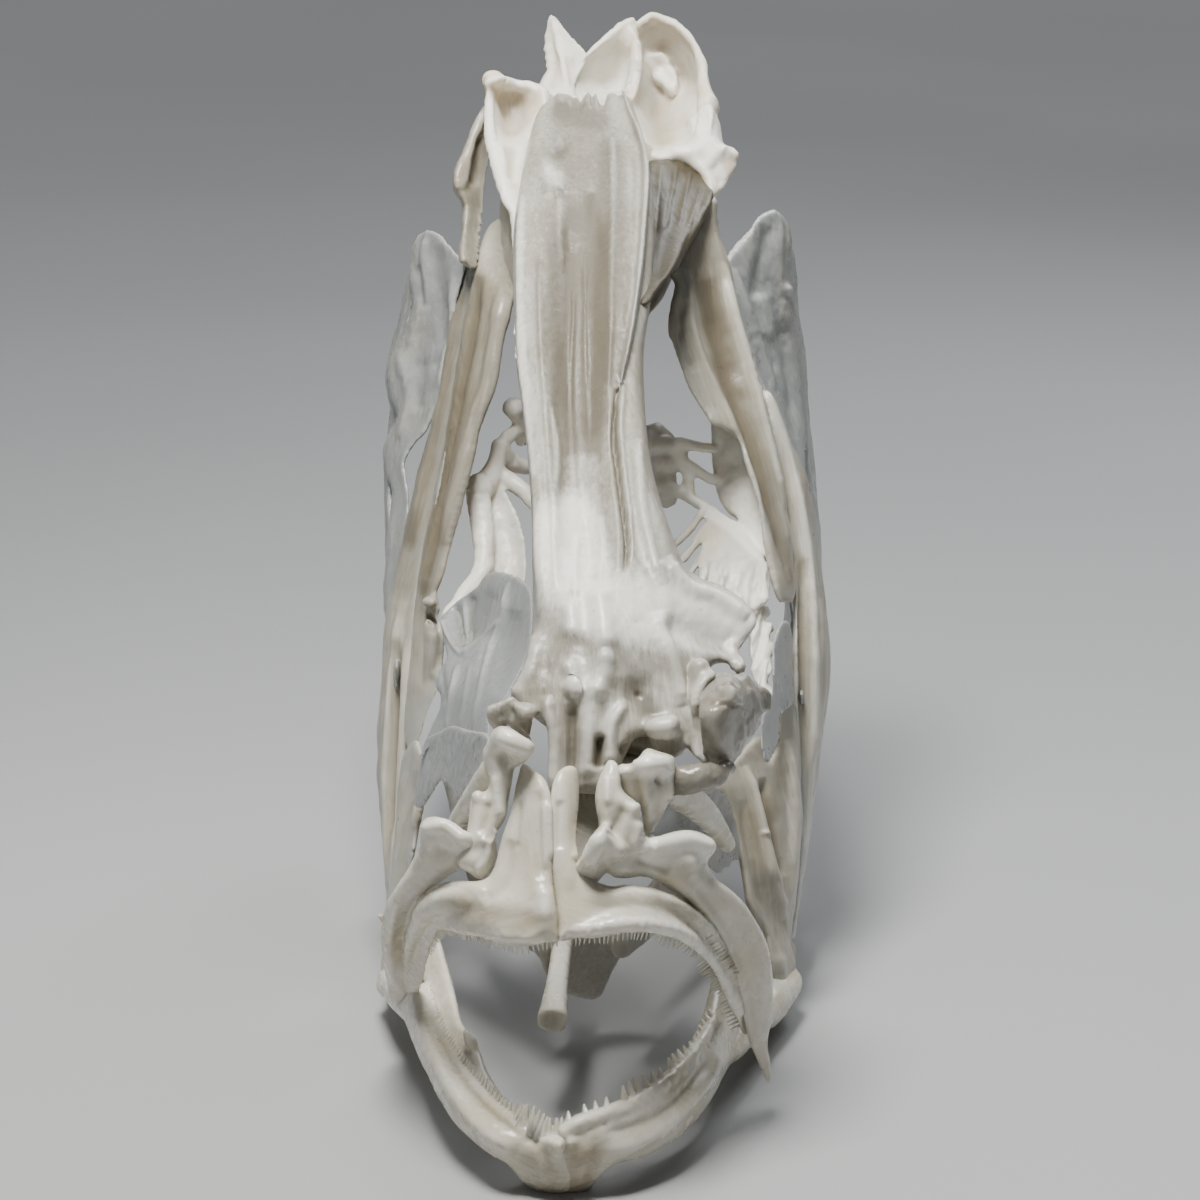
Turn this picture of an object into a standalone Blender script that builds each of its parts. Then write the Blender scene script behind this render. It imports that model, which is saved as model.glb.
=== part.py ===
"""Skull of a right-eyed flounder, life size, mouth open, standing on its chin and the two lower edges of its gill covers.

Metres, +Z up. +X is the specimen's left (blind) side, -Y is the direction it faces. The bones are laid out on a
front view: a point is a column u, a row v and a distance y behind the plane of the jaw joints, all in millimetres
but for u and v, whose unit is UNIT mm at that plane. Each bone is its own closed body with a narrow suture gap
to its neighbours.
"""
import math

import bmesh
import bpy
import mathutils.geometry
import numpy as np
from mathutils import Vector
from mathutils.bvhtree import BVHTree

for old in list(bpy.data.objects):
    bpy.data.objects.remove(old, do_unlink=True)

VOXEL = 0.30           # grain at which the lofts of one bone are fused, mm
SUTURE = 0.42          # clearance cut between neighbouring bones, mm
TOOTH_SHARE = 0.19     # share of the living row of teeth that the solids carry
WALL = 0.95            # least thickness of a sheet bone in the solids, mm

# ---------------------------------------------------------------- sizes (millimetres)
VIEW_TILT = math.radians(15.0)   # the front view looks down by this much
VIEW_DIST = 400.0                # from the viewpoint to the plane of the jaw joints
UNIT = 0.0955                    # one unit of the front view, at that plane
VIEW_MID = (600.0, 600.0)        # middle of the front view
JOINT_V = 975.0                  # row of the jaw joints in the front view
JOINT_Z = 4.3                    # height of the jaw joints above the floor
AHEAD, ASIDE = 12.02, 0.36          # from the layout's own zero to the middle of the whole skull's outline
MM = 0.001

_S, _C = math.sin(VIEW_TILT), math.cos(VIEW_TILT)
_F = VIEW_DIST / UNIT
_DROP = (JOINT_V - VIEW_MID[1]) * UNIT
MID = np.array([-ASIDE, _DROP * _S - AHEAD, JOINT_Z + _DROP * _C])   # world point at the middle of the front view


def at(u, v, y):
    """World point (mm) seen at column u, row v of the front view, y mm behind the jaw joints."""
    k = (VIEW_MID[1] - v) / _F
    w = (y - AHEAD - MID[1] - _S * k * VIEW_DIST) / (_S * k + _C)
    x = (u - VIEW_MID[0]) / _F * (VIEW_DIST + w)
    up = k * (VIEW_DIST + w)
    return np.array([MID[0] + x, MID[1] + up * _S + w * _C, MID[2] + up * _C - w * _S])


SIGHT = np.array([0.0, _C, -_S])          # direction of the front view


def pt(p):
    """A front-view triple (u, v, y), or a world point given as ('w', x, y, z)."""
    if isinstance(p[0], str):
        return np.array(p[1:], float) - (ASIDE, AHEAD, 0.0)
    return at(*p[:3])


def along(table, t):
    """Value read off a short table of (t, value) pairs."""
    xs, ys = zip(*sorted(table))
    return float(np.interp(t, xs, ys))


def curve(rows, n, dims=3):
    """n rows on a smooth curve through the given rows, by chord length of their first columns."""
    P = np.asarray(rows, float)
    m = len(P)
    step = np.maximum(np.linalg.norm(np.diff(P[:, :dims], axis=0), axis=1), 1e-3) ** 0.7
    t = np.concatenate([[0.0], np.cumsum(step)])
    if m == 2:
        s = np.linspace(0, 1, n)[:, None]
        return P[0] * (1 - s) + P[1] * s
    slope = np.diff(P, axis=0) / step[:, None]
    tan = np.empty_like(P)
    tan[1:-1] = (slope[:-1] * step[1:, None] + slope[1:] * step[:-1, None]) / (step[:-1] + step[1:])[:, None]
    tan[0], tan[-1] = slope[0], slope[-1]
    q = np.linspace(0, t[-1], n)
    i = np.clip(np.searchsorted(t, q, side="right") - 1, 0, m - 2)
    h = step[i][:, None]
    s = ((q - t[i]) / step[i])[:, None]
    a, b = P[i], P[i + 1]
    ta, tb = tan[i] * h, tan[i + 1] * h
    return ((2 * s**3 - 3 * s**2 + 1) * a + (s**3 - 2 * s**2 + s) * ta
            + (-2 * s**3 + 3 * s**2) * b + (s**3 - s**2) * tb)


def unit(v):
    return v / np.maximum(np.linalg.norm(v, axis=-1, keepdims=True), 1e-9)


def spread(value, n, count):
    """A scalar, or one value for each station, spread over n rings."""
    if np.ndim(value) == 0:
        return np.full(n, float(value))
    return np.interp(np.linspace(0, 1, n), np.linspace(0, 1, count), np.asarray(value, float))


class Shape:
    """Closed shells of one bone, gathered before they are fused."""

    def __init__(self):
        self.verts, self.faces, self.teeth = [], [], []

    def add(self, verts, faces):
        base = sum(len(v) for v in self.verts)
        self.verts.append(np.asarray(verts, float))
        self.faces += [tuple(base + i for i in f) for f in faces]

    def rings(self, C, A, B, sides=14, power=2.0, bow=0.0):
        """Loft of oval rings: centre C, half-width vector A, half-thickness vector B, rounded ends."""
        n = len(C)
        ends = np.linspace(0, math.pi / 2, 4)[:-1]
        first, last = C[0] - C[1], C[-1] - C[-2]
        verts = []
        power = spread(power, n, n) if np.ndim(power) else np.full(n, power)
        bow = spread(bow, n, n) if np.ndim(bow) else np.full(n, bow)
        ang = np.linspace(0, 2 * math.pi, sides, endpoint=False)
        cs, sn = np.cos(ang), np.sin(ang)
        rim = []

        def ring(c, a, b, p, w):
            x = np.sign(cs) * np.abs(cs) ** (2 / p)
            y = np.sign(sn) * np.abs(sn) ** (2 / p)
            nb = b / max(np.linalg.norm(b), 1e-9)
            return c + x[:, None] * a + y[:, None] * b + (w * (1 - x**2))[:, None] * nb

        def cap(i, d):
            out = []
            r = min(np.linalg.norm(A[i]), np.linalg.norm(B[i]))
            d = unit(d) * r
            for e in ends[1:]:
                f = math.cos(e)
                g = 1 - (1 - f) * min(1.0, r / max(np.linalg.norm(A[i]), 1e-9))
                out.append(ring(C[i] + d * math.sin(e), A[i] * g, B[i] * f, power[i], bow[i]))
            return out

        rows = cap(0, first)[::-1] + [ring(C[i], A[i], B[i], power[i], bow[i]) for i in range(n)] + cap(n - 1, last)
        m = len(rows)
        verts = np.concatenate(rows)
        faces = [(r * sides + j, r * sides + (j + 1) % sides, (r + 1) * sides + (j + 1) % sides, (r + 1) * sides + j)
                 for r in range(m - 1) for j in range(sides)]
        faces += [tuple(range(sides))[::-1], tuple((m - 1) * sides + j for j in range(sides))]
        self.add(verts, faces)

    def tube(self, path, wide, deep=None, sides=14, power=2.0, n=None, toward=None):
        """Rod along a path: half-width across the front view, half-depth along it."""
        P = np.array([pt(p) for p in path])
        n = n or max(8, 6 * len(P))
        C = curve(P, n)
        wide = spread(wide, n, len(P))
        deep = wide if deep is None else spread(deep, n, len(P))
        T = unit(np.gradient(C, axis=0))
        S = SIGHT if toward is None else np.asarray(toward, float)
        A = unit(np.cross(T, S))
        B = unit(np.cross(A, T))
        self.rings(C, A * wide[:, None], B * deep[:, None], sides, power)

    def blade(self, one, two, thick, bow=0.0, power=2.0, n=None, sides=18):
        """Lens-section plate between two edges; bow swells its middle toward the rear."""
        one = np.array([pt(p) for p in one])
        two = np.array([pt(p) for p in two])
        n = n or max(10, 6 * max(len(one), len(two)))
        E, G = curve(one, n), curve(two, n)
        C = (E + G) / 2
        A = (G - E) / 2
        T = unit(np.gradient(C, axis=0))
        N = unit(np.cross(A, T))
        N = N * np.sign((N @ SIGHT).sum() + 1e-9)
        th = spread(thick, n, len(thick) if np.ndim(thick) else 2) / 2
        bw = spread(bow, n, len(bow) if np.ndim(bow) else 2)
        self.rings(C, A, N * th[:, None], sides, power, bw)

    def slab(self, rows, n=None, sides=20, power=2.4):
        """Body whose rows are (v, left, right, y of the front surface, depth)."""
        rows = np.asarray(rows, float)
        n = n or 6 * len(rows)
        one = np.array([at(r[1], r[0], r[3]) for r in rows])
        two = np.array([at(r[2], r[0], r[3]) for r in rows])
        deep = np.asarray(rows[:, 4])
        both = curve(np.hstack([(one + two) / 2, (two - one) / 2, deep[:, None]]), n)
        C, A, D = both[:, :3], both[:, 3:6], both[:, 6]
        T = unit(np.gradient(C, axis=0))
        N = unit(np.cross(A, T))
        N = N * np.sign(N @ SIGHT + 1e-9)[:, None]
        C = C + N * D[:, None] / 2
        self.rings(C, A, N * D[:, None] / 2, sides, power)

    def sheet(self, rows, thick, nu=None, nv=None):
        """Thin curved plate through a grid of points; rows all have the same number of points."""
        G = np.array([[pt(p) for p in row] for row in rows])
        nu = nu or 6 * G.shape[0]
        nv = nv or 6 * G.shape[1]
        G = np.array([curve(row, nv) for row in G])
        G = np.stack([curve(G[:, j], nu) for j in range(nv)], axis=1)
        du, dv = np.gradient(G, axis=0), np.gradient(G, axis=1)
        N = unit(np.cross(du, dv))
        half = thick / 2
        i = np.minimum(np.arange(nu), np.arange(nu)[::-1])[:, None]
        j = np.minimum(np.arange(nv), np.arange(nv)[::-1])[None, :]
        edge = np.clip(np.minimum(i, j) / 2.0, 0.45, 1.0)[..., None]
        top, low = G + N * half * edge, G - N * half * edge
        verts = np.concatenate([top.reshape(-1, 3), low.reshape(-1, 3)])
        off = nu * nv
        q = lambda a, b: a * nv + b
        faces = []
        for a in range(nu - 1):
            for b in range(nv - 1):
                faces.append((q(a, b), q(a + 1, b), q(a + 1, b + 1), q(a, b + 1)))
                faces.append((off + q(a, b), off + q(a, b + 1), off + q(a + 1, b + 1), off + q(a + 1, b)))
        for a in range(nu - 1):
            faces.append((q(a, 0), off + q(a, 0), off + q(a + 1, 0), q(a + 1, 0)))
            faces.append((q(a, nv - 1), q(a + 1, nv - 1), off + q(a + 1, nv - 1), off + q(a, nv - 1)))
        for b in range(nv - 1):
            faces.append((q(0, b), q(0, b + 1), off + q(0, b + 1), off + q(0, b)))
            faces.append((q(nu - 1, b), off + q(nu - 1, b), off + q(nu - 1, b + 1), q(nu - 1, b + 1)))
        self.add(verts, faces)

    def lump(self, p, r, segments=16, rings=10):
        """Ellipsoid with world radii r about a point."""
        c = pt(p)
        r = np.full(3, float(r)) if np.ndim(r) == 0 else np.asarray(r, float)
        bm = bmesh.new()
        bmesh.ops.create_uvsphere(bm, u_segments=segments, v_segments=rings, radius=1.0)
        verts = np.array([v.co[:] for v in bm.verts]) * r + c
        faces = [tuple(v.index for v in f.verts) for f in bm.faces]
        bm.free()
        self.add(verts, faces)

    def cone(self, root, tip, r, sides=6, levels=((0.55, 0.62), (0.93, 0.22))):
        """Tooth: a slender cone from its root to its tip."""
        root, tip = np.asarray(root, float), np.asarray(tip, float)
        axis = unit(tip - root)
        side = unit(np.cross(axis, [0.0, 1.0, 0.3]))
        other = np.cross(axis, side)
        ang = np.linspace(0, 2 * math.pi, sides, endpoint=False)
        rim = np.cos(ang)[:, None] * side + np.sin(ang)[:, None] * other
        rows = [root + rim * r] + [root + (tip - root) * f + rim * r * g for f, g in levels]
        verts = np.concatenate(rows + [[tip]])
        m = len(rows)
        faces = [tuple(range(sides))[::-1]]
        for k in range(m - 1):
            faces += [(k * sides + j, k * sides + (j + 1) % sides, (k + 1) * sides + (j + 1) % sides, (k + 1) * sides + j) for j in range(sides)]
        faces += [((m - 1) * sides + j, (m - 1) * sides + (j + 1) % sides, m * sides) for j in range(sides)]
        self.add(verts, faces)


def mesh_of(name, shape):
    mesh = bpy.data.meshes.new(name)
    mesh.from_pydata((np.concatenate(shape.verts) * MM).tolist(), [], shape.faces)
    bm = bmesh.new()
    bm.from_mesh(mesh)
    bmesh.ops.recalc_face_normals(bm, faces=bm.faces)
    bm.to_mesh(mesh)
    bm.free()
    return mesh


def settled(obj, name):
    """The object's mesh with its modifiers applied."""
    bpy.context.view_layer.update()
    graph = bpy.context.evaluated_depsgraph_get()
    mesh = bpy.data.meshes.new_from_object(obj.evaluated_get(graph))
    mesh.name = name
    obj.modifiers.clear()
    old = obj.data
    obj.data = mesh
    bpy.data.meshes.remove(old)
    return mesh

# ---------------------------------------------------------------- outline plates
BLUNT = 0.60                     # thickness left at a plate's edge, mm


def surface_through(points):
    """Smooth function of front-view place that passes near a few (column, row, value) points."""
    Q = np.asarray(points, float)
    if Q.ndim == 0:
        return lambda u, v: np.full(np.shape(u), float(Q))
    c, z = Q[:, :2] / 100.0, Q[:, 2]
    n = len(Q)
    if n < 3:
        return lambda u, v: np.full(np.shape(u), z.mean())

    def r2log(d2):
        return 0.5 * d2 * np.log(np.maximum(d2, 1e-12))

    K = r2log(((c[:, None] - c[None]) ** 2).sum(-1)) + 1e-4 * np.eye(n)
    L = np.hstack([np.ones((n, 1)), c])
    M = np.block([[K, L], [L.T, np.zeros((3, 3))]])
    w = np.linalg.lstsq(M, np.concatenate([z, np.zeros(3)]), rcond=None)[0]

    def value(u, v):
        q = np.stack([np.ravel(u), np.ravel(v)], axis=1) / 100.0
        out = w[n] + q @ w[n + 1:]
        out = out + r2log(((q[:, None] - c[None]) ** 2).sum(-1)) @ w[:n]
        return np.clip(out, z.min() - 3, z.max() + 3).reshape(np.shape(u))

    return value


def loop_of(outline, smooth):
    P = np.asarray(outline, float)[:, :2]
    if not smooth:
        return P
    n = len(P)
    wrapped = np.concatenate([P[-2:], P, P[:3]])
    step = np.linalg.norm(np.diff(wrapped, axis=0), axis=1)
    out = []
    for i in range(2, n + 2):
        a, b, c, d = wrapped[i - 1], wrapped[i], wrapped[i + 1], wrapped[i + 2]
        k = max(2, int(round(step[i] / 3.0)))
        t = np.linspace(0, 1, k, endpoint=False)[:, None]
        ta, tb = (c - a) * 0.5, (d - b) * 0.5
        lim = max(step[i], 1e-6)
        ta *= min(1.0, lim / max(np.linalg.norm(ta), 1e-6))
        tb *= min(1.0, lim / max(np.linalg.norm(tb), 1e-6))
        out.append((2 * t**3 - 3 * t**2 + 1) * b + (t**3 - 2 * t**2 + t) * ta + (-2 * t**3 + 3 * t**2) * c + (t**3 - t**2) * tb)
    return np.concatenate(out)


def grown(L, by):
    """A loop moved outward by a number of front-view units."""
    if not by:
        return L
    d = unit(np.roll(L, -1, axis=0) - np.roll(L, 1, axis=0))
    n = np.stack([d[:, 1], -d[:, 0]], axis=1)
    x, y = L[:, 0], L[:, 1]
    area = (x * np.roll(y, -1) - np.roll(x, -1) * y).sum()
    return L + n * by * np.sign(area)


def edge_distance(q, loops):
    d = np.full(len(q), 1e9)
    for L in loops:
        for a, b in zip(L, np.roll(L, -1, axis=0)):
            e = b - a
            t = np.clip(((q - a) @ e) / max(e @ e, 1e-9), 0, 1)
            d = np.minimum(d, np.linalg.norm(q - a - t[:, None] * e, axis=1))
    return d


def inside(q, L):
    x, y = q[:, 0], q[:, 1]
    odd = np.zeros(len(q), bool)
    for a, b in zip(L, np.roll(L, -1, axis=0)):
        if a[1] == b[1]:
            continue
        hit = ((a[1] > y) != (b[1] > y)) & (x < (b[0] - a[0]) * (y - a[1]) / (b[1] - a[1]) + a[0])
        odd ^= hit
    return odd


def plate(shape, outline, depth, thick, rim=None, holes=(), smooth=True, step=3.0, front=0.5, grow=1.0):
    """Closed body with a free outline in the front view. depth gives its middle (mm behind the joints), thick its
    thickness (mm); its edge is rounded over rim units, and front is the share of the thickness in front of the middle."""
    loops = [grown(loop_of(outline, smooth), grow)] + [loop_of(h, smooth) for h in holes]
    D, T = surface_through(depth), surface_through(thick)
    lo, hi = loops[0].min(0), loops[0].max(0)
    rows = []
    for j, y in enumerate(np.arange(lo[1], hi[1], step * 0.866)):
        xs = np.arange(lo[0] + (step / 2 if j % 2 else 0), hi[0], step)
        rows.append(np.stack([xs, np.full(len(xs), y)], axis=1))
    grid = np.concatenate(rows)
    keep = inside(grid, loops[0])
    for h in loops[1:]:
        keep &= ~inside(grid, h)
    grid = grid[keep]
    grid = grid[edge_distance(grid, loops) > step * 0.45]
    edges, base, pts = [], 0, []
    for L in loops:
        m = len(L)
        pts.append(L)
        edges += [(base + i, base + (i + 1) % m) for i in range(m)]
        base += m
    pts = np.concatenate(pts + [grid])
    out = mathutils.geometry.delaunay_2d_cdt([Vector(p) for p in pts], edges, [], 0, 1e-5)
    q = np.array([v[:] for v in out[0]])
    tris = np.array([f for f in out[2] if len(f) == 3])
    mid = q[tris].mean(1)
    ok = inside(mid, loops[0])
    for h in loops[1:]:
        ok &= ~inside(mid, h)
    tris = tris[ok]
    used = np.unique(tris)
    remap = np.full(len(q), -1)
    remap[used] = np.arange(len(used))
    q, tris = q[used], remap[tris]
    d = edge_distance(q, loops)
    t = np.maximum(T(q[:, 0], q[:, 1]), WALL)
    rim_units = rim if rim is not None else np.minimum(t / 2 / UNIT, 14.0)
    f = np.clip(d / np.maximum(rim_units, 1e-6), 0, 1)
    f = np.sqrt(np.clip(1 - (1 - f) ** 2, 0, 1))
    blunt = np.minimum(0.5, BLUNT / t)
    f = blunt + (1 - blunt) * f
    y = D(q[:, 0], q[:, 1])
    P = np.array([at(a, b, c) for (a, b), c in zip(q, y)])
    back = P + SIGHT * (t * (1 - front) * f)[:, None]
    face = P - SIGHT * (t * front * f)[:, None]
    n = len(q)
    ends = np.sort(np.concatenate([tris[:, [0, 1]], tris[:, [1, 2]], tris[:, [2, 0]]]), axis=1)
    flow = np.concatenate([tris[:, [0, 1]], tris[:, [1, 2]], tris[:, [2, 0]]])
    _, first, times = np.unique(ends, axis=0, return_index=True, return_counts=True)
    rim_edges = flow[first[times == 1]]
    faces = [tuple(t3) for t3 in tris.tolist()] + [tuple((t3 + n)[::-1]) for t3 in tris]
    faces += [(int(j), int(i), int(i) + n, int(j) + n) for i, j in rim_edges]
    shape.add(np.concatenate([face, back]), faces)


def plate_of(self, outline, depth, thick, rim, smooth=True, grow=1.0):
    plate(self, outline, depth, thick, rim=rim, smooth=smooth, grow=grow)


Shape.plate_of = plate_of

# ---------------------------------------------------------------- depth tables (front-view row -> mm behind the joints)
ROOF = [(800, -33), (770, -32.5), (690, -29), (600, -24), (500, -14), (400, -3.5), (300, 7), (200, 20.5), (100, 40), (15, 56)]
BAR = [(985, 0), (975, 0), (800, 9), (600, 17), (400, 25), (270, 31), (200, 34)]


def yr(v, d=0.0):
    return along(ROOF, v) + d


def yb(v, d=0.0):
    return along(BAR, v) + d


def line(points, depth, d=0.0):
    """Front-view points whose depth is read off a table."""
    return [(u, v, along(depth, v) + d) for u, v in points]


BONES = {}


def bone(name, look, tris):
    shape = Shape()
    BONES[name] = (shape, look, tris)
    return shape


# ================================================================ skull roof and braincase
def frontoethmoid():
    s = bone("frontoethmoid", "roof", 1050)
    rim = [(545, 98), (536, 118), (528, 148), (521, 185), (515, 225), (514, 270), (515, 320), (517, 362), (522, 400), (528, 450), (532, 505), (533, 560), (534, 605), (532, 636),
           (526, 658), (520, 677), (512, 692), (516, 706), (530, 714), (541, 722), (549, 729), (551, 745), (551, 770), (552, 796), (561, 797), (565, 793), (571, 788), (575, 790),
           (577, 792), (603, 792), (617, 776), (621, 762), (627, 750), (634, 738), (650, 736), (664, 741), (680, 737), (687, 746), (695, 755), (706, 762), (704, 748),
           (700, 726), (697, 704), (698, 688), (703, 674), (713, 664), (724, 662), (735, 666), (744, 670), (740, 660), (737, 652), (748, 636), (756, 621), (746, 604), (731, 592), (716, 584),
           (700, 579), (684, 566), (677, 551), (665, 517), (656, 488), (648, 450), (644, 404), (643, 352), (650, 300), (654, 250), (653, 205), (648, 165), (642, 135), (634, 112), (628, 97),
           (618, 101), (611, 96), (602, 103), (592, 96), (580, 101), (566, 97)]
    body = [(580, 100, 43), (580, 200, 23.6), (580, 300, 10), (580, 400, 0), (585, 500, -10.4), (590, 580, -18.6), (590, 640, -23.4), (590, 690, -26.6), (590, 730, -29), (590, 790, -31.4),
            (535, 640, -22), (520, 690, -26), (650, 640, -22.6), (690, 600, -18), (740, 615, -18.6), (730, 655, -22), (700, 690, -25), (702, 750, -29.2), (650, 720, -27.6), (530, 300, 11.5),
            (645, 300, 11.5), (525, 200, 25), (645, 200, 25), (555, 750, -30), (620, 755, -30.2)]
    thick = [(580, 100, 5), (580, 200, 6.4), (580, 400, 6), (585, 560, 7), (590, 640, 7.5), (590, 700, 5.5), (690, 600, 6.0), (745, 620, 2.2), (735, 658, 1.8), (704, 755, 1.2), (700, 700, 3.0),
             (650, 690, 5.5), (555, 770, 1.8), (590, 780, 3.2), (620, 755, 2.8), (520, 695, 3.5), (665, 735, 3.5)]
    plate(s, rim, body, thick, rim=13, front=0.5)
    # sharp crest down the blind side of the roof, frayed at its upper end
    s.tube(line([(624, 96), (631, 115), (640, 137), (645.5, 163), (643.5, 224), (638.5, 281), (630, 337), (620, 384)], ROOF, 0.2),
           [0.22, 0.28, 0.34, 0.36, 0.34, 0.3, 0.26, 0.2], [0.8, 1.1, 1.4, 1.5, 1.4, 1.2, 1.0, 0.6])
    # knuckles above the pillars
    s.lump((527, 711, -30.8), [0.95, 1.0, 0.72])
    s.plate_of([(514, 706), (521, 703), (530, 704), (535, 709), (534, 716), (527, 720), (518, 717)], -30.2, 2.4, 7)
    s.plate_of([(652, 722), (658, 717), (668, 718), (677, 724), (682, 731), (680, 738), (668, 740), (656, 738), (651, 731)], -30.0, 3.2, 8)
    s.lump((606, 662, -27.2), [1.4, 1.2, 1.3])
    s.lump((571, 690, -29.0), [0.8, 0.9, 0.8])
    # dried cartilage under the knuckles
    s.plate_of([(489, 707), (500, 703), (511, 697), (518, 704), (515, 714), (508, 722), (503, 729), (494, 728), (488, 718)], -29.6, 1.6, 4)
    s.plate_of([(512, 716), (522, 719), (531, 721), (530, 730), (527, 739), (518, 736), (511, 727)], -30.2, 1.1, 3)
    s.tube([(522, 727, -31), (527, 733, -31.2), (531, 741, -31.4)], 0.16)
    s.plate_of([(651, 735), (663, 740), (680, 737), (685, 742), (683, 752), (674, 757), (661, 753), (652, 745)], -29.8, 1.3, 4)
    # vomer behind the pillars
    s.slab([(745, 556, 664, -28.0, 4.0), (775, 556, 648, -29.5, 4.5), (800, 553, 634, -30.5, 4.0), (840, 556, 612, -32.0, 4.0), (874, 562, 600, -33.6, 3.0)])
    s.tube([(700, 668, -26), (699, 700, -27.4), (703, 740, -29), (706, 762, -29.8)], [0.9, 0.8, 0.6, 0.3], [1.4, 1.2, 0.9, 0.5])


def parasphenoid():
    s = bone("parasphenoid", "bone", 90)
    s.tube([("w", 0.5, -20.5, 36.3), ("w", 0.2, -10, 39.6), ("w", -0.2, 2, 43.6), ("w", -0.8, 16, 48.6), ("w", -1.0, 30, 53.4), ("w", -1.0, 46, 58.4)],
           [2.6, 1.5, 1.3, 1.6, 2.3, 2.4], [1.4, 1.2, 1.1, 1.1, 1.0, 1.0], toward=(0, 0.0, -1.0))


def braincase():
    s = bone("braincase", "bone", 320)
    rings = [  # y, x, z, half-width, half-height
        (13.5, -1.5, 61.5, 2.6, 5.0), (20, -1.8, 64.0, 4.8, 6.6), (28, -1.8, 67.0, 7.0, 8.6), (37, -1.4, 70.0, 8.6, 9.6),
        (45, -1.2, 70.4, 7.6, 8.6), (51, -1.2, 67.6, 4.6, 5.6), (56.5, -1.2, 66.0, 3.2, 3.6), (58.5, -1.2, 66.0, 3.0, 3.4)]
    R = curve(rings, 34, dims=1)
    C = R[:, [1, 0, 2]] - (ASIDE, AHEAD, 0.0)
    A = np.stack([R[:, 3], 0 * R[:, 3], 0 * R[:, 3]], axis=1)
    B = np.stack([0 * R[:, 4], 0 * R[:, 4], R[:, 4]], axis=1)
    s.rings(C, A, B, sides=24, power=2.3)
    # roof shelf that joins the crown to the ear region on each side
    s.slab([(112, 536, 690, 58, 4), (140, 524, 690, 51, 5), (180, 518, 690, 42, 7), (222, 522, 682, 34, 8), (262, 526, 662, 28, 7)], sides=24)


def supraoccipital():
    s = bone("supraoccipital", "bright", 110)
    edge = [(551, 15), (557, 19), (562, 27), (568, 34), (576, 42), (586, 55), (583, 66), (577, 77), (574, 88), (578, 98), (584, 105), (572, 108), (560, 108), (546, 108), (534, 112), (537, 98),
            (540, 85), (545, 75), (549, 69), (546, 66), (548, 62), (545, 58), (547, 54), (544, 50), (546, 45), (545, 38), (547, 30), (548, 22)]
    s.plate_of(edge, [(551, 16, 57), (552, 50, 53), (575, 50, 51), (560, 90, 46), (535, 106, 43.4), (582, 104, 43.6)], [(551, 16, 0.7), (560, 50, 1.4), (560, 100, 3.2), (575, 60, 1.2)], 9)
    s.tube([(572, 108, 43.4), (570, 94, 45.2), (567, 76, 47.4), (560, 50, 51.6), (553, 22, 56)], [0.7, 0.55, 0.5, 0.45, 0.3], [1.0, 0.9, 0.8, 0.7, 0.4])
    s.tube([(552, 108, 48), (585, 108, 48.5), (616, 104, 49)], [1.4, 1.5, 1.3], [2.4, 2.6, 2.2])


def otic_ocular():
    s = bone("otic_ocular", "bright", 240)
    edge = [(486, 92), (484, 84), (487, 78), (491, 74), (498, 73), (504, 78), (513, 82), (527, 84), (541, 85), (549, 92), (548, 112), (538, 130), (530, 145), (527, 165), (526, 190), (525, 215),
            (524, 240), (523, 270), (522, 300), (520, 335), (517, 360), (515, 340), (515, 300), (514, 262), (511, 218), (506, 202), (500, 185), (495, 168), (491, 150), (488, 135), (488, 120), (488, 105)]
    s.plate_of(edge, [(488, 82, 40.5), (538, 86, 42.6), (512, 112, 43.2), (490, 118, 37), (492, 150, 33.4), (530, 118, 40.2), (514, 150, 34.6), (505, 190, 28.4), (516, 215, 24.6), (517, 262, 18.4), (518, 340, 6.6)],
               [(490, 84, 4.6), (538, 88, 3.6), (512, 112, 2.2), (490, 125, 4.2), (500, 170, 4.4), (510, 200, 3.4), (516, 262, 1.8), (517, 345, 0.9)], 12)
    s.lump((493, 81, 40.6), [1.2, 1.4, 1.1])
    s.tube([(516, 108, 48), (518, 130, 46), (522, 180, 40)], [2.2, 2.8, 2.2], [2.6, 3.4, 3.0])


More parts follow.
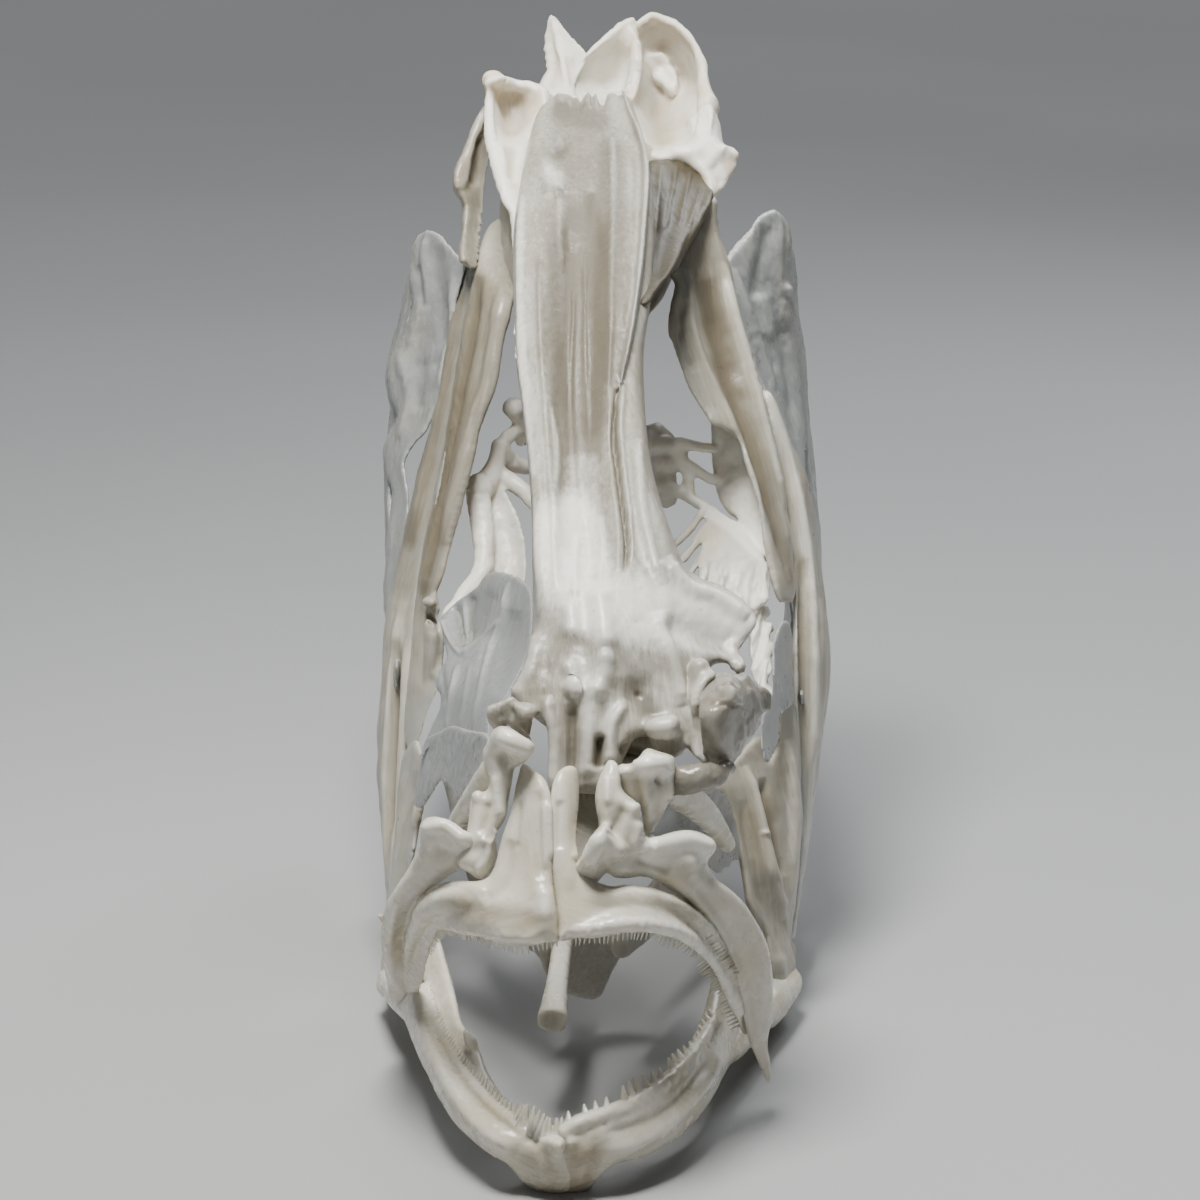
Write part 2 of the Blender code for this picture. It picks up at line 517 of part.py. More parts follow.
def otic_blind():
    s = bone("otic_blind", "bright", 400)
    # open cup of two lobes behind the crown, its mouth turned forward
    left = [(586, 55), (596, 47), (607, 38), (618, 28), (626, 21), (631, 20), (634, 26), (637, 34), (640, 50), (640, 72), (636, 92), (628, 104), (614, 108), (598, 108), (584, 106), (577, 97), (573, 86), (577, 72), (581, 62)]
    s.plate_of(left, [(588, 57, 49.6), (612, 36, 52.4), (630, 23, 53.6), (600, 72, 53.0), (612, 88, 53.4), (628, 60, 53.0), (577, 92, 47.4), (600, 106, 46.4), (632, 96, 47.6), (638, 60, 50.8)],
               [(586, 56, 1.4), (604, 74, 1.1), (630, 24, 1.3), (600, 104, 2.4), (636, 70, 1.6)], 5)
    right = [(634, 27), (640, 24), (645, 20), (651, 15), (659, 18), (668, 21), (677, 25), (686, 33), (692, 40), (697, 48), (701, 58), (704, 71), (704, 88), (705, 100), (712, 112), (712, 130), (702, 146), (686, 156), (668, 160),
             (652, 160), (645, 150), (638, 132), (631, 116), (625, 104), (624, 94), (630, 80), (633, 62), (633, 45)]
    s.plate_of(right, [(636, 30, 53.4), (651, 18, 55.0), (678, 28, 54.4), (698, 52, 52.0), (704, 78, 49.2), (706, 110, 45.2), (700, 142, 41.4), (664, 158, 39.6), (648, 152, 40.6), (634, 70, 51.4), (628, 100, 46.6),
                       (664, 44, 57.6), (676, 70, 58.0), (660, 84, 57.6), (680, 100, 53.6), (655, 112, 52.0), (672, 128, 47.8), (645, 124, 46.2), (690, 84, 55.6)],
               [(651, 18, 1.3), (700, 60, 1.3), (668, 70, 1.2), (660, 110, 1.4), (708, 118, 3.6), (690, 148, 5.0), (650, 156, 3.4)], 5)
    # rolled lip round the cup
    s.tube([(634, 28, 53.6), (644, 21, 54.3), (651, 16.5, 54.9), (664, 20, 55), (678, 27, 54.3), (692, 42, 52.8), (702, 66, 50.2), (704, 90, 47.4), (708, 108, 45.4)],
           [0.3, 0.35, 0.4, 0.4, 0.45, 0.5, 0.6, 0.8, 1.2], [0.6, 0.6, 0.7, 0.7, 0.8, 0.8, 0.9, 1.2, 1.8])
    s.tube([(587, 57, 49.6), (604, 42, 51.6), (620, 28, 53), (631, 21.5, 53.7)], [0.4, 0.4, 0.4, 0.35], [0.7, 0.7, 0.7, 0.6])
    # crumbled ridge inside it
    s.plate_of([(641, 58), (647, 54), (655, 54), (661, 53), (668, 58), (672, 66), (676, 72), (679, 80), (678, 88), (672, 96), (667, 92), (662, 85), (655, 80), (650, 72), (643, 66)],
               [(646, 58, 56.2), (666, 60, 57.0), (676, 84, 55.2), (660, 74, 57.0)], [(650, 60, 3.4), (668, 66, 3.4), (674, 90, 3.4)], 5)
    # thick bright flank with the spur at its corner
    flank = [(703, 98), (709, 105), (714, 114), (718, 124), (720, 134), (722, 145), (728, 148), (734, 150), (736, 157), (735, 166), (730, 176), (721, 190), (712, 197), (706, 194), (702, 182), (690, 170), (676, 164),
             (660, 163), (650, 160), (650, 152), (664, 150), (678, 146), (690, 139), (697, 128), (700, 112)]
    s.plate_of(flank, [(704, 104, 46.0), (716, 128, 43.4), (700, 142, 41.6), (672, 156, 39.2), (652, 158, 38.8), (734, 157, 39.8), (722, 184, 36.6), (710, 190, 36.0), (708, 165, 38.6)],
               [(704, 104, 3.2), (712, 130, 5.4), (690, 152, 5.6), (655, 157, 3.4), (733, 156, 2.0), (718, 188, 2.4), (710, 165, 4.6)], 13)


def wing_blind():
    s = bone("sphenotic_wing_blind", "wing", 110)
    edge = [(650, 160), (653, 163), (656, 160), (662, 162), (667, 160), (673, 162), (683, 160), (686, 166), (692, 167), (696, 172), (702, 173), (706, 179), (710, 181), (711, 188), (709, 195), (703, 199),
            (706, 206), (698, 219), (690, 235), (682, 252), (675, 268), (664, 282), (655, 293), (648, 303), (638, 304), (634, 270), (638, 245), (641, 204), (643, 180)]
    s.plate_of(edge, [(652, 163, 36.0), (684, 163, 37.4), (709, 186, 36.0), (668, 190, 32.0), (648, 204, 26.0), (638, 204, 26.6), (700, 212, 30.0), (672, 225, 25.0), (648, 250, 18.2), (635, 270, 16.2), (684, 246, 22.0), (648, 298, 9.6), (664, 280, 13.0)],
               [(652, 165, 1.8), (700, 185, 1.6), (670, 220, 2.6), (655, 250, 3.0), (648, 290, 2.2)], 5)
    s.tube([(709, 193, 35.0), (705, 206, 31.5), (697, 221, 28), (684, 246, 22.6), (673, 270, 17)], [0.5, 0.6, 0.6, 0.5, 0.4])


# ================================================================ upper jaw
def tooth_row(s, path, count, tall, r, lean, start=0.10, stop=0.97):
    """Teeth along a path of front-view points; lean is the direction they point."""
    P = curve([pt(p) for p in path], 200)
    count = max(4, int(count * TOOTH_SHARE))
    r = max(r * 1.25, 0.27)
    for i in range(count):
        t = start + (stop - start) * i / max(count - 1, 1)
        k = t * 199
        a = int(k)
        p = P[a] + (P[min(a + 1, 199)] - P[a]) * (k - a)
        wob = math.sin(12.9898 * i + 4.1) * 0.5 + math.sin(7.13 * i + 1.7) * 0.5
        h = (np.interp(t, np.linspace(0, 1, len(tall)), tall)) * (1.0 + 0.22 * wob)
        L = np.array([np.interp(t, np.linspace(0, 1, len(lean)), [q[c] for q in lean]) for c in range(3)])
        L = unit(L + 0.12 * np.array([math.sin(5.3 * i), math.cos(3.7 * i), 0.0]))
        s.teeth.append((p - L * 0.9, p + L * h, r * (0.8 + 0.25 * h)))


UP_O_A = [(560, 889, -40), (540, 882, -40.5), (510, 880, -40.5), (480, 880, -39), (455, 885, -36), (437, 897, -32), (424, 918, -27), (415, 948, -22), (409, 985, -17)]
UP_O_B = [(561, 939, -41.5), (540, 944, -41.8), (510, 942, -41), (485, 938, -39.5), (462, 931, -36.5), (447, 929, -33), (437, 934, -29), (428, 954, -24.5), (419, 988, -19)]
UP_B_A = [(569, 889, -40), (590, 884, -40.5), (625, 882, -40), (655, 885, -38.5), (682, 898, -35.5), (706, 922, -32.4), (722, 955, -29.8), (735, 990, -27.4), (748, 1030, -25.4)]
UP_B_B = [(568, 937, -41.5), (590, 935, -41.8), (620, 930, -41), (645, 929, -39.5), (672, 935, -37), (697, 948, -34.4), (715, 969, -31.8), (728, 992, -29), (740, 1029, -26.4)]


def premaxilla_ocular(teeth):
    s = bone("premaxilla_ocular", "jaw", 330)
    plate(s, [(523, 764), (533, 770), (542, 777), (547, 786), (550, 796), (551.4, 812), (552.2, 850), (552.6, 880), (556.6, 905), (559.6, 925), (558.8, 940), (549, 941), (536, 944), (524, 945), (512, 944), (497, 941),
              (478, 936), (460, 932), (447, 929), (438, 931), (432, 942), (427, 960), (421, 985), (413, 1004), (409, 1000), (405, 985), (403, 960), (404, 940), (408, 922), (415, 905),
              (425, 892), (437, 885), (457, 881), (478, 882), (490, 877), (497, 862), (501, 845), (506, 829), (511, 814), (514, 800), (516, 787), (519, 774)],
          [(530, 768, -34.6), (535, 800, -36.2), (538, 840, -37.8), (540, 880, -39.2), (545, 915, -40.6), (545, 940, -40.8), (500, 885, -38.6), (500, 938, -40.4), (460, 886, -36.2), (455, 928, -35.6),
           (430, 897, -31.6), (425, 940, -27), (414, 925, -26), (409, 990, -17.6), (508, 835, -36.8)],
          [(525, 768, 1.6), (532, 800, 1.9), (530, 850, 2.2), (530, 905, 3.8), (480, 905, 3.6), (440, 910, 2.8), (415, 940, 2.0), (410, 995, 1.0), (505, 840, 1.6)], rim=15)
    s.tube([(409, 955, -22), (416, 930, -26.5), (430, 908, -32), (455, 900, -36.4), (490, 905, -38.8), (530, 912, -39.6)], [0.5, 0.8, 1.0, 1.2, 1.3, 1.2], [0.8, 1.1, 1.3, 1.5, 1.7, 1.6])
    if teeth:
        tooth_row(s, [(p[0], p[1], p[2] + 0.4) for p in UP_O_B[:8]], 48, [0.7, 1.0, 0.9, 0.8, 0.66, 0.5], 0.21,
                  [(0.1, 0.1, -1), (0.25, 0.1, -1), (0.8, 0.1, -0.6)])


def premaxilla_blind(teeth):
    s = bone("premaxilla_blind", "jaw", 340)
    plate(s, [(551.2, 800), (554, 782), (558, 773), (563, 768), (570, 766), (576, 769), (578, 785), (578, 805), (576, 822), (574, 840), (576, 856), (582, 870), (592, 880), (610, 887), (626, 886),
              (640, 887), (653, 889), (666, 893), (681, 901), (693, 910), (704, 919), (715, 932), (723, 947), (731, 962), (736, 977), (741, 995), (746, 1015), (748, 1033), (743, 1034),
              (738, 1020), (733, 1005), (726, 988), (718, 971), (711, 960), (702, 951), (692, 944), (679, 938), (666, 935), (653, 931), (643, 930), (626, 931), (610, 934), (593, 937),
              (577, 937), (559, 940), (558.6, 925), (555.4, 900), (551.8, 860)],
          [(566, 770, -34.8), (565, 805, -36.4), (564, 850, -38.0), (566, 890, -39.4), (575, 925, -40.8), (610, 890, -38.8), (610, 930, -40.6), (650, 890, -37.6), (650, 930, -39.4), (690, 912, -34.4),
           (690, 942, -35.4), (720, 950, -30.6), (722, 975, -30.2), (738, 995, -27.2), (745, 1030, -25.6)],
          [(566, 768, 1.8), (565, 810, 2.0), (570, 880, 3.2), (600, 912, 4.0), (650, 910, 3.8), (690, 926, 3.2), (720, 962, 2.4), (738, 1000, 1.8), (746, 1032, 0.8)], rim=15)
    s.tube([(575, 900, -39.2), (610, 903, -38.8), (650, 903, -37.6), (685, 917, -34.8), (712, 943, -31.6), (728, 975, -29), (740, 1010, -26.8)], [1.0, 1.2, 1.3, 1.2, 1.0, 0.8, 0.5], [1.4, 1.6, 1.7, 1.6, 1.3, 1.0, 0.7])
    if teeth:
        for k, (lift, back, many, tall) in enumerate([(0, 0.4, 62, 0.95)]):
            tooth_row(s, [(p[0] + (0.6 * lift if j > 4 else 0), p[1] + 1 - lift, p[2] + back + 0.4) for j, p in enumerate(UP_B_B[:9])], many, [tall * q for q in (0.8, 0.9, 1.0, 1.0, 1.15, 1.25, 0.9)], 0.2,
                      [(0, -0.2, -1), (-0.25, -0.2, -1), (-0.9, -0.3, -0.55), (-1.0, -0.3, -0.3)], start=0.03 + 0.01 * k)


def maxilla_ocular():
    s = bone("maxilla_ocular", "jaw", 200)
    plate(s, [(422, 824), (427, 819), (438, 818), (450, 825), (461, 831), (470, 834), (476, 845), (474, 858), (466, 867), (456, 871), (446, 877), (436, 885), (426, 894), (416, 908), (410, 925),
              (407, 945), (406, 965), (408, 985), (411, 1003), (411, 1016), (408, 1023), (404, 1012), (398, 1004), (390, 996), (387, 978), (382, 945), (382, 922), (386, 906), (396, 888),
              (405, 875), (415, 863), (421, 852), (423, 842), (420, 832)],
          [(435, 828, -33.8), (465, 848, -35.0), (440, 865, -33.0), (425, 880, -30.8), (405, 905, -26.6), (396, 930, -22.4), (396, 960, -18.4), (398, 995, -14.6), (408, 1020, -12.6)],
          [(435, 830, 3.6), (465, 850, 3.0), (430, 870, 3.2), (405, 905, 2.8), (396, 950, 2.2), (400, 995, 1.6), (408, 1020, 0.8)], rim=13)
    s.tube([(386, 921, -22.6), (381, 917, -22.8), (377, 914.5, -23)], [0.45, 0.3, 0.12])
    s.tube([(434, 832, -34.0), (432, 850, -32.8), (420, 872, -30.0), (402, 902, -26.0), (392, 935, -21.4)], [1.2, 1.2, 1.0, 0.8, 0.6], [1.5, 1.5, 1.3, 1.1, 0.8])


def maxilla_blind():
    s = bone("maxilla_blind", "jaw", 340)
    plate(s, [(640, 838), (650, 838), (661, 838), (676, 834), (688, 831), (699, 833), (709, 839), (715, 846), (713, 853), (708, 858), (707, 865), (714, 878), (726, 888), (742, 902), (752, 917),
              (762, 934), (767, 947), (770, 964), (772, 980), (772, 1000), (770, 1022), (767, 1045), (769, 1062), (770, 1078), (768, 1083), (764, 1074), (757, 1058), (752, 1047), (747, 1030),
              (742, 1006), (737, 986), (731, 969), (724, 951), (715, 934), (704, 918), (692, 906), (681, 896), (666, 885), (653, 878), (641, 875), (628, 877), (614, 876), (606, 866), (612, 856), (625, 848)],
          [(630, 862, -37.0), (655, 856, -35.8), (690, 842, -34.0), (710, 847, -33.0), (680, 880, -34.6), (700, 890, -33.2), (735, 920, -30.2), (750, 960, -28.0), (758, 1000, -26.4), (763, 1045, -24.8), (768, 1080, -24.0)],
          [(625, 864, 3.0), (655, 858, 3.8), (690, 850, 4.0), (708, 848, 2.6), (705, 890, 4.2), (735, 925, 4.0), (755, 975, 3.2), (762, 1030, 2.0), (768, 1078, 0.9)], rim=16)
    # process that runs up beside the vomer, with its bulge
    plate(s, [(609, 760), (614, 761), (618, 766), (620, 778), (621, 789), (627, 796), (634, 801), (640, 810), (642, 822), (644, 836), (650, 848), (640, 858), (622, 858), (606, 852),
              (600, 838), (600, 823), (597, 809), (596, 796), (599, 780), (604, 768)],
          [(610, 765, -35.2), (608, 790, -36.2), (632, 812, -36.8), (615, 825, -37.0), (625, 850, -36.8)], [(610, 764, 1.6), (610, 790, 2.8), (628, 815, 3.6), (620, 845, 3.8)], rim=11)
    # knob that bears on the premaxilla
    plate(s, [(605, 825), (612, 829), (617, 838), (626, 845), (634, 846), (633, 853), (622, 859), (614, 863), (604, 873), (598, 880), (591, 882), (582, 879), (576, 871), (576, 864), (582, 857),
              (585, 848), (590, 841), (597, 831)], [(600, 845, -38.6), (588, 868, -38.4), (628, 850, -37.6)], [(600, 848, 4.2), (588, 870, 3.4), (630, 850, 3.0)], rim=12)


def palatine_ocular():
    s = bone("palatine_ocular", "jaw", 192)
    plate(s, [(500, 727), (510, 729), (520, 735), (528, 741), (534, 746), (531, 752), (526, 760), (519, 765), (513, 768), (512, 778), (510, 790), (508, 801), (506, 814), (503, 822), (497, 830),
              (494, 838), (496, 850), (496, 860), (492, 871), (485, 879), (478, 878), (470, 872), (461, 867), (457, 861), (462, 848), (467, 834), (470, 819), (471, 805), (473, 797), (477, 791),
              (483, 793), (489, 789), (490, 778), (486, 766), (483, 754), (488, 742), (492, 733)],
          [(512, 740, -34.6), (528, 747, -35.0), (492, 752, -32.8), (500, 785, -33.8), (480, 800, -33.6), (490, 825, -35.0), (476, 860, -35.4), (490, 866, -35.4)],
          [(510, 745, 4.2), (530, 747, 2.6), (490, 755, 3.0), (502, 785, 3.0), (480, 800, 3.0), (488, 825, 3.4), (478, 862, 4.0)], rim=12)
    s.lump((478, 797, -33.8), [0.5, 0.8, 0.5])
    s.tube([(494, 770, -31.4), (480, 790, -27), (462, 815, -21), (444, 845, -14)], [1.3, 1.1, 0.9, 0.6], [1.6, 1.4, 1.0, 0.7])


def palatine_blind():
    s = bone("palatine_blind", "jaw", 190)
    plate(s, [(620, 765), (628, 765), (637, 762), (642, 754), (648, 749), (658, 752), (668, 755), (674, 758), (674, 775), (673, 795), (667, 803), (662, 814), (656, 826), (650, 836), (643, 834), (640, 822),
              (634, 806), (626, 799), (618, 790), (616, 776)],
          [(648, 762, -34.4), (670, 765, -33.2), (622, 775, -34.6), (650, 795, -34.4), (650, 830, -33.0)], [(650, 765, 4.6), (670, 775, 3.0), (622, 778, 2.6), (650, 800, 4.0), (650, 832, 1.6)], rim=13)
    s.tube([(660, 785, -31.6), (682, 795, -27), (706, 815, -21), (728, 845, -14)], [1.6, 1.5, 1.2, 0.8], [1.6, 1.3, 1.0, 0.7])


# ================================================================ lower jaw
LO_O_A = [(563, 1128, -43.6), (545, 1131, -43.2), (521, 1117, -42), (504, 1106, -40.4), (488, 1079, -37.5), (475, 1054, -34), (461, 1027, -29.5), (450, 993, -24.5), (445, 960, -20), (438, 934, -16)]
LO_O_B = [(563, 1186, -40.2), (548, 1184, -39.6), (521, 1157, -40.4), (500, 1148, -39.2), (477, 1131, -36.6), (456, 1104, -33), (440, 1073, -28), (424, 1044, -21.5), (412, 1018, -15), (402, 1000, -10)]
LO_B_A = [(565, 1128, -43.6), (583, 1118, -43.2), (615, 1108, -41.5), (642, 1096, -39), (668, 1077, -35.5), (686, 1058, -32), (704, 1024, -26), (713, 990, -20.5), (716, 965, -17)]
LO_B_B = [(565, 1186, -40.2), (582, 1183, -40), (604, 1160, -40.6), (633, 1156, -39.2), (668, 1138, -36), (697, 1109, -31), (712, 1083, -25), (728, 1062, -19), (742, 1044, -14)]


TOOTH_O = [(562, 1132, -43.4), (549, 1132, -43.4), (530, 1124, -42.6), (517, 1116, -41.8), (497, 1100, -39.6), (480, 1082, -36.8), (466, 1066, -34.0), (452, 1046, -30.6), (442, 1026, -27.0), (434, 1004, -22.8), (428, 984, -19.0)]
RAGGED_O = [(520, 1114, -40.6), (505, 1104, -39), (492, 1084, -36.6), (483, 1066, -34.2), (479, 1052, -32.4), (472, 1036, -29.8), (462, 1024, -27.6), (455, 998, -23.6), (449, 976, -20.0), (444, 952, -16.6), (437, 932, -14.6)]


def dentary(side, teeth):
    s = bone("dentary_" + side, "jaw", 310)
    if side == "ocular":
        s.blade(TOOTH_O, [LO_O_B[0], LO_O_B[1], (530, 1172, -39.8), (521, 1158, -40.4), (507, 1154, -39.6), (488, 1142, -37.8), (472, 1131, -36.2), (456, 1108, -33.4), (440, 1076, -28.4), (424, 1046, -21.5), (408, 1016, -13.6)],
                [4.2, 4.0, 3.8, 3.6, 3.4, 3.2, 3.0, 2.8, 2.5, 2.2, 1.8], bow=-0.5, power=2.6)
        s.blade([(p[0] - 2, p[1] + 3, p[2] + 1.6) for p in TOOTH_O[3:]] + [(420, 962, -14.6)], RAGGED_O[:9] + [(437, 932, -14.6)], [1.8, 1.7, 1.6, 1.5, 1.4, 1.4, 1.4, 1.4, 1.4], bow=0.3)
        # chin boss with its small flat foot
        s.tube([(548, 1150, -41.4), (549, 1172, -40.6), (551, 1189, -40.2)], [1.4, 1.3, 1.2], [2.0, 2.1, 2.2])
        s.plate_of([(514, 1150), (522, 1158), (529, 1168), (535, 1177), (543, 1183), (551, 1187), (558, 1186), (563, 1182), (564.5, 1170), (564.5, 1140), (545, 1136), (525, 1140)],
                   [(520, 1152, -40.4), (550, 1150, -42.6), (550, 1182, -40.6)], [(520, 1152, 3.4), (550, 1150, 5.0), (550, 1182, 4.0)], 14)
        s.plate_of([(464, 1030), (469, 1033), (474, 1037), (477, 1044), (478, 1052), (482, 1060), (478, 1064), (471, 1054), (466, 1044)], [(468, 1036, -29.6), (478, 1060, -34)], 1.8, 5)
        lean = [(0.05, 0.3, 1), (0.3, 0.3, 1), (0.55, 0.2, 0.9), (0.7, 0.1, 0.7)]
        if teeth:
            tooth_row(s, TOOTH_O[:4], 12, [1.3, 1.6, 1.45, 1.2], 0.43, lean[:2])
            tooth_row(s, TOOTH_O[3:], 40, [1.1, 0.8, 0.64, 0.56, 0.48, 0.36], 0.21, lean[1:])
    else:
        s.blade(LO_B_A, LO_B_B, [4.2, 4.0, 3.6, 3.4, 3.0, 2.7, 2.4, 2.1, 1.8], bow=-0.4, power=2.6)
        s.tube([(580, 1150, -41.4), (579, 1170, -40.6), (577, 1189, -40.2)], [1.6, 1.5, 1.3], [2.0, 2.1, 2.2])
        s.plate_of([(564.5, 1138), (564.5, 1180), (569, 1187), (576, 1188), (584, 1184), (592, 1177), (599, 1168), (606, 1158), (614, 1150), (600, 1136), (580, 1132)],
                   [(570, 1150, -42.4), (576, 1184, -40.4), (606, 1150, -40.6)], [(570, 1150, 5.0), (576, 1182, 4.2), (606, 1150, 3.4)], 14)
        # keel along the outside, under the groove
        s.tube([(600, 1148, -41.6), (633, 1143, -40.6), (664, 1126, -37.4), (690, 1098, -32.4), (708, 1066, -26)],
               [0.7, 1.0, 1.1, 1.0, 0.6], [1.0, 1.3, 1.4, 1.3, 0.8])
        # knobbly ridge that carries the teeth
        row = [(565, 1131, -43.8), (583, 1122, -43.4), (615, 1111, -41.8), (642, 1099, -39.4), (668, 1080, -36), (688, 1060, -32.2), (704, 1036, -28), (714, 1016, -24.6)]
        s.tube(row, [0.7, 0.8, 0.8, 0.8, 0.75, 0.7, 0.6, 0.4], [0.9, 0.9, 0.9, 0.9, 0.8, 0.8, 0.7, 0.5])
        lean = [(-0.05, 0.3, 1), (-0.3, 0.3, 1), (-0.6, 0.2, 0.85)]
        if teeth:
            tooth_row(s, [(p[0], p[1] - 2, p[2]) for p in row], 24, [1.35, 1.6, 1.7, 1.6, 1.5, 1.25, 1.0, 0.7], 0.47, lean)
            tooth_row(s, [(p[0] + 1, p[1] - 1, p[2] + 1.0) for p in row[:6]], 22, [0.5, 0.6, 0.6, 0.5, 0.4], 0.16, lean)


def articular_ocular():
    s = bone("articular_ocular", "jaw", 120)
    s.tube([(430, 1020, -20), (418, 1008, -13), (404, 992, -6), (393, 981, 0)], [1.2, 1.6, 1.9, 1.9], [2.0, 2.2, 2.0, 1.7])
    s.tube([(402, 990, -4), (395, 984, 1), (393, 982, 4)], [1.5, 1.4, 1.0], [1.4, 1.3, 1.0])
    s.tube([(408, 992, -8), (416, 965, -9), (424, 945, -11)], [1.6, 1.3, 0.9], [2.0, 1.6, 1.0])


def articular_blind():
    s = bone("articular_blind", "jaw", 140)
    s.tube([(716, 1060, -24), (732, 1043, -18), (752, 1020, -11), (772, 998, -4.6), (784, 982, 0)], [1.0, 1.5, 1.8, 2.0, 1.9], [1.6, 2.0, 2.1, 2.0, 1.8])
    s.tube([(774, 996, -4), (781, 988, 1), (782, 985, 4)], [1.5, 1.4, 1.0], [1.4, 1.3, 1.0])
    s.tube([(752, 1020, -10), (742, 985, -12), (733, 962, -14)], [1.6, 1.3, 0.8], [2.2, 1.6, 1.0])


# ================================================================ suspensoria
def deep(points, depth, offsets):
    """Front-view points at a table's depth, each with its own offset to the rear."""
    n = len(points)
    off = np.interp(np.linspace(0, 1, n), np.linspace(0, 1, len(offsets)), offsets)
    return [(u, v, along(depth, v) + o) for (u, v), o in zip(points, off)]


def quadrate(side):
    s = bone("quadrate_" + side, "bone", 170)
    if side == "ocular":
        edge = [(403, 762), (409, 748), (416, 742), (419, 750), (423, 757), (432, 755), (442, 757), (441, 768), (434, 781), (427, 793), (421, 806), (417, 824), (414, 845), (410, 862), (407, 882), (405, 905),
                (404, 940), (404, 960), (402, 976), (396, 984), (388, 985), (383, 976), (383, 963), (386, 945), (388, 925), (390, 900), (393, 870), (396, 842), (399, 815), (401, 785)]
        s.plate_of(edge, bars([(755, 410, -2.5), (765, 436, -9), (800, 402, -1.0), (806, 418, -6.5), (860, 396, -1, 409, -6), (920, 390, -0.5, 404, -3.5), (975, 386, 0, 401, -1)]),
                   [(412, 755, 2.0), (436, 765, 2.6), (410, 810, 3.2), (400, 870, 3.4), (396, 920, 3.4), (393, 970, 4.2)], 9, grow=2.4)
        s.lump((391, 968, 0.2), [1.0, 1.9, 1.4])
        s.lump((397, 975, 0.6), [1.2, 1.5, 1.1])
    else:
        edge = [(714, 786), (722, 778), (729, 767), (738, 757), (747, 747), (756, 738), (762, 740), (764, 755), (768, 763), (774, 754), (779, 741), (780, 726), (779, 714), (786, 706), (792, 706), (795, 720),
                (798, 748), (800, 780), (800, 811), (799, 854), (795, 895), (790, 930), (788, 942), (792, 950), (793, 966), (790, 977), (790, 993), (784, 1005), (776, 1011), (772, 1004), (773, 985),
                (770, 965), (768, 946), (765, 930), (757, 918), (749, 905), (746, 890), (744, 875), (740, 854), (736, 827), (728, 804), (721, 793)]
        s.plate_of(edge, bars([(770, 730, -9), (742, 756, -6.5), (710, 788, -1), (790, 720, -11), (810, 735, -9, 762, -6.5), (811, 797, -0.5), (870, 746, -7.5, 770, -6), (870, 796, 0), (915, 760, -5.6, 790, 0), (945, 776, -3), (975, 782, -1.6), (1005, 778, -1.8)]),
                   [(722, 785, 2.6), (756, 745, 2.2), (788, 715, 2.2), (745, 820, 3.2), (790, 820, 2.8), (768, 900, 3.2), (780, 950, 4.0), (780, 990, 3.6)], 8, grow=2.4)
        s.lump((791, 950, 1.2), [0.55, 1.0, 0.8])
        s.lump((783, 966, 0.2), [1.2, 1.9, 1.4])


def bars(rows):
    """Control depths for a plate: each row is (v, u, offset behind the cheek bars' own depth, u, offset)."""
    return [(r[k], r[0], yb(r[0], r[k + 1])) for r in rows for k in range(1, len(r), 2)]


def hyomandibula(side):
    s = bone("hyomandibula_" + side, "bone", 230)
    if side == "ocular":
        edge = [(477, 262), (484, 240), (492, 226), (502, 220), (514, 224), (520, 250), (516, 285), (511, 304), (504, 331), (498, 360), (495, 386), (489, 402), (481, 421), (473, 452), (466, 480), (458, 510), (450, 541),
                (442, 572), (435, 593), (437, 600), (439, 610), (436, 617), (440, 626), (442, 645), (441, 664), (438, 680), (433, 696), (426, 712), (421, 728), (416, 742), (410, 752), (406, 735), (408, 700), (412, 660),
                (415, 620), (419, 590), (426, 545), (434, 510), (442, 475), (449, 430), (456, 384), (463, 340), (470, 300), (474, 272)]
        s.plate_of(edge, bars([(225, 492, 3.6, 514, 3.4), (262, 480, 1.4, 512, 1.0), (300, 474, 1, 510, -2.8), (386, 458, 1, 490, -2.6), (480, 442, 1, 464, -2.4), (590, 421, 1, 434, -1.6), (660, 414, 0, 440, -3.6), (740, 408, -1, 418, -3)]),
                   [(500, 230, 2.2), (490, 262, 3.4), (495, 300, 3.6), (478, 386, 3.4), (455, 480, 3.2), (430, 580, 2.8), (427, 660, 2.0), (414, 745, 1.2)], 14, grow=2.4)
        s.lump((430, 602, 14.2), [0.85, 0.8, 0.6])
        s.plate_of([(426, 620), (433, 623), (438, 634), (440, 652), (438, 672), (432, 690), (427, 694), (424, 680), (425, 655), (424, 636)], bars([(625, 430, -3.0), (690, 429, -4.2)]), 1.6, 7)
    else:
        edge = [(702, 208), (709, 202), (714, 199), (715, 212), (716, 226), (721, 245), (727, 264), (733, 290), (741, 325), (750, 362), (762, 402), (772, 440), (781, 485), (788, 525), (792, 560), (793, 590), (791, 601),
                (785, 601), (780, 601), (776, 590), (771, 566), (766, 542), (759, 500), (748, 466), (741, 440), (730, 430), (713, 422), (708, 414), (697, 398), (690, 386), (683, 368), (675, 346), (671, 330),
                (672, 305), (676, 284), (672, 276), (678, 262), (686, 246), (694, 228)]
        s.plate_of(edge, bars([(206, 708, 0), (264, 680, -3.0, 724, 0.6), (330, 673, -4.2, 740, 0.6), (400, 700, -3.6, 760, 0.8), (440, 728, -3.4, 770, 0.8), (500, 760, -2.6, 782, 0.6), (595, 780, -1.6, 790, 0)]),
                   [(709, 206, 2.4), (690, 270, 3.0), (720, 270, 3.2), (680, 340, 1.8), (730, 340, 3.2), (720, 410, 1.8), (756, 420, 3.0), (766, 500, 1.8), (782, 560, 2.2)], 9, grow=2.4)
        s.tube([(704, 222, 35.5), (694, 220, 34.0), (684, 216, 32.4)], [1.1, 1.4, 1.3], [1.8, 2.2, 2.0])


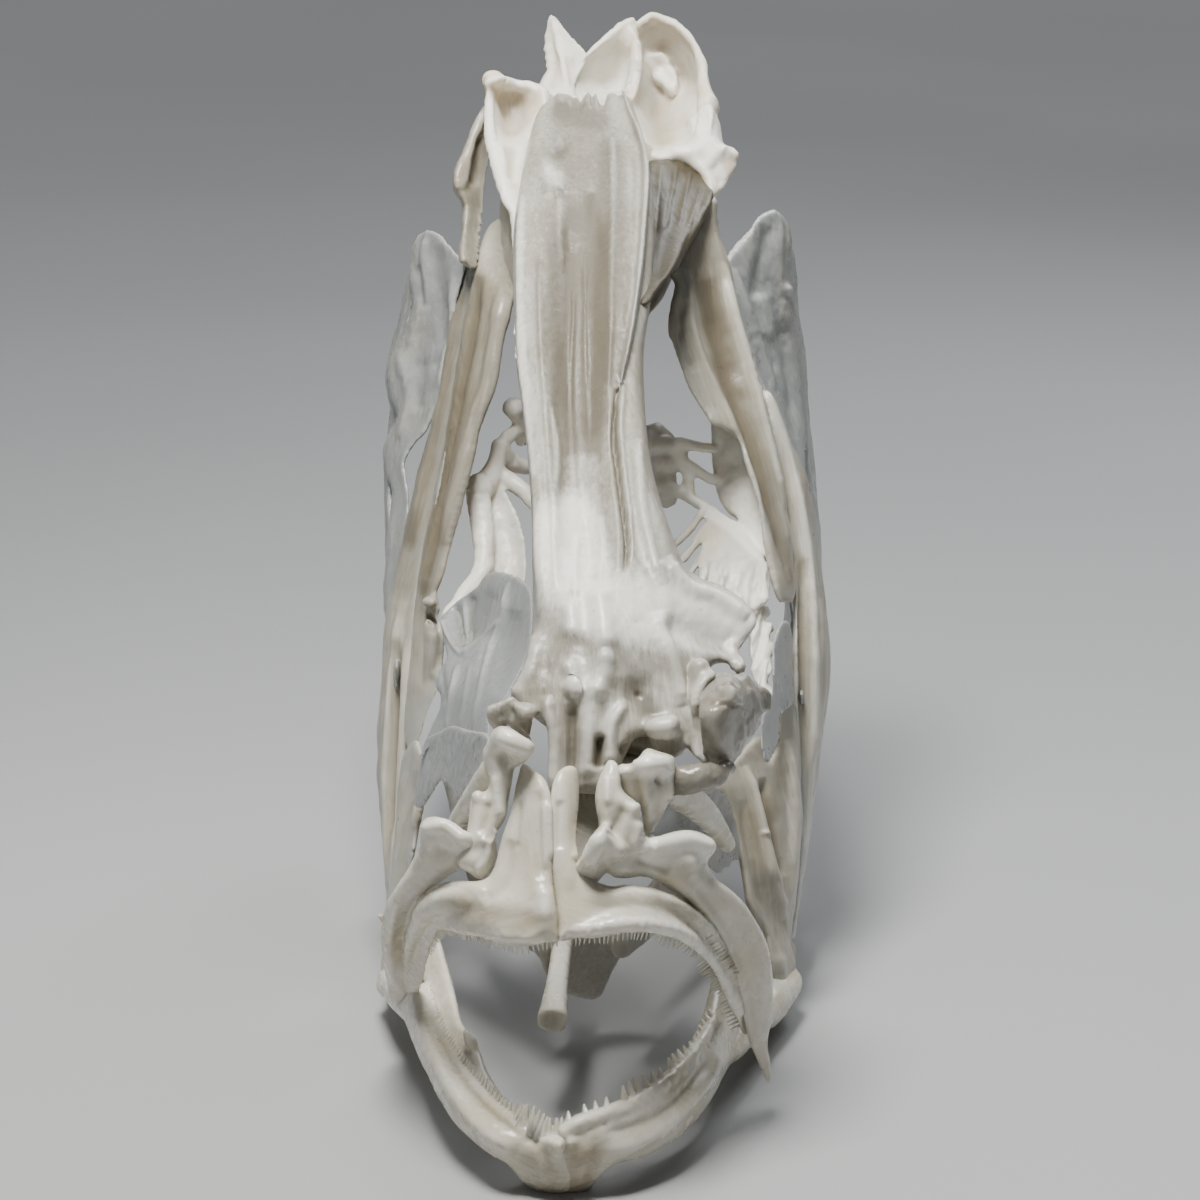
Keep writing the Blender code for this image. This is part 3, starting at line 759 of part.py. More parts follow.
def preopercle(side):
    s = bone("preopercle_" + side, "bone", 250)
    if side == "ocular":
        edge = [(463, 264), (470, 262), (474, 268), (471, 300), (464, 340), (457, 384), (450, 430), (443, 475), (435, 510), (427, 545), (420, 590), (416, 620), (413, 660), (410, 700), (408, 740), (406, 780),
                (402, 830), (399, 870), (397, 910), (394, 945), (390, 948), (388, 910), (387, 885), (385, 850), (383, 825), (380, 790), (380, 750), (380, 712), (383, 680), (385, 647), (388, 615), (393, 585),
                (400, 556), (406, 529), (413, 503), (422, 464), (432, 429), (441, 397), (449, 345), (455, 300)]
        s.plate_of(edge, bars([(266, 468, 3.2), (340, 452, 4.4, 462, 2.0), (430, 434, 5.4, 448, 2.0), (530, 409, 5.8, 428, 2.2), (590, 394, 5.6, 418, 2.0), (700, 384, 5.0, 408, 1.4), (800, 383, 5.4, 403, 2.2), (900, 389, 4.0, 397, 2.2), (945, 392, 2.6)]),
                   [(468, 268, 1.6), (445, 400, 2.2), (415, 540, 2.2), (400, 640, 2.4), (395, 760, 2.4), (393, 860, 2.0), (392, 940, 1.2)], 8, grow=2.4)
    else:
        edge = [(764, 396), (770, 424), (777, 462), (785, 504), (790, 545), (793, 580), (795, 603), (795, 645), (795, 697), (797, 722), (799, 750), (801, 780),
                (801, 811), (800, 854), (796, 895), (791, 930), (789, 940), (794, 925), (800, 894), (806, 858), (811, 822), (815, 785), (819, 747), (824, 710), (827, 688), (828, 652), (824, 606), (817, 557),
                (811, 515), (804, 477), (797, 458), (788, 436), (778, 410), (771, 398)]
        edge = edge[:17] + [(793, 936)] + edge[17:]
        s.plate_of(edge, bars([(266, 729, 1.2), (340, 747, 1.8), (420, 774, 3.2), (480, 782, 4.2, 803, 5.6), (560, 793, 3.8, 816, 6.6), (650, 797, 1.6, 826, 6.6), (750, 801, 2.0, 817, 5.8), (830, 802, 2.4, 808, 4.6), (930, 792, 2.4)]),
                   [(729, 268, 2.6), (750, 345, 3.4), (780, 430, 3.8), (800, 500, 3.8), (810, 600, 3.8), (812, 700, 3.6), (806, 800, 3.0), (796, 900, 2.2)], 7, grow=2.4)


def opercle(side):
    s = bone("opercle_" + side, "thin", 210)
    if side == "ocular":
        edge = [(464, 263), (456, 255), (449, 246), (440, 236), (432, 231), (424, 232), (418, 239), (414, 250), (412, 266), (412, 284), (415, 300), (414, 312), (408, 326), (400, 343), (391, 359), (389, 372),
                (391, 394), (396, 408), (399, 419), (393, 431), (387, 443), (385, 457), (388, 472), (394, 489), (393, 505), (391, 525), (389, 551), (387, 578), (386, 605), (388, 622), (394, 612), (399, 585),
                (404, 555), (407, 528), (408, 505), (407, 491), (403, 463), (411, 447), (424, 431), (433, 413), (441, 397), (449, 345), (456, 300)]
        s.plate_of(edge, bars([(258, 460, 3.4), (240, 430, 10), (290, 416, 12.5, 450, 4.8), (345, 448, 5.2), (365, 395, 14), (395, 396, 13, 438, 6), (430, 420, 8, 396, 12), (460, 388, 12.5, 403, 9), (500, 396, 9.6, 406, 8), (600, 389, 8.6)]),
                   [(455, 270, 1.4), (430, 245, 1.5), (420, 300, 1.6), (400, 380, 1.7), (440, 380, 1.5), (395, 460, 1.7), (398, 540, 1.6), (390, 610, 1.3)], 4, grow=2.4)
        s.sheet([[(424, 240, 42), (424, 238, 49), (428, 238, 57), (438, 247, 67)],
                 [(416, 288, 43), (412, 286, 50), (414, 280, 59), (422, 276, 69)],
                 [(404, 340, 42.5), (402, 334, 49), (404, 322, 58), (412, 304, 70)],
                 [(393, 376, 40.5), (391, 370, 47), (396, 352, 57), (404, 332, 69)],
                 [(399, 420, 38), (396, 414, 44), (397, 392, 54), (402, 368, 65)],
                 [(390, 466, 35), (389, 462, 41), (394, 440, 50), (400, 418, 60)],
                 [(392, 540, 31), (390, 530, 38), (395, 508, 47), (401, 488, 57)],
                 [(392, 615, 27), (396, 602, 36), (404, 572, 46), (410, 545, 52)]], 1.05)
    else:
        edge = [(727, 263), (731, 255), (738, 247), (744, 240), (751, 232), (757, 221), (764, 215), (772, 212), (780, 216), (785, 223), (788, 232), (790, 248), (789, 268), (794, 280), (795, 288), (791, 300),
                (792, 312), (794, 330), (798, 359), (801, 392), (804, 424), (805, 450), (803, 474), (797, 458), (786, 434), (774, 408), (761, 378), (748, 346), (737, 312), (731, 284)]
        s.plate_of(edge, bars([(262, 729, 1.8), (225, 772, 10), (270, 786, 12.5, 748, 4.8), (310, 750, 4.0), (330, 790, 13.5), (390, 798, 12.5, 772, 4.6), (440, 803, 9.0, 790, 4.4), (470, 802, 5.0)]),
                   [(732, 262, 1.4), (770, 225, 1.5), (780, 290, 1.6), (790, 370, 1.8), (802, 460, 1.5)], 4, grow=2.4)
        s.sheet([[(778, 222, 43.5), (780, 222, 50), (777, 222, 57), (768, 236, 67)],
                 [(787, 266, 43.5), (790, 264, 50), (789, 266, 59), (782, 270, 69)],
                 [(788, 318, 42.5), (792, 314, 49), (791, 304, 59), (786, 296, 70)],
                 [(796, 370, 39.5), (800, 364, 46), (798, 348, 57), (792, 334, 68)],
                 [(800, 424, 35.5), (804, 418, 42), (802, 402, 52), (797, 384, 63)],
                 [(802, 470, 31), (808, 468, 38), (808, 460, 47), (803, 440, 57)],
                 [(812, 560, 26), (816, 552, 33), (812, 530, 44), (807, 500, 56)],
                 [(812, 660, 21), (812, 640, 31), (805, 595, 42), (797, 552, 52)]], 1.05)


def subopercle(side):
    s = bone("subopercle_" + side, "thin", 120)
    if side == "ocular":
        s.sheet([[("w", -19.8, 12.5, 31.4), ("w", -19.8, 23.5, 30.6), ("w", -19.7, 34, 31.2), ("w", -19.3, 43, 33.0), ("w", -19.4, 50.5, 36.0)],
                 [(401, 760, 23), (405, 715, 35), (409, 668, 47), (414, 612, 58), (416, 566, 65)],
                 [(401, 815, 22), (405, 775, 34), (410, 725, 45), (415, 668, 56), (418, 618, 63)],
                 [(402, 855, 21), (406, 825, 32), (410, 780, 41), (416, 725, 51), (420, 680, 57)]], 1.0)
    else:
        s.sheet([[("w", 19.5, 12, 28.8), ("w", 19.7, 22.5, 28.2), ("w", 19.6, 33, 30.2), ("w", 19.3, 43, 32.6), ("w", 19.4, 50.5, 35.4)],
                 [(804, 765, 23), (801, 718, 35), (796, 670, 47), (790, 616, 58), (789, 572, 65)],
                 [(800, 818, 22), (797, 778, 34), (792, 727, 45), (786, 670, 56), (785, 622, 63)],
                 [(795, 856, 21), (792, 826, 32), (788, 782, 41), (782, 728, 51), (780, 682, 57)]], 1.0)


def interopercle(side):
    s = bone("interopercle_" + side, "bone", 96)
    f = 1 if side == "ocular" else -1
    c = -21.2 if side == "ocular" else 19.6
    s.blade([("w", c + f * 1.6, 4.5, 6.5), ("w", c + f * 0.6, 14, 9.5), ("w", c + f * 0.6, 25, 10.5), ("w", c + f * 1.0, 33, 9.5)],
            [("w", c + f * 2.2, 5.0, 2.4), ("w", c + f * 1.8, 14, 1.6), ("w", c + f * 1.6, 25, -0.6), ("w", c + f * 1.8, 31, -0.4)],
            [1.0, 1.3, 1.6, 1.6], power=2.4)


def pterygoid(side):
    s = bone("entopterygoid_" + side, "thin", 220)
    if side == "ocular":
        edge = [(442, 618), (448, 611), (455, 604), (462, 599), (470, 593), (479, 586), (484, 577), (494, 572), (508, 574), (522, 580), (531, 592), (532, 615), (531, 640), (524, 663), (513, 685), (502, 701),
                (490, 712), (489, 730), (485, 744), (470, 741), (452, 736), (440, 742), (428, 748), (420, 760), (425, 745), (433, 725), (441, 708), (441, 695), (437, 688), (439, 673), (447, 658), (444, 640)]
        s.plate_of(edge, [(443, 620, 9.5), (462, 602, 10), (480, 586, 8), (461, 656, 3.0), (500, 600, 2.6), (528, 600, -3), (528, 640, -9), (500, 640, -1), (500, 700, -17), (478, 690, -8), (470, 725, -12), (486, 740, -20),
                          (440, 680, 1.5), (440, 715, -1), (424, 756, -3)], [(450, 620, 0.9), (500, 600, 1.2), (525, 640, 1.4), (480, 700, 1.5), (440, 700, 1.2), (430, 750, 1.1)], 4)
    else:
        edge = [(783, 621), (788, 624), (791, 640), (792, 670), (793, 700), (790, 707), (780, 713), (779, 730), (777, 741), (773, 752), (768, 763), (764, 755), (762, 742), (762, 727), (765, 712), (771, 697),
                (773, 670), (773, 646), (777, 632)]
        s.plate_of(edge, [(783, 624, 13), (775, 660, 8), (791, 690, 10), (765, 720, 1.0), (777, 735, 4.0), (768, 760, -1)], 1.1, 4)


def ectopterygoid(side):
    s = bone("ectopterygoid_" + side, "thin", 120)
    if side == "ocular":
        edge = [(426, 740), (440, 732), (458, 727), (476, 732), (488, 736), (488, 760), (481, 780), (468, 790), (474, 834), (456, 842), (434, 836), (420, 826), (414, 804), (417, 784), (421, 765)]
        s.plate_of(edge, [(430, 750, -3), (455, 742, -13), (484, 750, -23), (482, 775, -22), (456, 795, -14), (436, 782, -8), (416, 802, -2.0), (474, 834, -9), (440, 836, -2)],
                   [(450, 760, 1.3), (484, 760, 1.4), (456, 798, 1.2), (417, 800, 1.1)], 4)
    else:
        edge = [(652, 806), (662, 800), (676, 797), (692, 792), (711, 786), (724, 795), (731, 810), (736, 828), (739, 846), (738, 858), (731, 861), (728, 867), (723, 868), (720, 874), (714, 871), (708, 866),
                (703, 854), (690, 842), (672, 838), (656, 838), (650, 826)]
        s.plate_of(edge, [(654, 812, -26), (690, 795, -22), (715, 790, -15), (735, 830, -8), (736, 856, -6), (715, 868, -12), (690, 838, -19), (660, 834, -24), (705, 820, -13)], 1.2, 5)


# ================================================================ cheek, throat and gill basket
def lacrimal():
    s = bone("lacrimal_blind", "glassy", 220)
    edge = [(700, 684), (703, 676), (712, 673), (728, 673), (742, 675), (750, 679), (757, 685), (766, 694), (770, 703), (767, 709), (762, 714), (760, 726), (754, 734), (748, 741), (743, 749), (739, 756), (731, 764),
            (722, 766), (712, 763), (705, 760), (703, 745), (702, 728), (699, 706)]
    s.plate_of(edge, [(702, 680, -26.5), (742, 676, -25), (768, 702, -21.5), (756, 730, -24.4), (732, 762, -28.0), (706, 756, -29.6), (718, 712, -31.4), (732, 700, -30.6), (744, 712, -27.6), (722, 740, -30.6)],
               [(704, 690, 1.0), (735, 700, 1.6), (765, 702, 1.2), (720, 740, 1.4), (735, 760, 1.0)], 5)
    s.tube([(666, 783, -32.2), (682, 780, -32.8), (698, 778, -32.8), (714, 775, -31.8), (729, 768, -29.6)], [1.2, 1.35, 1.25, 1.0, 0.6], [1.1, 1.2, 1.1, 0.9, 0.6])
    s.tube([(760, 690, -22.8), (766, 697, -22.0), (767, 706, -22.2)], [0.5, 0.65, 0.4])


def throat():
    s = bone("basihyal", "jaw", 90)
    a, b = at(563, 940, -12), at(552, 1021, -26)
    along_rod = unit(b - a)
    side = unit(np.cross(along_rod, SIGHT))
    up = unit(np.cross(side, along_rod))
    steps = [(-0.5, 0.9, 0.85), (0.0, 0.95, 0.9), (0.35, 0.95, 0.92), (0.6, 1.02, 1.0), (0.85, 1.22, 1.15), (0.97, 1.36, 1.26), (1.0, 1.3, 1.2)]
    C = np.array([a + (b - a) * t for t, w, h in steps])
    A = np.array([side * w for t, w, h in steps])
    B = np.array([up * h for t, w, h in steps])
    n, k = len(C), 18
    ang = np.linspace(0, 2 * math.pi, k, endpoint=False)
    cs, sn = np.cos(ang), np.sin(ang)
    x, y = np.sign(cs) * np.abs(cs) ** 0.72, np.sign(sn) * np.abs(sn) ** 0.72
    verts = np.concatenate([C[i] + x[:, None] * A[i] + y[:, None] * B[i] for i in range(n)])
    faces = [(i * k + j, i * k + (j + 1) % k, (i + 1) * k + (j + 1) % k, (i + 1) * k + j) for i in range(n - 1) for j in range(k)]
    faces += [tuple(range(k))[::-1], tuple((n - 1) * k + j for j in range(k))]
    s.add(verts, faces)
    s = bone("urohyal", "bone", 100)
    s.plate_of([(536, 930), (552, 928), (580, 926), (610, 924), (636, 922), (655, 924), (648, 932), (635, 937), (627, 944), (621, 953), (613, 968), (607, 982), (602, 993), (594, 998), (584, 998), (572, 995), (560, 990),
                (549, 979), (544, 966), (540, 952), (537, 942)], [(540, 935, -14), (650, 925, -8), (600, 990, -6), (550, 975, -11), (590, 950, -8)], [(545, 940, 1.6), (600, 960, 1.6), (640, 930, 1.4)], 8)


def ceratohyal(side):
    s = bone("ceratohyal_" + side, "bone", 90)
    f = -1 if side == "ocular" else 1
    c = -2.6 if side == "ocular" else -0.6
    s.blade([("w", c + f * 2.2, -14, 13.6), ("w", c + f * 5.5, -4, 15), ("w", c + f * 9.5, 6, 18), ("w", c + f * 12.2, 14, 23.5)],
            [("w", c + f * 2.4, -13, 10.6), ("w", c + f * 5.8, -3, 9.6), ("w", c + f * 9.8, 8, 11), ("w", c + f * 12.6, 16.5, 19.5)],
            [1.8, 1.6, 1.6, 1.4], power=2.4)


def gills(side):
    s = bone("gill_arches_" + side, "bone", 300)
    if side == "ocular":
        s.lump((514, 408, 28), [1.2, 1.2, 1.0])
        s.tube([(514, 410, 28), (520, 424, 28.4), (522, 440, 29)], [0.9, 0.7, 0.7])
        s.tube([(524, 425, 29), (508, 438, 27), (500, 448, 26)], [0.7, 0.7, 0.7])
        s.tube([(500, 447, 26), (512, 462, 27), (527, 468, 28)], [0.9, 0.9, 0.7])
        s.tube([(500, 447, 26), (494, 470, 25), (480, 488, 23.5)], [0.8, 1.0, 1.3])
        s.lump((479, 488, 23), [1.3, 1.3, 1.6])
        s.blade([(476, 490, 23), (483, 530, 21), (486, 570, 18), (480, 612, 14)], [(500, 480, 24.5), (520, 520, 22), (528, 560, 19), (520, 610, 15)],
                [1.6, 1.4, 1.2, 0.8], bow=1.4)
        s.tube([(478, 500, 22.5), (484, 537, 20), (481, 573, 17), (464, 596, 14), (448, 616, 11.5)], [1.2, 1.1, 1.0, 0.9, 0.7])
        s.tube([(506, 478, 25), (524, 492, 24), (536, 506, 23)], [0.9, 0.8, 0.7])
    else:
        s.lump((658, 444, 28), [2.0, 1.6, 1.5])
        s.tube([(655, 434, 28), (662, 456, 27.5), (664, 482, 26.5), (668, 497, 26)], [1.2, 1.5, 1.3, 1.1])
        s.tube([(664, 446, 27), (690, 447, 26), (712, 452, 26), (736, 462, 26)], [1.2, 0.8, 0.8, 0.8])
        s.tube([(664, 466, 26.5), (690, 474, 25.5), (714, 484, 25), (744, 486, 25)], [1.1, 0.7, 0.7, 0.7])
        s.tube([(660, 484, 26), (690, 500, 24), (720, 520, 22), (746, 540, 20), (764, 560, 18)], [1.2, 1.0, 1.0, 1.0, 0.9])
        s.tube([(690, 447, 26), (686, 460, 26), (692, 474, 25.5), (694, 500, 24)], [0.6, 0.7, 0.7, 0.7])
        s.tube([(716, 452, 26), (724, 480, 25), (736, 520, 22), (750, 548, 20)], [0.8, 1.0, 1.3, 1.2])
        s.tube([(704, 512, 22.6), (690, 534, 19), (678, 556, 15)], [0.8, 0.6, 0.5])
        s.tube([(722, 522, 21.6), (704, 545, 17), (694, 562, 14)], [0.9, 0.7, 0.5])
        s.tube([(742, 540, 20), (738, 560, 17), (728, 590, 12), (722, 620, 7)], [1.2, 1.4, 1.2, 0.8])
        s.blade([(718, 566, 14), (730, 568, 14), (742, 590, 13), (750, 606, 12)], [(716, 600, 10), (728, 612, 9), (740, 620, 9), (748, 622, 9)], 0.9)
        s.blade([(752, 560, 17), (758, 600, 14), (762, 640, 10), (760, 672, 6)], [(766, 566, 17), (774, 606, 13), (776, 650, 9), (770, 684, 5)], 0.9)


def posttemporal():
    s = bone("posttemporal_ocular", "bone", 130)
    edge = [(485, 104), (489, 108), (494, 112), (491, 138), (488, 166), (484, 194), (483, 215), (481, 239), (480, 252), (477, 266), (472, 268), (466, 264), (461, 262), (461, 240), (463, 224), (464, 208), (460, 198), (454, 190),
            (453, 182), (454, 174), (457, 166), (464, 147), (473, 126), (480, 112)]
    s.plate_of(edge, [(488, 108, 42.2), (473, 130, 41.4), (490, 140, 41.0), (457, 170, 39.0), (486, 180, 39.6), (456, 190, 37.8), (470, 200, 37.0), (482, 220, 36.0), (464, 240, 33.2), (470, 264, 30.6)],
               [(488, 108, 1.4), (478, 140, 2.8), (470, 180, 3.4), (470, 210, 2.4), (470, 262, 1.6)], 8)


def all_bones(many):
    """Lay out every bone; many is the number of teeth along one side of a jaw."""
    frontoethmoid()
    supraoccipital()
    otic_ocular()
    otic_blind()
    wing_blind()
    braincase()
    parasphenoid()
    premaxilla_ocular(many)
    premaxilla_blind(many)
    maxilla_ocular()
    maxilla_blind()
    palatine_ocular()
    palatine_blind()
    for side in ("ocular", "blind"):
        dentary(side, many)
    articular_ocular()
    articular_blind()
    for side in ("ocular", "blind"):
        hyomandibula(side)
        preopercle(side)
        quadrate(side)
        pterygoid(side)
        ectopterygoid(side)
        opercle(side)
        subopercle(side)
        interopercle(side)
        ceratohyal(side)
        gills(side)
    lacrimal()
    throat()
    posttemporal()

# ---------------------------------------------------------------- fusing, thinning and clearing
LOOKS = {  # base colour, roughness
    "roof": ((0.72, 0.70, 0.66), 0.42), "bright": ((0.86, 0.85, 0.81), 0.45), "jaw": ((0.80, 0.76, 0.68), 0.38),
    "bone": ((0.70, 0.68, 0.64), 0.45), "wing": ((0.50, 0.46, 0.38), 0.50), "thin": ((0.62, 0.66, 0.68), 0.35),
    "glassy": ((0.55, 0.52, 0.46), 0.18)}

bones = bpy.data.collections.new("flounder_skull")
tools = bpy.data.collections.new("cutters")
bpy.context.scene.collection.children.link(bones)
bpy.context.scene.collection.children.link(tools)


def material(name):
    mat = bpy.data.materials.get("bone_" + name)
    if mat is None:
        mat = bpy.data.materials.new("bone_" + name)
        mat.use_nodes = True
        colour, rough = LOOKS[name]
        shader = mat.node_tree.nodes["Principled BSDF"]
        shader.inputs["Base Color"].default_value = (*colour, 1.0)
        shader.inputs["Roughness"].default_value = rough
        shader.inputs["Metallic"].default_value = 0.0
        mat.diffuse_color = (*colour, 1.0)
    return mat


def largest_only(mesh):
    """Drop every island but the largest."""
    bm = bmesh.new()
    bm.from_mesh(mesh)
    left = set(bm.verts)
    groups = []
    while left:
        stack = [left.pop()]
        group = set(stack)
        while stack:
            v = stack.pop()
            for e in v.link_edges:
                o = e.other_vert(v)
                if o in left:
                    left.discard(o)
                    group.add(o)
                    stack.append(o)
        groups.append(group)
    groups.sort(key=lambda g: (len(g), min(v.index for v in g)), reverse=True)
    if len(groups) > 1:
        loose = [v for g in groups[1:] for v in g]
        bmesh.ops.delete(bm, geom=loose, context="VERTS")
        bm.to_mesh(mesh)
    bm.free()
    return len(groups)


def set_down(mesh):
    """Cut a bone off at the plane that the skull rests on, and close the cut, as small flats."""
    for v in mesh.vertices:
        if abs(v.co.z) < 0.06 * MM:
            v.co.z = 0.0
    if min(v.co.z for v in mesh.vertices) >= 0.0:
        return
    bm = bmesh.new()
    bm.from_mesh(mesh)
    whole = bm.verts[:] + bm.edges[:] + bm.faces[:]
    bmesh.ops.bisect_plane(bm, geom=whole, dist=1e-7, plane_co=(0, 0, 0), plane_no=(0, 0, 1), clear_inner=True)
    rim = [e for e in bm.edges if e.is_boundary]
    bmesh.ops.remove_doubles(bm, verts=list({v for e in rim for v in e.verts}), dist=0.02 * MM)
    bmesh.ops.holes_fill(bm, edges=[e for e in bm.edges if e.is_boundary], sides=0)
    bmesh.ops.triangulate(bm, faces=bm.faces[:])
    bm.to_mesh(mesh)
    bm.free()


def two_faced(mesh):
    """True where every edge has just two faces."""
    met = {}
    for p in mesh.polygons:
        for key in p.edge_keys:
            met[key] = met.get(key, 0) + 1
    return all(n == 2 for n in met.values())


def thin_to(obj, tris):
    """Collapse a bone to about this many triangles, or a few more where that would pinch it along an edge."""
    count = sum(len(p.vertices) - 2 for p in obj.data.polygons)
    dense = obj.data.copy()
    goal = tris
    while count > goal:
        m = obj.modifiers.new("thin", "DECIMATE")
        m.ratio = goal / count
        settled(obj, obj.name)
        if two_faced(obj.data):
            break
        obj.data = dense.copy()
        goal += 6


def tree_of(mesh, grow=0.0):
    n = len(mesh.vertices)
    co = np.empty(n * 3, np.float32)
    mesh.vertices.foreach_get("co", co)
    co = co.reshape(-1, 3).astype(float)
    if grow:
        no = np.empty(n * 3, np.float32)
        mesh.vertex_normals.foreach_get("vector", no)
        co = co + no.reshape(-1, 3) * grow
    return co, BVHTree.FromPolygons(co.tolist(), [tuple(p.vertices) for p in mesh.polygons])


all_bones(26)
made = {}
for name, (shape, look, tris) in BONES.items():
    obj = bpy.data.objects.new(name, mesh_of(name, shape))
    bones.objects.link(obj)
    fuse = obj.modifiers.new("fuse", "REMESH")
    fuse.mode = "VOXEL"
    fuse.voxel_size = VOXEL * MM
    ease = obj.modifiers.new("ease", "SMOOTH")
    ease.factor = 0.5
    ease.iterations = 2
    settled(obj, name)
    largest_only(obj.data)
    obj.data.materials.clear()
    obj.data.materials.append(material(look))
    made[name] = obj

names = list(made)
dense = {n: tree_of(made[n].data) for n in names}
grown = {n: tree_of(made[n].data, SUTURE * MM) for n in names}
box = {n: (dense[n][0].min(0) - 0.0005, dense[n][0].max(0) + 0.0005) for n in names}
meets = {n: [] for n in names}
for i, a in enumerate(names):
    for b in names[i + 1:]:
        if (box[a][0] <= box[b][1]).all() and (box[b][0] <= box[a][1]).all():
            if grown[a][1].overlap(dense[b][1]):
                meets[b].append(a)

cutters = {}
for n in names:
    if any(n in met for met in meets.values()):
        mesh = made[n].data.copy()
        mesh.vertices.foreach_set("co", grown[n][0].astype(np.float32).ravel())
        cut = bpy.data.objects.new("clear_" + n, mesh)
        tools.objects.link(cut)
        cut.hide_render = True
        cut.display_type = "WIRE"
        thin_to(cut, BONES[n][2] * 1.5)
        cutters[n] = cut

def volume(mesh):
    bm = bmesh.new()
    bm.from_mesh(mesh)
    v = bm.calc_volume()
    bm.free()
    return v


def combine(obj, other, operation):
    """Boolean against another object, applied; a result that lost the body is left out."""
    before = obj.data.copy()
    was = volume(before)
    for solver in ("EXACT", "MANIFOLD"):
        m = obj.modifiers.new("join", "BOOLEAN")
        m.operation = operation
        m.solver = solver
        m.object = other
        settled(obj, obj.name)
        now = volume(obj.data)
        if 0.6 * was < now < 1.5 * was and two_faced(obj.data):
            return
        obj.data = before.copy()


for n in names:
    obj = made[n]
    goal = BONES[n][2]
    thin_to(obj, goal * 1.3)
    for a in meets[n]:
        combine(obj, cutters[a], "DIFFERENCE")
    largest_only(obj.data)
    thin_to(obj, goal)
    set_down(obj.data)
    if BONES[n][0].teeth:
        row = Shape()
        for root, tip, r in BONES[n][0].teeth:
            row.cone(root, tip, r, sides=4, levels=())
        teeth = bpy.data.objects.new("teeth_" + n, mesh_of("teeth_" + n, row))
        tools.objects.link(teeth)
        teeth.hide_render = True
        teeth.display_type = "WIRE"
        combine(obj, teeth, "UNION")
    largest_only(obj.data)
    for p in obj.data.polygons:
        p.use_smooth = True
    obj.data.set_sharp_from_angle(angle=math.radians(50))
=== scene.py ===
"""Visual model of an articulated flounder skull: every bone is laid out again as closed lofts, fused finely,
carved with ridges, grooves and tears, and given its teeth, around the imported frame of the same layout."""
import math

import bmesh
import bpy
import mathutils.geometry
import numpy as np
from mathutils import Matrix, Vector
from mathutils.bvhtree import BVHTree


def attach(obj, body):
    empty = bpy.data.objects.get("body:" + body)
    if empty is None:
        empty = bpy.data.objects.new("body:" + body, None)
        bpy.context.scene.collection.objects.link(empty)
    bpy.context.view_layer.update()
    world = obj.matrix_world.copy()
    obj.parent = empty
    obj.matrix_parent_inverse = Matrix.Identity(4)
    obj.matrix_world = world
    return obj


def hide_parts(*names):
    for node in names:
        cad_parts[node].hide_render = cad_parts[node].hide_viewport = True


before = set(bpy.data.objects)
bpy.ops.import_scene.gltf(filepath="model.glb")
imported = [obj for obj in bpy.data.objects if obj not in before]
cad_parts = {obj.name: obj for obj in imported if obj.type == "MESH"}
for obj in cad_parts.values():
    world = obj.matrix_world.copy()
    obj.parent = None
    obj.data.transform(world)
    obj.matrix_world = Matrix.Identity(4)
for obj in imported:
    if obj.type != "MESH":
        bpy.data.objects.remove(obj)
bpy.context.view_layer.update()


# ---------------------------------------------------------------- sizes (millimetres)
VIEW_TILT = math.radians(15.0)   # the front view looks down by this much
VIEW_DIST = 400.0                # from the viewpoint to the plane of the jaw joints
UNIT = 0.0955                    # one unit of the front view, at that plane
VIEW_MID = (600.0, 600.0)        # middle of the front view
JOINT_V = 975.0                  # row of the jaw joints in the front view
JOINT_Z = 4.3                    # height of the jaw joints above the floor
AHEAD, ASIDE = 12.02, 0.36          # from the layout's own zero to the middle of the whole skull's outline
MM = 0.001

_S, _C = math.sin(VIEW_TILT), math.cos(VIEW_TILT)
_F = VIEW_DIST / UNIT
_DROP = (JOINT_V - VIEW_MID[1]) * UNIT
MID = np.array([-ASIDE, _DROP * _S - AHEAD, JOINT_Z + _DROP * _C])   # world point at the middle of the front view


def at(u, v, y):
    """World point (mm) seen at column u, row v of the front view, y mm behind the jaw joints."""
    k = (VIEW_MID[1] - v) / _F
    w = (y - AHEAD - MID[1] - _S * k * VIEW_DIST) / (_S * k + _C)
    x = (u - VIEW_MID[0]) / _F * (VIEW_DIST + w)
    up = k * (VIEW_DIST + w)
    return np.array([MID[0] + x, MID[1] + up * _S + w * _C, MID[2] + up * _C - w * _S])


SIGHT = np.array([0.0, _C, -_S])          # direction of the front view


def pt(p):
    """A front-view triple (u, v, y), or a world point given as ('w', x, y, z)."""
    if isinstance(p[0], str):
        return np.array(p[1:], float) - (ASIDE, AHEAD, 0.0)
    return at(*p[:3])


def along(table, t):
    """Value read off a short table of (t, value) pairs."""
    xs, ys = zip(*sorted(table))
    return float(np.interp(t, xs, ys))


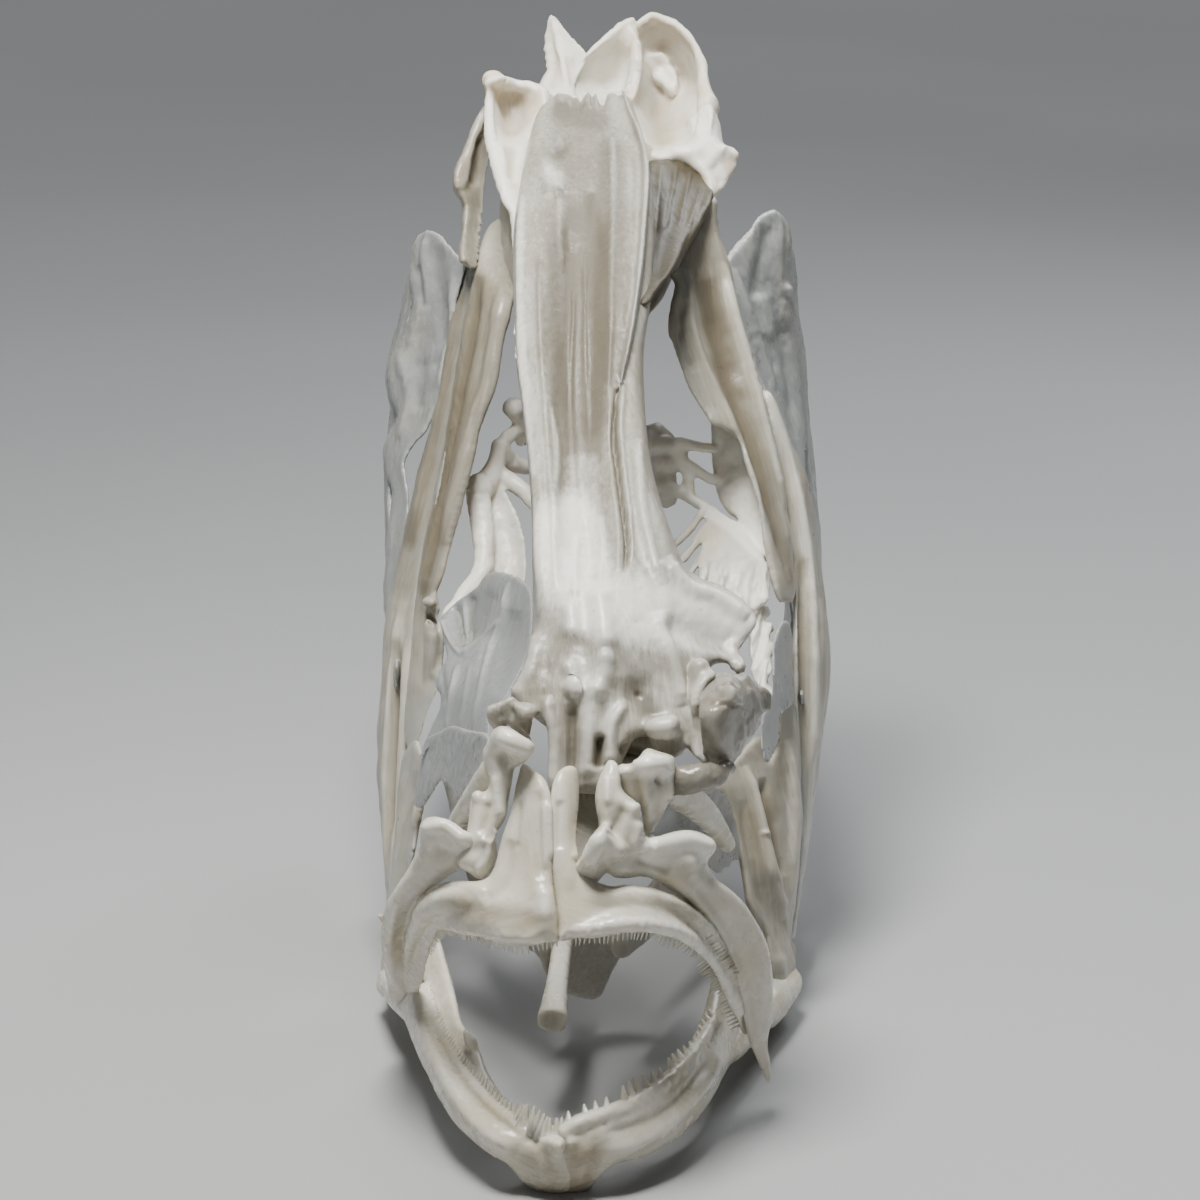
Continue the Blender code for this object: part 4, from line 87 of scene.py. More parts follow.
def curve(rows, n, dims=3):
    """n rows on a smooth curve through the given rows, by chord length of their first columns."""
    P = np.asarray(rows, float)
    m = len(P)
    step = np.maximum(np.linalg.norm(np.diff(P[:, :dims], axis=0), axis=1), 1e-3) ** 0.7
    t = np.concatenate([[0.0], np.cumsum(step)])
    if m == 2:
        s = np.linspace(0, 1, n)[:, None]
        return P[0] * (1 - s) + P[1] * s
    slope = np.diff(P, axis=0) / step[:, None]
    tan = np.empty_like(P)
    tan[1:-1] = (slope[:-1] * step[1:, None] + slope[1:] * step[:-1, None]) / (step[:-1] + step[1:])[:, None]
    tan[0], tan[-1] = slope[0], slope[-1]
    q = np.linspace(0, t[-1], n)
    i = np.clip(np.searchsorted(t, q, side="right") - 1, 0, m - 2)
    h = step[i][:, None]
    s = ((q - t[i]) / step[i])[:, None]
    a, b = P[i], P[i + 1]
    ta, tb = tan[i] * h, tan[i + 1] * h
    return ((2 * s**3 - 3 * s**2 + 1) * a + (s**3 - 2 * s**2 + s) * ta
            + (-2 * s**3 + 3 * s**2) * b + (s**3 - s**2) * tb)


def unit(v):
    return v / np.maximum(np.linalg.norm(v, axis=-1, keepdims=True), 1e-9)


def spread(value, n, count):
    """A scalar, or one value for each station, spread over n rings."""
    if np.ndim(value) == 0:
        return np.full(n, float(value))
    return np.interp(np.linspace(0, 1, n), np.linspace(0, 1, count), np.asarray(value, float))


class Shape:
    """Closed shells of one bone, gathered before they are fused."""

    def __init__(self):
        self.verts, self.faces, self.teeth = [], [], []

    def add(self, verts, faces):
        base = sum(len(v) for v in self.verts)
        self.verts.append(np.asarray(verts, float))
        self.faces += [tuple(base + i for i in f) for f in faces]

    def rings(self, C, A, B, sides=14, power=2.0, bow=0.0):
        """Loft of oval rings: centre C, half-width vector A, half-thickness vector B, rounded ends."""
        n = len(C)
        ends = np.linspace(0, math.pi / 2, 4)[:-1]
        first, last = C[0] - C[1], C[-1] - C[-2]
        verts = []
        power = spread(power, n, n) if np.ndim(power) else np.full(n, power)
        bow = spread(bow, n, n) if np.ndim(bow) else np.full(n, bow)
        ang = np.linspace(0, 2 * math.pi, sides, endpoint=False)
        cs, sn = np.cos(ang), np.sin(ang)
        rim = []

        def ring(c, a, b, p, w):
            x = np.sign(cs) * np.abs(cs) ** (2 / p)
            y = np.sign(sn) * np.abs(sn) ** (2 / p)
            nb = b / max(np.linalg.norm(b), 1e-9)
            return c + x[:, None] * a + y[:, None] * b + (w * (1 - x**2))[:, None] * nb

        def cap(i, d):
            out = []
            r = min(np.linalg.norm(A[i]), np.linalg.norm(B[i]))
            d = unit(d) * r
            for e in ends[1:]:
                f = math.cos(e)
                g = 1 - (1 - f) * min(1.0, r / max(np.linalg.norm(A[i]), 1e-9))
                out.append(ring(C[i] + d * math.sin(e), A[i] * g, B[i] * f, power[i], bow[i]))
            return out

        rows = cap(0, first)[::-1] + [ring(C[i], A[i], B[i], power[i], bow[i]) for i in range(n)] + cap(n - 1, last)
        m = len(rows)
        verts = np.concatenate(rows)
        faces = [(r * sides + j, r * sides + (j + 1) % sides, (r + 1) * sides + (j + 1) % sides, (r + 1) * sides + j)
                 for r in range(m - 1) for j in range(sides)]
        faces += [tuple(range(sides))[::-1], tuple((m - 1) * sides + j for j in range(sides))]
        self.add(verts, faces)

    def tube(self, path, wide, deep=None, sides=14, power=2.0, n=None, toward=None):
        """Rod along a path: half-width across the front view, half-depth along it."""
        P = np.array([pt(p) for p in path])
        n = n or max(8, 6 * len(P))
        C = curve(P, n)
        wide = spread(wide, n, len(P))
        deep = wide if deep is None else spread(deep, n, len(P))
        T = unit(np.gradient(C, axis=0))
        S = SIGHT if toward is None else np.asarray(toward, float)
        A = unit(np.cross(T, S))
        B = unit(np.cross(A, T))
        self.rings(C, A * wide[:, None], B * deep[:, None], sides, power)

    def blade(self, one, two, thick, bow=0.0, power=2.0, n=None, sides=18):
        """Lens-section plate between two edges; bow swells its middle toward the rear."""
        one = np.array([pt(p) for p in one])
        two = np.array([pt(p) for p in two])
        n = n or max(10, 6 * max(len(one), len(two)))
        E, G = curve(one, n), curve(two, n)
        C = (E + G) / 2
        A = (G - E) / 2
        T = unit(np.gradient(C, axis=0))
        N = unit(np.cross(A, T))
        N = N * np.sign((N @ SIGHT).sum() + 1e-9)
        th = spread(thick, n, len(thick) if np.ndim(thick) else 2) / 2
        bw = spread(bow, n, len(bow) if np.ndim(bow) else 2)
        self.rings(C, A, N * th[:, None], sides, power, bw)

    def slab(self, rows, n=None, sides=20, power=2.4):
        """Body whose rows are (v, left, right, y of the front surface, depth)."""
        rows = np.asarray(rows, float)
        n = n or 6 * len(rows)
        one = np.array([at(r[1], r[0], r[3]) for r in rows])
        two = np.array([at(r[2], r[0], r[3]) for r in rows])
        deep = np.asarray(rows[:, 4])
        both = curve(np.hstack([(one + two) / 2, (two - one) / 2, deep[:, None]]), n)
        C, A, D = both[:, :3], both[:, 3:6], both[:, 6]
        T = unit(np.gradient(C, axis=0))
        N = unit(np.cross(A, T))
        N = N * np.sign(N @ SIGHT + 1e-9)[:, None]
        C = C + N * D[:, None] / 2
        self.rings(C, A, N * D[:, None] / 2, sides, power)

    def sheet(self, rows, thick, nu=None, nv=None):
        """Thin curved plate through a grid of points; rows all have the same number of points."""
        G = np.array([[pt(p) for p in row] for row in rows])
        nu = nu or 6 * G.shape[0]
        nv = nv or 6 * G.shape[1]
        G = np.array([curve(row, nv) for row in G])
        G = np.stack([curve(G[:, j], nu) for j in range(nv)], axis=1)
        du, dv = np.gradient(G, axis=0), np.gradient(G, axis=1)
        N = unit(np.cross(du, dv))
        half = thick / 2
        i = np.minimum(np.arange(nu), np.arange(nu)[::-1])[:, None]
        j = np.minimum(np.arange(nv), np.arange(nv)[::-1])[None, :]
        edge = np.clip(np.minimum(i, j) / 2.0, 0.45, 1.0)[..., None]
        top, low = G + N * half * edge, G - N * half * edge
        verts = np.concatenate([top.reshape(-1, 3), low.reshape(-1, 3)])
        off = nu * nv
        q = lambda a, b: a * nv + b
        faces = []
        for a in range(nu - 1):
            for b in range(nv - 1):
                faces.append((q(a, b), q(a + 1, b), q(a + 1, b + 1), q(a, b + 1)))
                faces.append((off + q(a, b), off + q(a, b + 1), off + q(a + 1, b + 1), off + q(a + 1, b)))
        for a in range(nu - 1):
            faces.append((q(a, 0), off + q(a, 0), off + q(a + 1, 0), q(a + 1, 0)))
            faces.append((q(a, nv - 1), q(a + 1, nv - 1), off + q(a + 1, nv - 1), off + q(a, nv - 1)))
        for b in range(nv - 1):
            faces.append((q(0, b), q(0, b + 1), off + q(0, b + 1), off + q(0, b)))
            faces.append((q(nu - 1, b), off + q(nu - 1, b), off + q(nu - 1, b + 1), q(nu - 1, b + 1)))
        self.add(verts, faces)

    def lump(self, p, r, segments=16, rings=10):
        """Ellipsoid with world radii r about a point."""
        c = pt(p)
        r = np.full(3, float(r)) if np.ndim(r) == 0 else np.asarray(r, float)
        bm = bmesh.new()
        bmesh.ops.create_uvsphere(bm, u_segments=segments, v_segments=rings, radius=1.0)
        verts = np.array([v.co[:] for v in bm.verts]) * r + c
        faces = [tuple(v.index for v in f.verts) for f in bm.faces]
        bm.free()
        self.add(verts, faces)

    def cone(self, root, tip, r, sides=6, levels=((0.55, 0.62), (0.93, 0.22))):
        """Tooth: a slender cone from its root to its tip."""
        root, tip = np.asarray(root, float), np.asarray(tip, float)
        axis = unit(tip - root)
        side = unit(np.cross(axis, [0.0, 1.0, 0.3]))
        other = np.cross(axis, side)
        ang = np.linspace(0, 2 * math.pi, sides, endpoint=False)
        rim = np.cos(ang)[:, None] * side + np.sin(ang)[:, None] * other
        rows = [root + rim * r] + [root + (tip - root) * f + rim * r * g for f, g in levels]
        verts = np.concatenate(rows + [[tip]])
        m = len(rows)
        faces = [tuple(range(sides))[::-1]]
        for k in range(m - 1):
            faces += [(k * sides + j, k * sides + (j + 1) % sides, (k + 1) * sides + (j + 1) % sides, (k + 1) * sides + j) for j in range(sides)]
        faces += [((m - 1) * sides + j, (m - 1) * sides + (j + 1) % sides, m * sides) for j in range(sides)]
        self.add(verts, faces)


def mesh_of(name, shape):
    mesh = bpy.data.meshes.new(name)
    mesh.from_pydata((np.concatenate(shape.verts) * MM).tolist(), [], shape.faces)
    bm = bmesh.new()
    bm.from_mesh(mesh)
    bmesh.ops.recalc_face_normals(bm, faces=bm.faces)
    bm.to_mesh(mesh)
    bm.free()
    return mesh


def settled(obj, name):
    """The object's mesh with its modifiers applied."""
    bpy.context.view_layer.update()
    graph = bpy.context.evaluated_depsgraph_get()
    mesh = bpy.data.meshes.new_from_object(obj.evaluated_get(graph))
    mesh.name = name
    obj.modifiers.clear()
    old = obj.data
    obj.data = mesh
    bpy.data.meshes.remove(old)
    return mesh

# ---------------------------------------------------------------- outline plates
BLUNT = 0.42                     # thickness left at a plate's edge, mm


def surface_through(points):
    """Smooth function of front-view place that passes near a few (column, row, value) points."""
    Q = np.asarray(points, float)
    if Q.ndim == 0:
        return lambda u, v: np.full(np.shape(u), float(Q))
    c, z = Q[:, :2] / 100.0, Q[:, 2]
    n = len(Q)
    if n < 3:
        return lambda u, v: np.full(np.shape(u), z.mean())

    def r2log(d2):
        return 0.5 * d2 * np.log(np.maximum(d2, 1e-12))

    K = r2log(((c[:, None] - c[None]) ** 2).sum(-1)) + 1e-4 * np.eye(n)
    L = np.hstack([np.ones((n, 1)), c])
    M = np.block([[K, L], [L.T, np.zeros((3, 3))]])
    w = np.linalg.lstsq(M, np.concatenate([z, np.zeros(3)]), rcond=None)[0]

    def value(u, v):
        q = np.stack([np.ravel(u), np.ravel(v)], axis=1) / 100.0
        out = w[n] + q @ w[n + 1:]
        out = out + r2log(((q[:, None] - c[None]) ** 2).sum(-1)) @ w[:n]
        return np.clip(out, z.min() - 3, z.max() + 3).reshape(np.shape(u))

    return value


def loop_of(outline, smooth):
    P = np.asarray(outline, float)[:, :2]
    if not smooth:
        return P
    n = len(P)
    wrapped = np.concatenate([P[-2:], P, P[:3]])
    step = np.linalg.norm(np.diff(wrapped, axis=0), axis=1)
    out = []
    for i in range(2, n + 2):
        a, b, c, d = wrapped[i - 1], wrapped[i], wrapped[i + 1], wrapped[i + 2]
        k = max(2, int(round(step[i] / 3.0)))
        t = np.linspace(0, 1, k, endpoint=False)[:, None]
        ta, tb = (c - a) * 0.5, (d - b) * 0.5
        lim = max(step[i], 1e-6)
        ta *= min(1.0, lim / max(np.linalg.norm(ta), 1e-6))
        tb *= min(1.0, lim / max(np.linalg.norm(tb), 1e-6))
        out.append((2 * t**3 - 3 * t**2 + 1) * b + (t**3 - 2 * t**2 + t) * ta + (-2 * t**3 + 3 * t**2) * c + (t**3 - t**2) * tb)
    return np.concatenate(out)


def grown(L, by):
    """A loop moved outward by a number of front-view units."""
    if not by:
        return L
    d = unit(np.roll(L, -1, axis=0) - np.roll(L, 1, axis=0))
    n = np.stack([d[:, 1], -d[:, 0]], axis=1)
    x, y = L[:, 0], L[:, 1]
    area = (x * np.roll(y, -1) - np.roll(x, -1) * y).sum()
    return L + n * by * np.sign(area)


def edge_distance(q, loops):
    d = np.full(len(q), 1e9)
    for L in loops:
        for a, b in zip(L, np.roll(L, -1, axis=0)):
            e = b - a
            t = np.clip(((q - a) @ e) / max(e @ e, 1e-9), 0, 1)
            d = np.minimum(d, np.linalg.norm(q - a - t[:, None] * e, axis=1))
    return d


def inside(q, L):
    x, y = q[:, 0], q[:, 1]
    odd = np.zeros(len(q), bool)
    for a, b in zip(L, np.roll(L, -1, axis=0)):
        if a[1] == b[1]:
            continue
        hit = ((a[1] > y) != (b[1] > y)) & (x < (b[0] - a[0]) * (y - a[1]) / (b[1] - a[1]) + a[0])
        odd ^= hit
    return odd


def plate(shape, outline, depth, thick, rim=None, holes=(), smooth=True, step=3.0, front=0.5, grow=1.0):
    """Closed body with a free outline in the front view. depth gives its middle (mm behind the joints), thick its
    thickness (mm); its edge is rounded over rim units, and front is the share of the thickness in front of the middle."""
    loops = [grown(loop_of(outline, smooth), grow)] + [loop_of(h, smooth) for h in holes]
    D, T = surface_through(depth), surface_through(thick)
    lo, hi = loops[0].min(0), loops[0].max(0)
    rows = []
    for j, y in enumerate(np.arange(lo[1], hi[1], step * 0.866)):
        xs = np.arange(lo[0] + (step / 2 if j % 2 else 0), hi[0], step)
        rows.append(np.stack([xs, np.full(len(xs), y)], axis=1))
    grid = np.concatenate(rows)
    keep = inside(grid, loops[0])
    for h in loops[1:]:
        keep &= ~inside(grid, h)
    grid = grid[keep]
    grid = grid[edge_distance(grid, loops) > step * 0.45]
    edges, base, pts = [], 0, []
    for L in loops:
        m = len(L)
        pts.append(L)
        edges += [(base + i, base + (i + 1) % m) for i in range(m)]
        base += m
    pts = np.concatenate(pts + [grid])
    out = mathutils.geometry.delaunay_2d_cdt([Vector(p) for p in pts], edges, [], 0, 1e-5)
    q = np.array([v[:] for v in out[0]])
    tris = np.array([f for f in out[2] if len(f) == 3])
    mid = q[tris].mean(1)
    ok = inside(mid, loops[0])
    for h in loops[1:]:
        ok &= ~inside(mid, h)
    tris = tris[ok]
    used = np.unique(tris)
    remap = np.full(len(q), -1)
    remap[used] = np.arange(len(used))
    q, tris = q[used], remap[tris]
    d = edge_distance(q, loops)
    t = np.maximum(T(q[:, 0], q[:, 1]), 0.2)
    rim_units = rim if rim is not None else np.minimum(t / 2 / UNIT, 14.0)
    f = np.clip(d / np.maximum(rim_units, 1e-6), 0, 1)
    f = np.sqrt(np.clip(1 - (1 - f) ** 2, 0, 1))
    blunt = np.minimum(0.5, BLUNT / t)
    f = blunt + (1 - blunt) * f
    y = D(q[:, 0], q[:, 1])
    P = np.array([at(a, b, c) for (a, b), c in zip(q, y)])
    back = P + SIGHT * (t * (1 - front) * f)[:, None]
    face = P - SIGHT * (t * front * f)[:, None]
    n = len(q)
    ends = np.sort(np.concatenate([tris[:, [0, 1]], tris[:, [1, 2]], tris[:, [2, 0]]]), axis=1)
    flow = np.concatenate([tris[:, [0, 1]], tris[:, [1, 2]], tris[:, [2, 0]]])
    _, first, times = np.unique(ends, axis=0, return_index=True, return_counts=True)
    rim_edges = flow[first[times == 1]]
    faces = [tuple(t3) for t3 in tris.tolist()] + [tuple((t3 + n)[::-1]) for t3 in tris]
    faces += [(int(j), int(i), int(i) + n, int(j) + n) for i, j in rim_edges]
    shape.add(np.concatenate([face, back]), faces)


def plate_of(self, outline, depth, thick, rim, smooth=True, grow=1.0):
    plate(self, outline, depth, thick, rim=rim, smooth=smooth, grow=grow)


Shape.plate_of = plate_of

# ---------------------------------------------------------------- depth tables (front-view row -> mm behind the joints)
ROOF = [(800, -33), (770, -32.5), (690, -29), (600, -24), (500, -14), (400, -3.5), (300, 7), (200, 20.5), (100, 40), (15, 56)]
BAR = [(985, 0), (975, 0), (800, 9), (600, 17), (400, 25), (270, 31), (200, 34)]


def yr(v, d=0.0):
    return along(ROOF, v) + d


def yb(v, d=0.0):
    return along(BAR, v) + d


def line(points, depth, d=0.0):
    """Front-view points whose depth is read off a table."""
    return [(u, v, along(depth, v) + d) for u, v in points]


BONES = {}


def bone(name, look, tris):
    shape = Shape()
    BONES[name] = (shape, look, tris)
    return shape


# ================================================================ skull roof and braincase
def frontoethmoid():
    s = bone("frontoethmoid", "roof", 1120)
    rim = [(545, 98), (536, 118), (528, 148), (521, 185), (515, 225), (514, 270), (515, 320), (517, 362), (522, 400), (528, 450), (532, 505), (533, 560), (534, 605), (532, 636),
           (526, 658), (520, 677), (512, 692), (516, 706), (530, 714), (541, 722), (549, 729), (551, 745), (551, 770), (552, 796), (561, 797), (565, 793), (571, 788), (575, 790),
           (577, 792), (603, 792), (617, 776), (621, 762), (627, 750), (634, 738), (650, 736), (664, 741), (680, 737), (687, 746), (695, 755), (706, 762), (704, 748),
           (700, 726), (697, 704), (698, 688), (703, 674), (713, 664), (724, 662), (735, 666), (744, 670), (740, 660), (737, 652), (748, 636), (756, 621), (746, 604), (731, 592), (716, 584),
           (700, 579), (684, 566), (677, 551), (665, 517), (656, 488), (648, 450), (644, 404), (643, 352), (650, 300), (654, 250), (653, 205), (648, 165), (642, 135), (634, 112), (628, 97),
           (618, 101), (611, 96), (602, 103), (592, 96), (580, 101), (566, 97)]
    body = [(580, 100, 43), (580, 200, 23.6), (580, 300, 10), (580, 400, 0), (585, 500, -10.4), (590, 580, -18.6), (590, 640, -23.4), (590, 690, -26.6), (590, 730, -29), (590, 790, -31.4),
            (535, 640, -22), (520, 690, -26), (650, 640, -22.6), (690, 600, -18), (740, 615, -18.6), (730, 655, -22), (700, 690, -25), (702, 750, -29.2), (650, 720, -27.6), (530, 300, 11.5),
            (645, 300, 11.5), (525, 200, 25), (645, 200, 25), (555, 750, -30), (620, 755, -30.2)]
    thick = [(580, 100, 5), (580, 200, 6.4), (580, 400, 6), (585, 560, 7), (590, 640, 7.5), (590, 700, 5.5), (690, 600, 6.0), (745, 620, 2.2), (735, 658, 1.8), (704, 755, 1.2), (700, 700, 3.0),
             (650, 690, 5.5), (555, 770, 1.8), (590, 780, 3.2), (620, 755, 2.8), (520, 695, 3.5), (665, 735, 3.5)]
    plate(s, rim, body, thick, rim=13, front=0.5)
    # sharp crest down the blind side of the roof, frayed at its upper end
    s.tube(line([(624, 96), (631, 115), (640, 137), (645.5, 163), (643.5, 224), (638.5, 281), (630, 337), (620, 384)], ROOF, 0.2),
           [0.22, 0.28, 0.34, 0.36, 0.34, 0.3, 0.26, 0.2], [0.8, 1.1, 1.4, 1.5, 1.4, 1.2, 1.0, 0.6])
    # knuckles above the pillars
    s.lump((527, 711, -30.8), [0.95, 1.0, 0.72])
    s.plate_of([(514, 706), (521, 703), (530, 704), (535, 709), (534, 716), (527, 720), (518, 717)], -30.2, 2.4, 7)
    s.plate_of([(652, 722), (658, 717), (668, 718), (677, 724), (682, 731), (680, 738), (668, 740), (656, 738), (651, 731)], -30.0, 3.2, 8)
    s.lump((606, 662, -27.2), [1.4, 1.2, 1.3])
    s.lump((571, 690, -29.0), [0.8, 0.9, 0.8])
    # dried cartilage under the knuckles
    s.plate_of([(489, 707), (500, 703), (511, 697), (518, 704), (515, 714), (508, 722), (503, 729), (494, 728), (488, 718)], -29.6, 1.6, 4)
    s.plate_of([(512, 716), (522, 719), (531, 721), (530, 730), (527, 739), (518, 736), (511, 727)], -30.2, 1.1, 3)
    s.tube([(522, 727, -31), (527, 733, -31.2), (531, 741, -31.4)], 0.16)
    s.plate_of([(651, 735), (663, 740), (680, 737), (685, 742), (683, 752), (674, 757), (661, 753), (652, 745)], -29.8, 1.3, 4)
    # vomer behind the pillars
    s.slab([(745, 556, 664, -28.0, 4.0), (775, 556, 648, -29.5, 4.5), (800, 553, 634, -30.5, 4.0), (840, 556, 612, -32.0, 4.0), (874, 562, 600, -33.6, 3.0)])
    s.tube([(700, 668, -26), (699, 700, -27.4), (703, 740, -29), (706, 762, -29.8)], [0.9, 0.8, 0.6, 0.3], [1.4, 1.2, 0.9, 0.5])


def parasphenoid():
    s = bone("parasphenoid", "bone", 90)
    s.tube([("w", 0.5, -20.5, 36.3), ("w", 0.2, -10, 39.6), ("w", -0.2, 2, 43.6), ("w", -0.8, 16, 48.6), ("w", -1.0, 30, 53.4), ("w", -1.0, 46, 58.4)],
           [2.6, 1.5, 1.3, 1.6, 2.3, 2.4], [1.4, 1.2, 1.1, 1.1, 1.0, 1.0], toward=(0, 0.0, -1.0))


def braincase():
    s = bone("braincase", "bone", 360)
    rings = [  # y, x, z, half-width, half-height
        (13.5, -1.5, 61.5, 2.6, 5.0), (20, -1.8, 64.0, 4.8, 6.6), (28, -1.8, 67.0, 7.0, 8.6), (37, -1.4, 70.0, 8.6, 9.6),
        (45, -1.2, 70.4, 7.6, 8.6), (51, -1.2, 67.6, 4.6, 5.6), (56.5, -1.2, 66.0, 3.2, 3.6), (58.5, -1.2, 66.0, 3.0, 3.4)]
    R = curve(rings, 34, dims=1)
    C = R[:, [1, 0, 2]] - (ASIDE, AHEAD, 0.0)
    A = np.stack([R[:, 3], 0 * R[:, 3], 0 * R[:, 3]], axis=1)
    B = np.stack([0 * R[:, 4], 0 * R[:, 4], R[:, 4]], axis=1)
    s.rings(C, A, B, sides=24, power=2.3)
    # roof shelf that joins the crown to the ear region on each side
    s.slab([(112, 536, 690, 58, 4), (140, 524, 690, 51, 5), (180, 518, 690, 42, 7), (222, 522, 682, 34, 8), (262, 526, 662, 28, 7)], sides=24)


def supraoccipital():
    s = bone("supraoccipital", "bright", 110)
    edge = [(551, 15), (557, 19), (562, 27), (568, 34), (576, 42), (586, 55), (583, 66), (577, 77), (574, 88), (578, 98), (584, 105), (572, 108), (560, 108), (546, 108), (534, 112), (537, 98),
            (540, 85), (545, 75), (549, 69), (546, 66), (548, 62), (545, 58), (547, 54), (544, 50), (546, 45), (545, 38), (547, 30), (548, 22)]
    s.plate_of(edge, [(551, 16, 57), (552, 50, 53), (575, 50, 51), (560, 90, 46), (535, 106, 43.4), (582, 104, 43.6)], [(551, 16, 0.7), (560, 50, 1.4), (560, 100, 3.2), (575, 60, 1.2)], 9)
    s.tube([(572, 108, 43.4), (570, 94, 45.2), (567, 76, 47.4), (560, 50, 51.6), (553, 22, 56)], [0.7, 0.55, 0.5, 0.45, 0.3], [1.0, 0.9, 0.8, 0.7, 0.4])
    s.tube([(552, 108, 48), (585, 108, 48.5), (616, 104, 49)], [1.4, 1.5, 1.3], [2.4, 2.6, 2.2])


def otic_ocular():
    s = bone("otic_ocular", "bright", 240)
    edge = [(486, 92), (484, 84), (487, 78), (491, 74), (498, 73), (504, 78), (513, 82), (527, 84), (541, 85), (549, 92), (548, 112), (538, 130), (530, 145), (527, 165), (526, 190), (525, 215),
            (524, 240), (523, 270), (522, 300), (520, 335), (517, 360), (515, 340), (515, 300), (514, 262), (511, 218), (506, 202), (500, 185), (495, 168), (491, 150), (488, 135), (488, 120), (488, 105)]
    s.plate_of(edge, [(488, 82, 40.5), (538, 86, 42.6), (512, 112, 43.2), (490, 118, 37), (492, 150, 33.4), (530, 118, 40.2), (514, 150, 34.6), (505, 190, 28.4), (516, 215, 24.6), (517, 262, 18.4), (518, 340, 6.6)],
               [(490, 84, 4.6), (538, 88, 3.6), (512, 112, 2.2), (490, 125, 4.2), (500, 170, 4.4), (510, 200, 3.4), (516, 262, 1.8), (517, 345, 0.9)], 12)
    s.lump((493, 81, 40.6), [1.2, 1.4, 1.1])
    s.tube([(516, 108, 48), (518, 130, 46), (522, 180, 40)], [2.2, 2.8, 2.2], [2.6, 3.4, 3.0])


def otic_blind():
    s = bone("otic_blind", "bright", 420)
    # open cup of two lobes behind the crown, its mouth turned forward
    left = [(586, 55), (596, 47), (607, 38), (618, 28), (626, 21), (631, 20), (634, 26), (637, 34), (640, 50), (640, 72), (636, 92), (628, 104), (614, 108), (598, 108), (584, 106), (577, 97), (573, 86), (577, 72), (581, 62)]
    s.plate_of(left, [(588, 57, 49.6), (612, 36, 52.4), (630, 23, 53.6), (600, 72, 53.0), (612, 88, 53.4), (628, 60, 53.0), (577, 92, 47.4), (600, 106, 46.4), (632, 96, 47.6), (638, 60, 50.8)],
               [(586, 56, 1.4), (604, 74, 1.1), (630, 24, 1.3), (600, 104, 2.4), (636, 70, 1.6)], 5)
    right = [(634, 27), (640, 24), (645, 20), (651, 15), (659, 18), (668, 21), (677, 25), (686, 33), (692, 40), (697, 48), (701, 58), (704, 71), (704, 88), (705, 100), (712, 112), (712, 130), (702, 146), (686, 156), (668, 160),
             (652, 160), (645, 150), (638, 132), (631, 116), (625, 104), (624, 94), (630, 80), (633, 62), (633, 45)]
    s.plate_of(right, [(636, 30, 53.4), (651, 18, 55.0), (678, 28, 54.4), (698, 52, 52.0), (704, 78, 49.2), (706, 110, 45.2), (700, 142, 41.4), (664, 158, 39.6), (648, 152, 40.6), (634, 70, 51.4), (628, 100, 46.6),
                       (664, 44, 57.6), (676, 70, 58.0), (660, 84, 57.6), (680, 100, 53.6), (655, 112, 52.0), (672, 128, 47.8), (645, 124, 46.2), (690, 84, 55.6)],
               [(651, 18, 1.3), (700, 60, 1.3), (668, 70, 1.2), (660, 110, 1.4), (708, 118, 3.6), (690, 148, 5.0), (650, 156, 3.4)], 5)
    # rolled lip round the cup
    s.tube([(634, 28, 53.6), (644, 21, 54.3), (651, 16.5, 54.9), (664, 20, 55), (678, 27, 54.3), (692, 42, 52.8), (702, 66, 50.2), (704, 90, 47.4), (708, 108, 45.4)],
           [0.3, 0.35, 0.4, 0.4, 0.45, 0.5, 0.6, 0.8, 1.2], [0.6, 0.6, 0.7, 0.7, 0.8, 0.8, 0.9, 1.2, 1.8])
    s.tube([(587, 57, 49.6), (604, 42, 51.6), (620, 28, 53), (631, 21.5, 53.7)], [0.4, 0.4, 0.4, 0.35], [0.7, 0.7, 0.7, 0.6])
    # crumbled ridge inside it
    s.plate_of([(641, 58), (647, 54), (655, 54), (661, 53), (668, 58), (672, 66), (676, 72), (679, 80), (678, 88), (672, 96), (667, 92), (662, 85), (655, 80), (650, 72), (643, 66)],
               [(646, 58, 56.2), (666, 60, 57.0), (676, 84, 55.2), (660, 74, 57.0)], [(650, 60, 3.4), (668, 66, 3.4), (674, 90, 3.4)], 5)
    # thick bright flank with the spur at its corner
    flank = [(703, 98), (709, 105), (714, 114), (718, 124), (720, 134), (722, 145), (728, 148), (734, 150), (736, 157), (735, 166), (730, 176), (721, 190), (712, 197), (706, 194), (702, 182), (690, 170), (676, 164),
             (660, 163), (650, 160), (650, 152), (664, 150), (678, 146), (690, 139), (697, 128), (700, 112)]
    s.plate_of(flank, [(704, 104, 46.0), (716, 128, 43.4), (700, 142, 41.6), (672, 156, 39.2), (652, 158, 38.8), (734, 157, 39.8), (722, 184, 36.6), (710, 190, 36.0), (708, 165, 38.6)],
               [(704, 104, 3.2), (712, 130, 5.4), (690, 152, 5.6), (655, 157, 3.4), (733, 156, 2.0), (718, 188, 2.4), (710, 165, 4.6)], 13)


